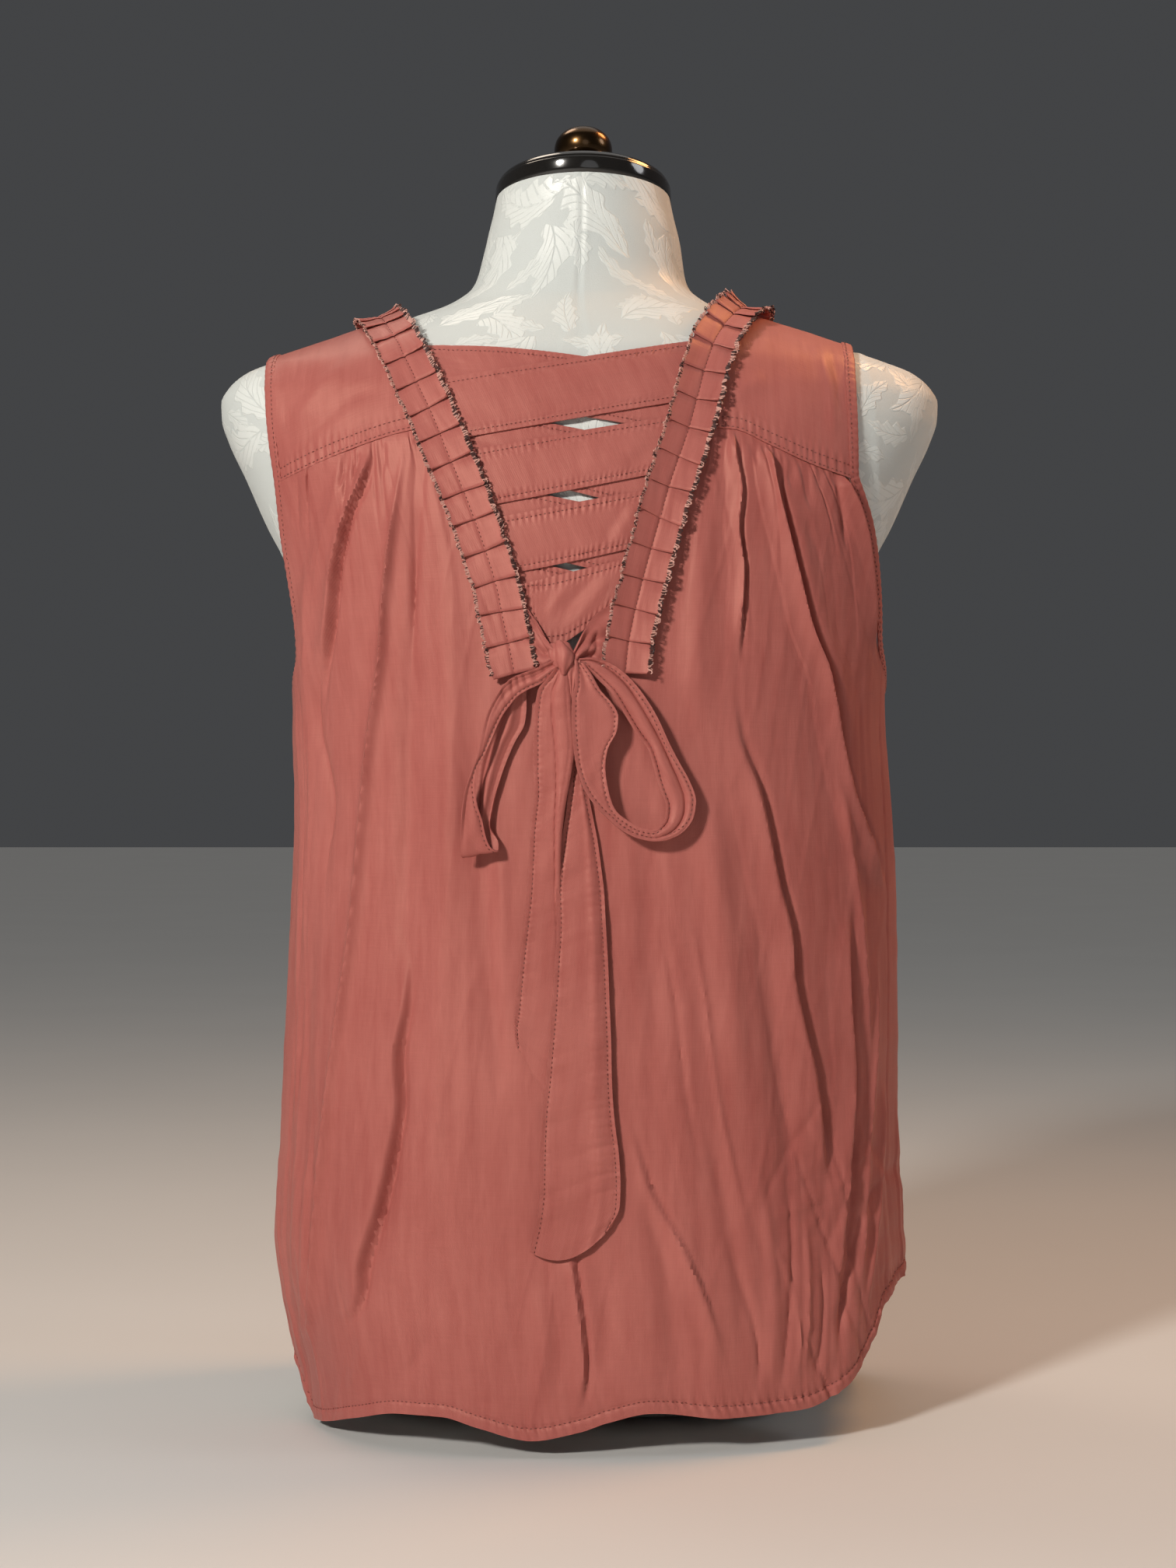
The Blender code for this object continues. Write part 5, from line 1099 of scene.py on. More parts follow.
def build_body(cloth):
    """The two body panels, the yokes and the armhole bindings. Gives the lines that the rest hangs on."""
    tops = [as_place(line_table(SEAM_LEFT)), as_place(line_table(SEAM_RIGHT))]
    arms = [edge_curve(ARM_BACK_LEFT, 1, -1), edge_curve(ARM_BACK_RIGHT, 1, 1)]
    notches = [notch_curve(V_LEFT, 1), notch_curve(V_RIGHT, 1)]
    counts = (168, 56, 142, 66)
    n_side, n_middle, n_low, n_high = counts
    shares = low_shares(n_low)
    base, normals, cells, S, Z = panel(1, HEM_BACK, arms, notches, tops, 0.0, counts, shares)
    columns = S.shape[1]
    U = np.ones(columns)
    U[:n_side + 1] = np.arange(n_side + 1) / n_side
    U[-n_side - 1:] = U[:n_side + 1][::-1]
    half = np.zeros(columns)
    half[:n_side + 1] = 1
    half[-n_side - 1:] = 1
    half = np.broadcast_to(half, S.shape) * step((Z - 0.40) / 0.03)
    height = back_relief(base, S, Z, np.broadcast_to(U, S.shape), half)
    hem = smooth(np.array(HEM_BACK)[:, 0], np.array(HEM_BACK)[:, 1], S[0])
    above = Z - hem
    along = np.broadcast_to(run_along(base[0]), S.shape)
    thick, small = hem_finish(shares, above, along, 21)
    height = clear_of_form(base, normals, S, Z, 1, height + small)
    middle = base + normals * (BODY_OUT + height)[..., None]
    back = shell("back_body_cloth", middle, normals, thick, cloth, cells, uv=np.stack([S * 0.24, Z], -1), coarse=True)
    outer = middle + facing(middle, normals) * (thick / 2)[..., None]
    stitch(level_line(above[:14], outer[:14], 0.0066)[2:-2], normals[5][2:-2])
    declare(back, ["back_body"])

    # yokes
    yokes = []
    for k, (rows, name) in enumerate(((YOKE_LEFT, "left"), (YOKE_RIGHT, "right"))):
        edge = base[-1, :n_side + 1] if k == 0 else base[-1, -n_side - 1:][::-1]
        edge = SUPPORT.settle(edge)
        grid = finer(finer(yoke(rows, edge[::8], 9, 3), n_side + 1, 1), 60, 0)
        grid = SUPPORT.settle(grid)
        grid[0] = edge + (grid[0] - edge) * 0.2
        n = SUPPORT.normal(grid)
        lift = np.stack([run_along(grid[:, i]) for i in range(grid.shape[1])], 1)
        side = np.stack([run_along(grid[j]) for j in range(grid.shape[0])], 0)
        h = lift * 1000
        ribs = np.sin(2 * math.pi * side / 0.0046 + 2.5 * noise(side / 0.018, k * 9, 31))
        inward = step(side / 0.008) * step((side[:, -1:] - side) / 0.006)
        relief = (0.50, 0.85)[k] * ribs * np.exp(-((h - 5.4) / 4.8) ** 2) * (0.7 + 0.3 * noise(side / 0.04, k, 32)) * inward
        relief -= 0.65 * np.exp(-((h - 7.2) / 0.9) ** 2)
        relief += 0.55 * np.exp(-(h / 1.6) ** 2)
        px, py = seen_at(grid)
        back_part = step((0.004 - grid[..., 1]) / 0.02)
        relief += 0.55 * noise(side / 0.022 + h / 60, h / 34, 33 + k) * step((h - 8) / 10)
        if k == 0:
            relief += back_part * creases(px, py, [
                ("soft", 9, 0.9, 0.3, 0.3, [(372, 560), (400, 520), (430, 485), (470, 470)]),
                ("soft", 9, -0.8, 0.3, 0.3, [(380, 580), (420, 540), (460, 510), (500, 500)]),
                ("soft", 12, 1.0, 0.3, 0.3, [(352, 470), (356, 520), (362, 580)])])
        else:
            relief += back_part * creases(px, py, [
                ("soft", 8, 1.0, 0.3, 0.3, [(1040, 445), (1060, 480), (1068, 530), (1066, 580)]),
                ("soft", 7, -1.0, 0.3, 0.3, [(1060, 450), (1076, 490), (1082, 540)]),
                ("soft", 10, 0.9, 0.3, 0.3, [(940, 520), (960, 500), (990, 490)])])
        relief = np.maximum(relief, -1.0) / 1000
        middle = grid + n * (BODY_OUT + relief)[..., None]
        piece = shell("yoke_%s_cloth" % name, middle, n, 0.0010, cloth)
        outer = middle + n * 0.0005
        stitch(row_at(lift[:, 40], outer, 0.0072), n[5])
        stitch(row_at(lift[:, 40], outer, 0.0016), n[1])
        declare(piece, ["yoke_" + name])
        yokes.append((grid, middle, n))

    # front
    front_tops, front_arms, front_notches = [], [], []
    for k, (grid, _, _) in enumerate(yokes):
        forward = grid[-1] - grid[-2]
        forward /= np.linalg.norm(forward, axis=1, keepdims=True)
        row = SUPPORT.settle(grid[-1] + forward * 0.0004)
        places, heights = SUPPORT.place(row[:, 0], row[:, 2]), row[:, 2]
        share = np.linspace(0, 1, len(row))
        front_tops.append(lambda u, a=share, b=places, c=heights: (float(np.interp(u, a, b)), float(np.interp(u, a, c))))
        front_arms.append(edge_curve((ARM_FRONT_LEFT, ARM_FRONT_RIGHT)[k], -1, (-1, 1)[k], (float(places[0]), float(heights[0]))))
        front_notches.append(notch_curve((NECK_LEFT, NECK_RIGHT)[k], -1, (float(places[-1]), float(heights[-1]))))
    front_counts = (84, 44, 132, 72)
    f_side, f_middle, f_low, f_high = front_counts
    f_shares = low_shares(f_low)
    f_base, f_normals, f_cells, fS, fZ = panel(-1, HEM_FRONT, front_arms, front_notches, front_tops, NECK_DIP,
                                               front_counts, f_shares, 1.35)
    height = front_relief(f_base, fS, fZ)
    f_above = fZ - smooth(np.array(HEM_FRONT)[:, 0], np.array(HEM_FRONT)[:, 1], fS[0])
    f_along = np.broadcast_to(run_along(f_base[0]), fS.shape)
    f_thick, small = hem_finish(f_shares, f_above, f_along, 51)
    height = clear_of_form(f_base, f_normals, fS, fZ, -1, height + small)
    f_middle_points = f_base + f_normals * (BODY_OUT + height)[..., None]
    front = shell("front_body_cloth", f_middle_points, f_normals, f_thick, cloth, f_cells, uv=np.stack([fS * 0.24, fZ], -1), coarse=True)
    f_outer = f_middle_points + f_normals * (f_thick / 2)[..., None]
    stitch(level_line(f_above[:14], f_outer[:14], 0.0066)[2:-2], f_normals[5][2:-2])
    stitch(f_outer[f_low:, f_side - 3], f_normals[f_low:, f_side - 3])
    stitch(f_outer[f_low:, f_side + f_middle + 3], f_normals[f_low:, f_side + f_middle + 3])
    stitch(f_outer[f_low - 3, f_side - 3:f_side + f_middle + 4], f_normals[f_low - 3, f_side - 3:f_side + f_middle + 4])
    declare(front, ["front_body"])

    # bindings
    for k, name in enumerate(("left", "right")):
        b = base[n_low:, 0 if k == 0 else -1]
        f = f_base[f_low:, 0 if k == 0 else -1][::-1]
        y = yokes[k][0][:, 0]
        start = (b[:1] + f[-1:]) / 2
        loop = np.concatenate([start, b[1:], y[1:-1], f[:-1], start])
        run = run_along(loop)
        count = 380
        at = np.linspace(0, run[-1], count + 1)[:-1]
        loop = np.stack([np.interp(at, run, loop[:, c]) for c in range(3)], -1)
        for _ in range(6):
            loop = 0.5 * loop + 0.25 * (np.roll(loop, 1, 0) + np.roll(loop, -1, 0))
        tangent = np.roll(loop, -1, 0) - np.roll(loop, 1, 0)
        tangent /= np.linalg.norm(tangent, axis=1, keepdims=True)
        side = np.cross(tangent, SUPPORT.normal(loop))
        side /= np.linalg.norm(side, axis=1, keepdims=True)
        if ((loop.mean(0) - loop) * side).sum() < 0:
            side = -side
        run = at
        across = 7
        theta = np.linspace(0, math.pi, across)
        step_in = BINDING_WIDTH * (1 - np.cos(theta)) / 2 - 0.0004
        rows = [SUPPORT.settle(loop + side * s) for s in step_in]
        grid = np.stack(rows, 1)
        n = SUPPORT.normal(grid)
        share = np.linspace(0, 1, across)[None, :]
        pucker = np.sin(2 * math.pi * run[:, None] / 0.0049 + 2.4 * noise(run[:, None] / 0.02, 5 * k, 61)) * 0.40
        pucker = pucker * (1.0 - 0.6 * share) - 0.38 * np.exp(-((share - 0.26) / 0.1) ** 2)
        half = 0.00075 * np.sin(np.clip(theta, 0.12, math.pi - 0.12)) ** 0.45
        top = grid + n * (BODY_OUT + 0.0004 + half[None, :] + pucker / 1000)[..., None]
        under = grid + n * (BODY_OUT + 0.0002 - half[None, :])[..., None]
        ring = np.concatenate([top, under[:, ::-1]], 1)
        width = ring.shape[1]
        points = ring.reshape(-1, 3)
        J, I = np.meshgrid(np.arange(count), np.arange(width), indexing="ij")
        a, b2 = J * width + I, J * width + (I + 1) % width
        c, d = ((J + 1) % count) * width + (I + 1) % width, ((J + 1) % count) * width + I
        faces = np.stack([a, b2, c, d], -1).reshape(-1, 4)
        t = np.concatenate([faces[:, (0, 1, 2)], faces[:, (0, 2, 3)]])
        if np.einsum("ij,ij->i", points[t[:, 0]], np.cross(points[t[:, 1]], points[t[:, 2]])).sum() < 0:
            faces = faces[:, ::-1]
        uv = np.stack([np.broadcast_to(np.linspace(0, 0.013, width), (count, width)), np.broadcast_to(run[:, None], (count, width))], -1)
        piece = make("armhole_%s_binding" % name, points, faces.tolist(), cloth, uv.reshape(-1, 2), angle=70)
        line = top[:, 2]
        stitch(np.concatenate([line, line[:1]]), np.concatenate([n[:, 2], n[:1, 2]]))
        declare(piece, ["armhole_" + name])

    edges = []
    for k, rows in enumerate((V_LEFT, V_RIGHT)):
        y = yokes[k][0][:, -1]
        ridge = int(np.argmax(y[:, 2]))
        zs = np.concatenate([[r[1] for r in rows], y[4:ridge, 2]])
        xs = np.concatenate([[r[0] for r in rows], y[4:ridge, 0]])
        order = np.argsort(zs)
        edges.append((zs[order], xs[order]))
    lines = []
    for k in (0, 1):
        column = n_side if k == 0 else n_side + n_middle
        lines.append(np.concatenate([SUPPORT.settle(base[n_low:, column]), yokes[k][0][1:, -1]]))
    return edges, lines


# ---------------------------------------------------------------- pleated strips
FIBRES = []


def fray(edge, outward, up, seed, size, dark):
    """Notes the loose threads of a raw edge, each a curl: start, way out, way along, way up, size and shade."""
    rand = np.random.RandomState(seed)
    run = run_along(edge)
    count = int(run[-1] / 0.00062)
    at = (np.arange(count) + rand.uniform(-0.4, 0.4, count)) * run[-1] / count
    at = np.clip(at, 0, run[-1])
    here = lambda a: np.stack([np.interp(at, run, a[:, k]) for k in range(3)], -1)
    along = here(np.gradient(edge, run, axis=0))
    along /= np.linalg.norm(along, axis=1, keepdims=True)
    for row in zip(here(edge), here(outward), along, here(up), size * rand.uniform(0.55, 1.25, count), rand.rand(count) < dark,
                   rand.uniform(-1, 1, (count, 4))):
        FIBRES.append(row)


def fibres(materials):
    points, faces, slots = [], [], []
    turns = 5
    for start, out, along, up, size, dark, wild in FIBRES:
        # out from the edge, over and partly back, like a thread drawn out of the weave
        reach = np.array([-0.25, 0.45, 0.95, 1.05, 0.70]) * size
        drift = np.array([0.0, 0.25, 0.65, 1.15, 1.45]) * size * (0.5 + 0.4 * wild[0]) * (1 if wild[1] > 0 else -1)
        rise = np.array([0.0, 0.28, 0.40, 0.22, -0.05]) * size * (0.8 + 0.6 * wild[2])
        path = start + reach[:, None] * out + drift[:, None] * along + rise[:, None] * up
        way = np.gradient(path, axis=0)
        way /= np.linalg.norm(way, axis=1, keepdims=True)
        side = np.cross(way, up)
        side /= np.maximum(np.linalg.norm(side, axis=1, keepdims=True), 1e-9)
        other = np.cross(side, way)
        r = 0.00033 * (1 + 0.3 * wild[3])
        k = len(points)
        for j in range(turns):
            for t in range(3):
                a = 2 * math.pi * t / 3
                points.append(path[j] + (side[j] * math.cos(a) + other[j] * math.sin(a)) * r)
        for j in range(turns - 1):
            for t in range(3):
                a, b = k + 3 * j + t, k + 3 * j + (t + 1) % 3
                faces.append((a, b, b + 3, a + 3))
        faces.append((k + 2, k + 1, k))
        faces.append((k + 3 * turns - 3, k + 3 * turns - 2, k + 3 * turns - 1))
        slots += [int(dark)] * (3 * (turns - 1) + 2)
    return make("frayed_threads", np.array(points), faces, materials, angle=80, slots=slots)


def ruffle(name, line, cloth, seed, left_rise, right_rise, crown):
    """A knife-pleated strip stitched down its middle, the pleats lapping downwards, both edges raw."""
    rand = np.random.RandomState(seed)
    line = SUPPORT.settle(rounded(np.concatenate([line[:-2:4], line[-1:]]), 260))
    run = run_along(line)
    total = run[-1]
    pleats = int(round(total / PLEAT))
    pitch = total / pleats
    q, lay = [], []
    tuck = 0.0062
    profile = [(-tuck, 0.10), (-0.0022, 0.04), (0.0002, 0.0), (0.0015, 0.22), (0.17, 0.86), (0.40, 1.16), (0.66, 1.40), (0.86, 1.62), (0.96, 1.80)]
    for k in range(pleats):
        for f, h in profile:
            q.append(k * pitch + (f if abs(f) < 0.02 and f != 0.30 else f * pitch))
            lay.append(h)
        end = (k + 1) * pitch + rand.normal(0, 0.0003)
        q += [end + 0.0004, end + 0.0007, end + 0.0003, end - 0.0020, end - 0.0042]
        lay += [1.80, 1.56, 1.26, 0.90, 0.56]
        q += [end - tuck + 0.0002]
        lay += [0.34]
    q, lay = np.array(q), np.array(lay)
    pleat_of = np.clip(np.arange(len(q)) // 15, 0, pleats - 1)
    s = total - q                      # the line runs upwards, the pleats lap downwards
    across = 26
    b = np.linspace(-1, 1, across + 1)
    point_at = lambda d: np.stack([np.interp(d, run, line[:, k]) for k in range(3)], -1)
    centre = point_at(np.clip(s, 0, total))
    near = np.clip(s, 0.003, total - 0.003)
    ahead = point_at(near + 0.003) - point_at(near - 0.003)
    ahead /= np.linalg.norm(ahead, axis=1, keepdims=True)
    spill = np.where(s > total, s - total, np.where(s < 0, s, 0))
    centre = centre + ahead * spill[:, None]
    normal = SUPPORT.normal(centre)
    side = np.cross(ahead, normal)
    side /= np.linalg.norm(side, axis=1, keepdims=True)
    flare_l, flare_r = rand.uniform(0.5, 1.6, pleats), rand.uniform(0.5, 1.6, pleats)
    skew_l, skew_r = rand.normal(0, 0.0007, pleats), rand.normal(0, 0.0007, pleats)
    width_l, width_r = rand.normal(1, 0.03, len(q)), rand.normal(1, 0.03, len(q))
    up_part = np.clip((s / total - 0.70) / 0.22, 0, 1)
    grid = np.zeros((len(q), across + 1, 3))
    for i, c in enumerate(b):
        flare = (flare_l if c < 0 else flare_r)[pleat_of]
        skew = (skew_l if c < 0 else skew_r)[pleat_of]
        width = (width_l if c < 0 else width_r)
        wide = RUFFLE_HALF * (1 + 0.035 * flare * 0.3 + (width - 1) * abs(c))
        open_ = 0.72 + 0.62 * abs(c) ** 1.4
        rise = left_rise if c < 0 else right_rise
        lift = abs(c) * (rise + 1.7 * up_part) - 1.7 * up_part + crown + flare * 0.60 * abs(c) ** 4 * (lay / 1.7)
        groove = -0.62 * math.exp(-((c / 0.07) ** 2))
        wave = 0.18 * noise(s / 0.006 + 7 * c, c * 2.5, seed)
        out = 0.0057 + (lay * open_ + lift + groove + wave) / 1000
        spot = centre + side * (c * wide)[:, None] + ahead * (skew * abs(c))[:, None]
        spot = SUPPORT.settle(spot)
        grid[:, i] = spot + SUPPORT.normal(spot) * out[:, None]
    grid = grid[::-1]
    n = free_normals(grid)
    if (n * SUPPORT.normal(grid)).sum() < 0:
        n = -n
    across_run = np.broadcast_to(b * RUFFLE_HALF, grid.shape[:2])
    fall = np.concatenate([[0], np.cumsum(np.linalg.norm(np.diff(grid[:, across // 2], axis=0), axis=1))])
    uv = np.stack([across_run, np.broadcast_to(fall[:, None], grid.shape[:2])], -1)
    piece = shell(name, grid, n, 0.00032, cloth, uv=uv, angle=60)
    # stitching and raw edges follow the strip's top faces
    order = np.argsort(q)
    keep = [j for j in range(len(q)) if j % 15 in (3, 4, 5, 6, 7, 8)]
    rows = len(q) - 1 - np.array(keep)
    middle_line = grid[rows, across // 2]
    up = SUPPORT.normal(middle_line)
    stitch(middle_line[::-1], up[::-1], 0.0026, 0.0018, 0.00028)
    # a share of each edge's loose threads is near black, painted shadow in the fray
    for i, size, shade in ((0, 0.0014, 0.30), (across, 0.0019, 0.55)):
        edge = grid[rows, i]
        out_way = (grid[rows, i] - grid[rows, i + (1 if i == 0 else -1)])
        out_way /= np.linalg.norm(out_way, axis=1, keepdims=True)
        fray(edge, out_way, SUPPORT.normal(edge), seed + i + 1, size, shade)
    length = fall[-1]
    declare(piece, [name.replace("_pleats", "")])
    return length


# ---------------------------------------------------------------- straps
STRAP_DRAGS = {
    "strap_l1": [("sharp", 4, -0.7, 0.1, 0.4, [(560, 462), (586, 468), (612, 475)]),
                 ("sharp", 4, -0.7, 0.1, 0.4, [(566, 474), (592, 478), (620, 484)]),
                 ("soft", 8, -0.5, 0.1, 0.4, [(572, 452), (610, 459), (650, 466)])],
    "strap_l2": [("soft", 8, -0.5, 0.1, 0.4, [(596, 560), (630, 572), (660, 580)])],
    "strap_l3": [("soft", 8, -0.5, 0.1, 0.4, [(636, 650), (664, 662), (690, 672)])],
    "strap_r1": [("soft", 14, 0.5, 0.3, 0.3, [(880, 470), (800, 480), (700, 505), (620, 530)]),
                 ("soft", 9, -0.45, 0.3, 0.3, [(860, 500), (780, 500), (690, 525)])],
    "strap_r2": [("soft", 12, 0.5, 0.3, 0.3, [(840, 560), (790, 590), (720, 610)]),
                 ("soft", 9, -0.45, 0.3, 0.3, [(840, 580), (800, 610)])],
    "strap_r3": [("soft", 10, 0.5, 0.3, 0.3, [(820, 650), (800, 680), (785, 705)]),
                 ("soft", 8, -0.5, 0.3, 0.3, [(806, 645), (790, 675), (776, 700)])],
    "strap_r4": [("soft", 9, 0.6, 0.3, 0.3, [(790, 730), (770, 760), (745, 790), (720, 815)]),
                 ("soft", 8, -0.6, 0.3, 0.3, [(770, 735), (745, 765), (722, 790)]),
                 ("soft", 7, 0.5, 0.3, 0.3, [(735, 745), (715, 775), (700, 800)])],
}


# Lower edge of the lowest strap: share of the way across, height
LAST_STRAP_EDGE = [(0.0, 0.4600), (0.215, 0.4543), (0.286, 0.4440), (0.343, 0.4378), (0.432, 0.4382), (0.589, 0.4445),
                   (0.741, 0.4517), (0.793, 0.4560), (1.0, 0.4640)]


def strap(name, cloth, v_left, v_right, seed):
    top_l, bottom_l, top_r, bottom_r, droop = STRAPS[name]
    front = name[6] == "r"
    (zl, xl), (zr, xr) = v_left, v_right
    n_along, n_across = 120, 26
    b = np.linspace(0, 1, n_across + 1)[:, None]
    a = np.linspace(0, 1, n_along + 1)[None, :]
    z0, z1 = bottom_l + (top_l - bottom_l) * b, bottom_r + (top_r - bottom_r) * b
    x0, x1 = np.interp(z0, zl, xl) + 0.0005, np.interp(z1, zr, xr) - 0.0005
    z = z0 + (z1 - z0) * a - droop * (1 - b) * 4 * a * (1 - a)
    if name == "strap_r4":
        low_edge = smooth(*np.array(LAST_STRAP_EDGE).T, a)
        z = low_edge * (1 - b) + (top_l + (top_r - top_l) * a) * b
    if name == "strap_l1":
        z = z + (0.0045 + 0.0015 * b) * 4 * a * (1 - a)      # drawn tight, its edges bow upwards
    x = x0 + (x1 - x0) * a
    grid = SUPPORT.back_at(x, z)
    n = SUPPORT.normal(grid)
    wide = np.linalg.norm(grid[-1] - grid[0], axis=-1)[None, :]
    along = np.broadcast_to(run_along(grid[n_across // 2])[None, :], z.shape)
    e = np.minimum(b, 1 - b) * wide * 1000
    near_top = b > 0.5
    beat = np.sin(2 * math.pi * along / 0.0033 + 2.6 * noise(along / 0.012, near_top * 7.0, seed))
    beat = beat * (0.65 + 0.35 * noise(along / 0.02, near_top * 3.0 + 9, seed))
    relief = 0.62 * beat * np.exp(-((e - 3.2) / 2.7) ** 2)
    relief -= 0.45 * np.exp(-((e - 3.1) / 0.8) ** 2)
    relief += 0.30 * step(e / 10) - 0.25 * (1 - step(e / 1.2))
    px, py = seen_at(grid)
    relief += creases(px, py, STRAP_DRAGS.get(name, []))
    relief += 0.42 * noise(along / 0.022 + b * 1.3, b * 1.6, seed + 1) * step(e / 6)
    relief += 0.12 * noise(along / 0.006, b * 1.8, seed + 2) * step(e / 6)
    relief = np.clip(relief, -0.42, 1.3) if front else np.clip(relief, -0.8, 0.32)
    out = (STRAP_R_OUT + 0.0002 if front else STRAP_L_OUT) + relief / 1000
    middle = grid + n * out[..., None]
    piece = shell(name + "_cloth", middle, n, 0.0009, cloth)
    outer = middle + n * 0.00045
    for share in (3.1, -3.1):
        w = float(wide.mean()) * 1000
        row = (share / w if share > 0 else 1 + share / w) * n_across
        if 1 < row < n_across - 1:
            stitch(row_at(np.arange(n_across + 1), outer, row), n[n_across // 2], 0.0026, 0.0016)
    declare(piece, [name])


# ---------------------------------------------------------------- ties, bow and tails
# Each row crosses the ribbon: where one edge and the other show in the
# photograph's frame, and how far out from the support each lies, in mm
TIE_LEFT_ROWS = [
    (664, 768, 670, 870, 5.2, 5.2), (677, 781, 683, 866, 6.0, 6.4), (689, 799, 695, 863, 7.4, 8.4),
    (702, 822, 706, 861, 9.8, 10.4), (714, 836, 716, 858, 12.2, 12.0),
]
TIE_RIGHT_ROWS = [
    (735, 843, 740, 856, 12.4, 12.2), (742, 829, 751, 853, 10.8, 10.8), (749, 814, 762, 853, 9.0, 9.2),
    (758, 799, 775, 856, 7.4, 7.6), (771, 786, 788, 860, 6.0, 6.2), (788, 776, 799, 864, 5.2, 5.2),
]
LOOP_LEFT_ROWS = [
    (720, 845, 719, 861, 13.0, 12.0), (706, 851, 709, 867, 13.5, 12.5), (690, 859, 695, 879, 13.5, 12.2),
    (673, 865, 680, 886, 14.0, 12.4), (659, 871, 664, 896, 14.8, 12.6), (648, 880, 656, 906, 15.6, 13.2),
    (637, 896, 649, 915, 16.6, 14.0), (626, 919, 640, 932, 17.2, 14.6), (619, 946, 633, 949, 17.8, 15.2),
    (613, 972, 624, 969, 18.2, 16.0), (606, 991, 612, 993, 18.0, 16.8), (599, 1011, 611, 1011, 18.2, 16.8),
    (595, 1034, 613, 1033, 18.2, 16.6), (593, 1057, 620, 1055, 18.0, 15.8), (592, 1081, 625, 1077, 17.2, 15.0),
    (592, 1100, 633, 1092, 15.0, 13.6), (596, 1103, 641, 1095, 12.6, 12.4), (600, 1090, 641, 1084, 10.4, 10.6),
    (606, 1062, 630, 1062, 9.0, 9.0), (611, 1035, 635, 1031, 8.2, 7.8), (613, 1008, 643, 1003, 7.8, 7.2),
    (616, 985, 652, 977, 7.6, 6.8), (623, 960, 662, 954, 7.6, 6.8), (631, 936, 675, 929, 8.0, 7.0),
    (640, 913, 677, 907, 8.6, 7.4), (653, 895, 677, 888, 9.2, 8.0), (672, 874, 690, 877, 9.8, 9.0), (700, 858, 705, 868, 10.4, 10.0),
]
LOOP_RIGHT_ROWS = [
    (739, 849, 750, 853, 13.2, 13.2), (739, 862, 760, 868, 14.2, 13.2), (739, 881, 771, 887, 15.2, 13.6),
    (735, 899, 787, 905, 15.8, 14.0), (735, 925, 795, 921, 16.2, 14.4), (737, 958, 793, 940, 16.2, 14.4),
    (741, 985, 781, 964, 16.0, 14.4), (747, 1006, 778, 986, 15.6, 14.2), (755, 1022, 780, 1006, 15.2, 14.0),
    (766, 1037, 784, 1025, 14.8, 13.6), (780, 1051, 791, 1042, 14.2, 13.2), (800, 1068, 805, 1054, 13.6, 12.8),
    (820, 1078, 822, 1064, 13.2, 12.4), (842, 1082, 840, 1068, 13.0, 12.0), (863, 1078, 850, 1061, 13.2, 11.6),
    (880, 1068, 856, 1049, 13.4, 11.2), (892, 1050, 856, 1034, 13.4, 11.0), (895, 1029, 851, 1021, 13.2, 10.6),
    (887, 1005, 845, 1004, 13.0, 10.4), (874, 981, 840, 985, 12.6, 10.2), (861, 956, 834, 965, 12.4, 10.0),
    (847, 925, 818, 943, 12.2, 9.8), (831, 898, 800, 913, 12.0, 9.8), (813, 875, 787, 891, 12.0, 10.0),
    (794, 858, 772, 876, 12.0, 10.4), (779, 850, 760, 864, 12.0, 11.0), (762, 846, 750, 856, 12.2, 11.6), (745, 847, 742, 855, 12.6, 12.2),
]
TAIL_LEFT_ROWS = [
    (714, 858, 727, 860, 13.4, 13.6), (704, 872, 731, 874, 12.4, 13.4), (692, 886, 733, 892, 11.4, 12.8),
    (687, 920, 735, 920, 10.2, 12.0), (686, 955, 738, 960, 9.6, 11.4), (686, 986, 735, 986, 9.3, 10.8),
    (687, 1020, 729, 1020, 9.0, 10.3), (684, 1048, 725, 1046, 8.6, 9.8), (682, 1072, 722, 1072, 8.0, 9.2),
    (680, 1112, 720, 1114, 7.2, 7.8), (678, 1150, 719, 1150, 6.5, 6.2), (674, 1187, 721, 1187, 6.0, 5.0),
    (668, 1240, 724, 1245, 6.3, 4.9), (663, 1294, 727, 1310, 6.5, 4.9), (661, 1318, 729, 1390, 6.5, 4.9), (664, 1344, 730, 1466, 6.4, 4.9),
]
TAIL_RIGHT_ROWS = [
    (738, 866, 747, 868, 7.2, 7.4), (737, 925, 748, 925, 6.6, 7.0), (734, 985, 750, 985, 6.2, 6.8),
    (728, 1040, 760, 1040, 6.0, 6.6), (722, 1080, 768, 1080, 6.0, 6.8), (718, 1115, 773, 1115, 6.2, 7.0),
    (715, 1150, 777, 1150, 6.8, 7.2), (716, 1187, 779, 1187, 7.8, 7.6), (713, 1240, 782, 1240, 8.3, 7.8),
    (710, 1290, 784, 1290, 8.6, 7.8), (706, 1340, 786, 1340, 8.6, 7.8), (702, 1390, 787, 1390, 8.5, 7.7),
    (697, 1437, 790, 1437, 8.4, 7.6), (695, 1490, 796, 1486, 8.1, 7.4), (694, 1535, 798, 1522, 7.8, 7.2),
    (689, 1575, 797, 1552, 7.4, 7.1), (681, 1609, 783, 1580, 7.2, 7.2),
]
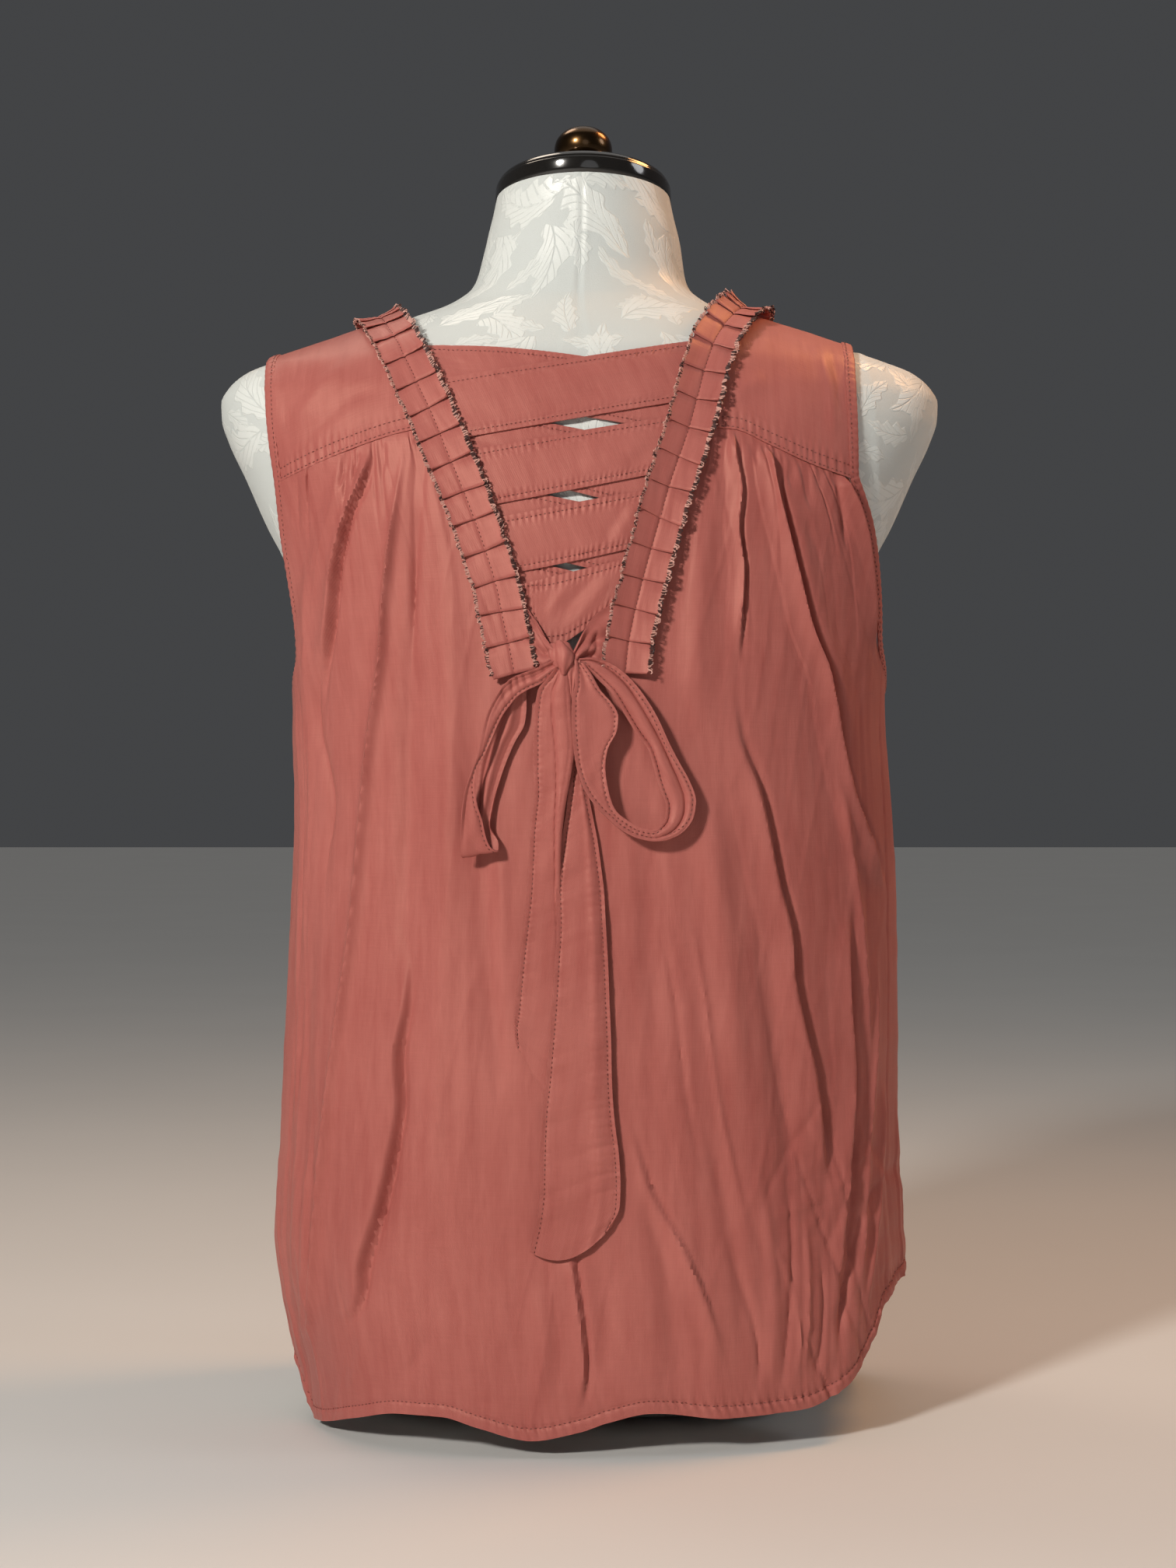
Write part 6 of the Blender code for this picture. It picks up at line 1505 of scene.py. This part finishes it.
KNOT_BANDS = [
    # folds at its left, the band that crosses its front, and the folds drawn in below it
    ([(706, 829, 721, 828, 9.5, 11.5), (705, 837, 719, 836, 11.8, 13.4), (707, 847, 719, 846, 12.6, 14.2), (713, 857, 721, 857, 12.2, 13.4)], 0.9),
    ([(714, 826, 724, 828, 11.0, 11.4), (713, 833, 732, 834, 14.0, 13.2), (714, 841, 739, 841, 15.6, 14.0), (715, 850, 738, 851, 15.9, 14.4),
      (719, 858, 731, 859, 15.0, 14.2), (722, 866, 727, 866, 13.6, 13.4)], 1.9),
    ([(722, 857, 746, 849, 12.6, 12.8), (724, 865, 744, 861, 12.8, 13.0), (728, 877, 741, 875, 12.6, 12.8), (732, 890, 738, 890, 12.2, 12.4),
      (734, 899, 736, 899, 11.8, 12.0)], 0.5),
]


def spot(px, py, out):
    """The point out mm from the support that shows at a place of the photograph's frame."""
    px, py, out = np.broadcast_arrays(np.asarray(px, float), py, np.asarray(out, float) / 1000)
    depth = np.full(px.shape, 1.48)
    for _ in range(5):
        x, z = EYE[0] + (px - 756) * depth / FOCAL, EYE[2] + (1008 - py) * depth / FOCAL
        p = SUPPORT.back_at(x, z)
        p = p + SUPPORT.normal(p) * out[..., None]
        depth = p[..., 1] - EYE[1]
        p = p + np.stack([EYE[0] + (px - 756) * depth / FOCAL - p[..., 0], 0 * depth,
                          EYE[2] + (1008 - py) * depth / FOCAL - p[..., 2]], -1)
    return p


def ribbon(rows, across, spacing, arch=0.0, end_bow=0.0):
    """A grid along a ribbon, its normals, and the run and width along it."""
    rows = np.array(rows, float)
    p, q = spot(rows[:, 0], rows[:, 1], rows[:, 4]), spot(rows[:, 2], rows[:, 3], rows[:, 5])
    chord = run_along((p + q) / 2)
    count = max(int(chord[-1] / spacing), 12)
    at = np.linspace(0, chord[-1], count)
    p = np.stack([smooth(chord, p[:, c], at) for c in range(3)], -1)
    q = np.stack([smooth(chord, q[:, c], at) for c in range(3)], -1)
    for _ in range(3):
        p[1:-1] = (p[:-2] + 2 * p[1:-1] + p[2:]) / 4
        q[1:-1] = (q[:-2] + 2 * q[1:-1] + q[2:]) / 4
    a = np.linspace(0, 1, across + 1)[:, None]
    grid = p[:, None] * (1 - a) + q[:, None] * a
    drop = end_bow * 4 * a[:, 0] * (1 - a[:, 0]) * np.linspace(0, 1, count)[:, None] ** 24
    grid[..., 2] -= drop
    n = free_normals(grid)
    if (n[: count // 3] * SUPPORT.normal(grid[: count // 3])).sum() < 0:
        n = -n
    grid = grid + n * (arch / 1000 * 4 * a * (1 - a))[None]
    wide = np.linalg.norm(grid[:, -1] - grid[:, 0], axis=-1)
    return grid, n, run_along(grid[:, across // 2]), wide


def band(name, rows, cloth, relief, across=26, spacing=0.0011, thick=0.0010, arch=0.0, end_bow=0.0, node=None, seams=(), lines=()):
    grid, n, run, wide = ribbon(rows, across, spacing, arch, end_bow)
    count = len(run)
    a = np.broadcast_to(np.linspace(0, 1, across + 1), (count, across + 1))
    h = relief(run[:, None], a, wide[:, None], run[-1])
    px, py = seen_at(grid)
    for first, last, table in lines:
        share = np.linspace(0, 1, count)[:, None]
        h = h + creases(px, py, table) * ((share >= first) & (share <= last))
    middle = grid + n * (h / 1000)[..., None]
    fine = free_normals(middle)
    fine = fine * np.sign((fine * n).sum(-1, keepdims=True))
    piece = shell(name, middle, fine, thick, cloth, angle=60)
    outer = middle + fine * thick / 2
    for inset in seams:
        at = np.clip(np.where(inset > 0, inset, wide + inset) / wide, 0, 1) * across
        line = [[np.interp(at[j], np.arange(across + 1), outer[j, :, c]) for c in range(3)] for j in range(count)]
        stitch(line, fine[:, across // 2], 0.0027, 0.0017)
    declare(piece, [node])


def hemmed(s, a, w, seed, strength=0.46, inset=0.0024):
    """Puckers between a ribbon's edges and the stitching beside them."""
    left, right = a * w, (1 - a) * w
    total = 0
    for side, shift in ((left, 0.0), (right, 5.0)):
        beat = np.sin(2 * math.pi * s / 0.0034 + 2.4 * noise(s / 0.012, shift, seed)) * (0.7 + 0.3 * noise(s / 0.02, shift, seed + 1))
        total = total + strength * beat * np.exp(-((side - inset) / 0.0022) ** 2)
        total = total - 0.48 * np.exp(-((side - inset) / 0.0007) ** 2) + 0.26 * np.exp(-(side / 0.0009) ** 2)
    return total


def tail_left_relief(s, a, w, length):
    h = hemmed(s, a, w, 81) * (1 - step((a - 0.55) / 0.1)) + 0.6 * hemmed(s, a, w, 82) * step((a - 0.8) / 0.1)
    # its right side is folded over into a rounded strip that narrows and runs out lower down
    fold = 0.46 + 0.40 * step((s - 0.01) / 0.11)
    fades = step(s / 0.006) * (1 - step((s - 0.085) / 0.05))
    u = np.clip((a - fold) / np.maximum(1 - fold, 0.05), 0, 1)
    h = h + fades * (1.7 * np.sin(math.pi * u) ** 0.6 * (a > fold) - 0.5 * np.exp(-((a - fold) / 0.035) ** 2))
    h = h + 0.38 * noise(s / 0.013 + a * 1.2, a * 1.6, 83) + 0.24 * noise(s / 0.0042 + a * 2, a * 1.3, 84)
    return h + 0.5 * np.exp(-s / 0.012) * np.sin(9 * a + 2)


def tail_right_relief(s, a, w, length):
    h = hemmed(s, a, w, 86)
    h = h - 1.7 * step((a - 0.74) / 0.26) * step((s - 0.03) / 0.03) * (1 - 0.5 * step((s - 0.24) / 0.05))
    h = h + 0.5 * np.exp(-((a - 0.73) / 0.07) ** 2) * step((s - 0.03) / 0.03)
    h = h + 0.50 * noise(s / 0.018 + a * 1.4, a * 1.5, 87) + 0.28 * noise(s / 0.0052 + a * 2.4, a * 1.2, 88)
    h = h + 0.22 * np.sin(2 * math.pi * (s / 0.0052 + 0.8 * a)) * step((a - 0.5) / 0.3) * (0.5 + 0.5 * noise(s / 0.03, 2, 89))
    return h


def loop_left_relief(s, a, w, length):
    near = np.exp(-s / 0.022)
    h = near * (1.1 * np.sin(2 * math.pi * (1.5 * a + 0.2)) - 0.7 * np.exp(-((a - 0.45) / 0.1) ** 2))
    pucker = np.sin(2 * math.pi * s / 0.0052 + 2.2 * noise(s / 0.01, 2, 91))
    h = h + 0.62 * pucker * np.exp(-((s - 0.024) / 0.014) ** 2) * (1 - step((a - 0.4) / 0.4))
    h = h + 0.8 * hemmed(s, a, w, 92, 0.22, 0.0016)
    front = 1 - step((s - 0.112) / 0.01)
    h = h + 0.6 * np.sin(2 * math.pi * (a * 1.1 + s / 0.07)) * front * step((s - 0.04) / 0.02)
    # the way back has a deep valley along it
    h = h + (1 - front) * (1.5 * np.exp(-((a - 0.24) / 0.13) ** 2) - 1.9 * np.exp(-((a - 0.52) / 0.13) ** 2) + 0.8 * np.exp(-((a - 0.86) / 0.1) ** 2))
    h = h + 0.35 * noise(s / 0.009 + a, a * 2.2, 93)
    return h * np.clip(w / 0.009, 0.25, 1) * (1 - 0.85 * np.exp(-((s - 0.122) / 0.012) ** 2))


def loop_right_relief(s, a, w, length):
    near = np.exp(-s / 0.020)
    h = near * 1.0 * np.sin(2 * math.pi * (1.4 * a + 0.1))
    h = h + hemmed(s, a, w, 96, 0.30, 0.0022)
    back = step((s - 0.105) / 0.02)
    ends = np.exp(-(length - s) / 0.03)
    # towards the knot the way back is drawn into long folds
    h = h + back * (1.2 * np.exp(-((a - 0.16) / 0.08) ** 2) - 1.3 * np.exp(-((a - 0.33) / 0.055) ** 2) + 1.2 * np.exp(-((a - 0.60) / 0.15) ** 2)
                    - 0.8 * np.exp(-((a - 0.83) / 0.05) ** 2))
    h = h + back * 1.0 * noise(s / 0.016, a * 2.6, 97) + ends * 0.9 * np.sin(2 * math.pi * (2.3 * a + 0.3))
    h = h + 0.30 * noise(s / 0.008 + a, a * 2.2, 98)
    return h * np.clip(w / 0.010, 0.25, 1)


def tie_relief(seed, knot_last):
    def relief(s, a, w, length):
        to_knot = (s if knot_last else length - s) / length
        h = (0.7 + 0.7 * to_knot) * np.sin(2 * math.pi * (2.1 * a + 0.35 * np.sin(5 * to_knot + seed)))
        h = h + 0.7 * noise(a * 7.0, to_knot * 2.0, seed) + 0.25 * np.exp(-(np.minimum(a, 1 - a) * w / 0.0009) ** 2)
        return h * np.clip(w / 0.012, 0.2, 1)
    return relief


def knot(cloth):
    made = []
    for k, (rows, arch) in enumerate(KNOT_BANDS):
        grid, n, run, wide = ribbon(rows, 20, 0.0006, arch)
        a = np.linspace(0, 1, 21)[None, :]
        s = run[:, None] / run[-1]
        h = 0.35 * np.sin(2 * math.pi * (1.6 * a + 0.5 * s + 0.2 * k)) + 0.30 * noise(a * 4 + s, s * 3, 65 + k)
        h = h + (0.9 * np.sin(2 * math.pi * (2.6 * a + 0.3)) * s if k == 2 else 0)
        h = h - 2.2 * (1 - step(np.minimum(a, 1 - a) / 0.16)) * (k < 2)
        middle = grid + n * (h / 1000 * np.clip(wide[:, None] / 0.008, 0.2, 1))[..., None]
        fine = free_normals(middle)
        fine = fine * np.sign((fine * n).sum(-1, keepdims=True))
        made.append((middle + fine * 0.0005, middle - fine * 0.0005))
    points, faces, uv, at = [], [], [], 0
    for outer, inner in made:
        rows, columns = outer.shape[:2]
        grid = np.concatenate([outer, inner[:, ::-1]], 1)
        wide = columns * 2
        points.append(grid.reshape(-1, 3))
        uv.append(grid[..., (0, 2)].reshape(-1, 2))
        J, I = np.meshgrid(np.arange(rows - 1), np.arange(wide), indexing="ij")
        p, q = at + J * wide + I, at + J * wide + (I + 1) % wide
        some = np.stack([p, q, q + wide, p + wide], -1).reshape(-1, 4)
        ends = [[at + i for i in range(wide)][::-1], [at + (rows - 1) * wide + i for i in range(wide)]]
        caps = []
        for e in ends:
            for i in range(columns - 1):
                caps.append([e[i], e[i + 1], e[wide - 2 - i], e[wide - 1 - i]])
        c = points[-1].mean(0)
        v = points[-1] - c
        tri = some - at
        if np.einsum("ij,ij->i", v[tri[:, 0]], np.cross(v[tri[:, 1]], v[tri[:, 2]])).sum() < 0:
            some = some[:, ::-1]
            caps = [f[::-1] for f in caps]
        faces += some.tolist() + caps
        at += rows * wide
    piece = make("bow_knot_cloth", np.concatenate(points), faces, cloth, np.concatenate(uv), angle=60)
    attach(piece, "root")
    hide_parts("bow_knot")
    # the turns of cloth inside it
    x, z, out = KNOT_AT
    centre = SUPPORT.back_at(np.array(x), np.array(z))
    centre = centre + SUPPORT.normal(centre) * 0.0108
    t, f = np.linspace(0, math.pi, 25)[:, None], np.linspace(0, 2 * math.pi, 48, endpoint=False)[None, :]
    r = 1 + 0.06 * np.sin(5 * t + 2 * np.sin(f))
    grid = centre + np.stack([0.0066 * np.sin(t) * np.cos(f) * r, 0.0038 * np.sin(t) * np.sin(f) * r, 0.0078 * np.cos(t) * r * np.ones_like(f)], -1)
    points = np.concatenate([grid[:1].mean(1), grid[1:-1].reshape(-1, 3), grid[-1:].mean(1)])
    faces, last = [], 1 + 22 * 48
    for j in range(22):
        for k in range(48):
            p, q = 1 + j * 48 + k, 1 + j * 48 + (k + 1) % 48
            faces.append((q, p, p + 48, q + 48))
    for k in range(48):
        faces.append((1 + k, 1 + (k + 1) % 48, 0))
        faces.append((last + (k + 1) % 48, last + k, len(points) - 1))
    core = make("bow_knot_core", points, faces, cloth, points[:, (0, 2)], angle=80)
    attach(core, "root")


def build_bow(cloth):
    knot(cloth)
    band("tie_left_cloth", TIE_LEFT_ROWS, cloth, tie_relief(71, True), 30, 0.0006, node="tie_left", lines=[
        (0, 1, [("sharp", 3, -1.4, 0.2, 0.1, [(679, 800), (692, 816), (706, 838), (714, 846)]),
                ("sharp", 3, -1.2, 0.2, 0.1, [(684, 838), (700, 842), (715, 849)]),
                ("soft", 4, 0.9, 0.2, 0.1, [(682, 822), (700, 834), (714, 845)])])])
    band("tie_right_cloth", TIE_RIGHT_ROWS, cloth, tie_relief(73, False), 30, 0.0006, node="tie_right", lines=[
        (0, 1, [("sharp", 3, -1.5, 0.1, 0.2, [(742, 848), (757, 834), (771, 808)]),
                ("sharp", 3, -1.4, 0.1, 0.2, [(744, 851), (760, 846), (770, 816)]),
                ("soft", 4, 0.9, 0.1, 0.2, [(742, 846), (752, 836), (766, 815)])])])
    band("tail_left_cloth", TAIL_LEFT_ROWS, cloth, tail_left_relief, 34, 0.0011, node="tail_left", seams=(0.0024,))
    band("tail_right_cloth", TAIL_RIGHT_ROWS, cloth, tail_right_relief, 34, 0.0012, end_bow=0.010, node="tail_right", seams=(0.0024, -0.0024))
    band("bow_loop_left_cloth", LOOP_LEFT_ROWS, cloth, loop_left_relief, 24, 0.0010, node="bow_loop_left", seams=(-0.0016,))
    band("bow_loop_right_cloth", LOOP_RIGHT_ROWS, cloth, loop_right_relief, 28, 0.0010, node="bow_loop_right", seams=(0.0022, -0.0018))


# ---------------------------------------------------------------- the dress form
def form_torso(damask):
    heights = np.concatenate([np.linspace(0, 0.026, 14), np.linspace(0.034, 0.42, 50)])
    z = np.linspace(0.42, 0.7025, 900)
    wide = FORM.sizes(z)[0]
    run = np.concatenate([[0], np.cumsum(np.hypot(np.diff(wide), np.diff(z)))])
    heights = np.concatenate([heights, np.interp(np.linspace(0, run[-1], 150)[1:], run, z)])
    segments = 288
    turn = 4 * np.arange(segments) / segments
    place = np.where(turn < 2, turn - 1, 3 - turn)
    rings = []
    for h in heights:
        back = FORM.ring(place, np.full(segments, h), 1)
        front = FORM.ring(place, np.full(segments, h), -1)
        ring = np.where((turn < 2)[:, None], back, front)
        rings.append(ring)
    grid = np.stack(rings)
    n = FORM.normal(grid)
    # sewn joins of the cover: down the middle of the back, and round each arm end
    x, z = grid[..., 0], grid[..., 2]
    back_side = grid[..., 1] < 0
    groove = -0.7 * np.exp(-(((x + 0.0004) / 0.0012) ** 2)) * back_side * step((0.7 - z) / 0.01)
    groove = groove + 0.25 * np.exp(-(((np.abs(x + 0.0004) - 0.003) / 0.0016) ** 2)) * back_side
    for sign in (-1, 1):
        seam = 0.163 - 0.09 * (z - 0.56)
        groove = groove - 0.6 * np.exp(-(((sign * x - seam) / 0.0014) ** 2)) * step((z - 0.44) / 0.02)
        groove = groove + 0.35 * np.exp(-(((sign * x - seam - 0.0035) / 0.002) ** 2)) * step((z - 0.44) / 0.02)
    grid = grid + n * (groove / 1000)[..., None]
    lean = np.clip((grid[..., 2] - 0.640) / 0.035, 0, 1)
    grid[..., 2] += lean * CAP_TILT * (NECK_MIDDLE - grid[..., 1])
    grid[..., 0] += NECK_SHIFT * lean
    rows = len(heights)
    around = np.linalg.norm(np.roll(grid, -1, 1) - grid, axis=-1)
    u = np.concatenate([np.zeros((rows, 1)), np.cumsum(around, 1)[:, :-1]], 1)
    centre = segments // 4
    u = u - u[:, centre:centre + 1]
    v = np.concatenate([np.zeros((1, segments)), np.cumsum(np.linalg.norm(np.diff(grid, axis=0), axis=-1), 0)], 0)
    uv = np.stack([u, np.broadcast_to(v[:, centre:centre + 1], v.shape) * 0.5 + v * 0.5], -1)
    points = grid.reshape(-1, 3)
    J, I = np.meshgrid(np.arange(rows - 1), np.arange(segments), indexing="ij")
    a, b = J * segments + I, J * segments + (I + 1) % segments
    faces = np.stack([a, b, b + segments, a + segments], -1).reshape(-1, 4).tolist()
    faces.append(tuple(range(segments))[::-1])
    faces.append(tuple((rows - 1) * segments + k for k in range(segments)))
    piece = make("form_torso_cover", points, faces, damask, uv.reshape(-1, 2), angle=60)
    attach(piece, "root")
    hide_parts("form_torso")


def turned(name, profile, width, depth, base, material, segments, node, split=None):
    profile = np.array(profile)
    points = []
    f = 2 * math.pi * np.arange(segments) / segments
    for r, h in profile:
        y = r * depth * np.sin(f)
        points.append(np.stack([NECK_SHIFT + r * width * np.cos(f), NECK_MIDDLE + y, base + h - CAP_TILT * y], -1))
    points = np.concatenate(points)
    faces = []
    last = len(profile) - 1
    for j in range(last):
        for k in range(segments):
            a, b = j * segments + k, j * segments + (k + 1) % segments
            faces.append((a, b, b + segments, a + segments))
    faces.append(tuple(range(segments))[::-1])
    faces.append(tuple(last * segments + k for k in range(segments)))
    piece = make(name, points, faces, material, angle=40)
    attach(piece, "root")
    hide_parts(node)
    return piece


def arc(points, count):
    return rounded(points, count).tolist()


def build_form():
    form_torso(damask_material("form_damask"))
    gloss = plain_material("cap_gloss_black", (0.010, 0.009, 0.008), 0.12, coat=0.6, scale=60.0)
    bronze = plain_material("knob_dark_bronze", (0.085, 0.045, 0.018), 0.24, metallic=1.0, coat=0.25, scale=140.0, grain=0.08)
    sizes = FORM.sizes(np.array(0.7025))
    width, depth = float(sizes[0]), float((sizes[2] + sizes[3]) / 2)
    cap = (arc([(0.985, 0.0), (1.012, 0.0006), (1.020, 0.0026), (1.019, 0.0060), (1.006, 0.0092), (0.978, 0.0118)], 26)
           + arc([(0.975, 0.0119), (0.93, 0.0134), (0.80, 0.0145), (0.60, 0.0151), (0.42, 0.0154)], 14)[1:])
    turned("form_cap_disc", cap, width, depth, 0.7025 + GAP, gloss, 128, "form_cap")
    knob = ([(0.0190, 0.0), (0.0194, 0.0003), (0.0194, 0.0011), (0.0188, 0.0014)]
            + arc([(0.0112, 0.0015), (0.0102, 0.0026), (0.0104, 0.0042), (0.0128, 0.0064), (0.0156, 0.0096), (0.0170, 0.0138),
                   (0.0171, 0.0168), (0.0160, 0.0212), (0.0128, 0.0252), (0.0080, 0.0279), (0.0030, 0.0290)], 40))
    turned("form_knob_turned", knob, 1.0, 1.0, 0.7025 + 0.0155 + 0.0010 + GAP, bronze, 72, "form_knob")


# ---------------------------------------------------------------- everything
stage()
cloth = cloth_material("cloth_brick_satin")
# the stitch thread is much darker than the cloth: painted shade of the needle holes around each stitch
thread = plain_material("stitch_thread_painted_shade", (0.150, 0.036, 0.028), 0.6, scale=900.0)
pale = plain_material("fray_pale", (0.56, 0.30, 0.25), 0.7, scale=900.0)
# near-black loose threads: painted shadow among the fray of the raw edges
dark = plain_material("fray_painted_shadow", (0.045, 0.016, 0.014), 0.7, scale=900.0)
build_form()
edges, lines = build_body(cloth)
for seed, name in enumerate(("strap_l1", "strap_l2", "strap_l3", "strap_l4", "strap_r1", "strap_r2", "strap_r3", "strap_r4")):
    strap(name, cloth, edges[0], edges[1], 200 + 10 * seed)
ruffle("ruffle_left_pleats", lines[0], cloth, 301, -0.3, -0.5, 0.7)
ruffle("ruffle_right_pleats", lines[1], cloth, 302, 2.3, 0.9, 0.0)
build_bow(cloth)
for piece in (stitches(thread), fibres([pale, dark])):
    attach(piece, "root")
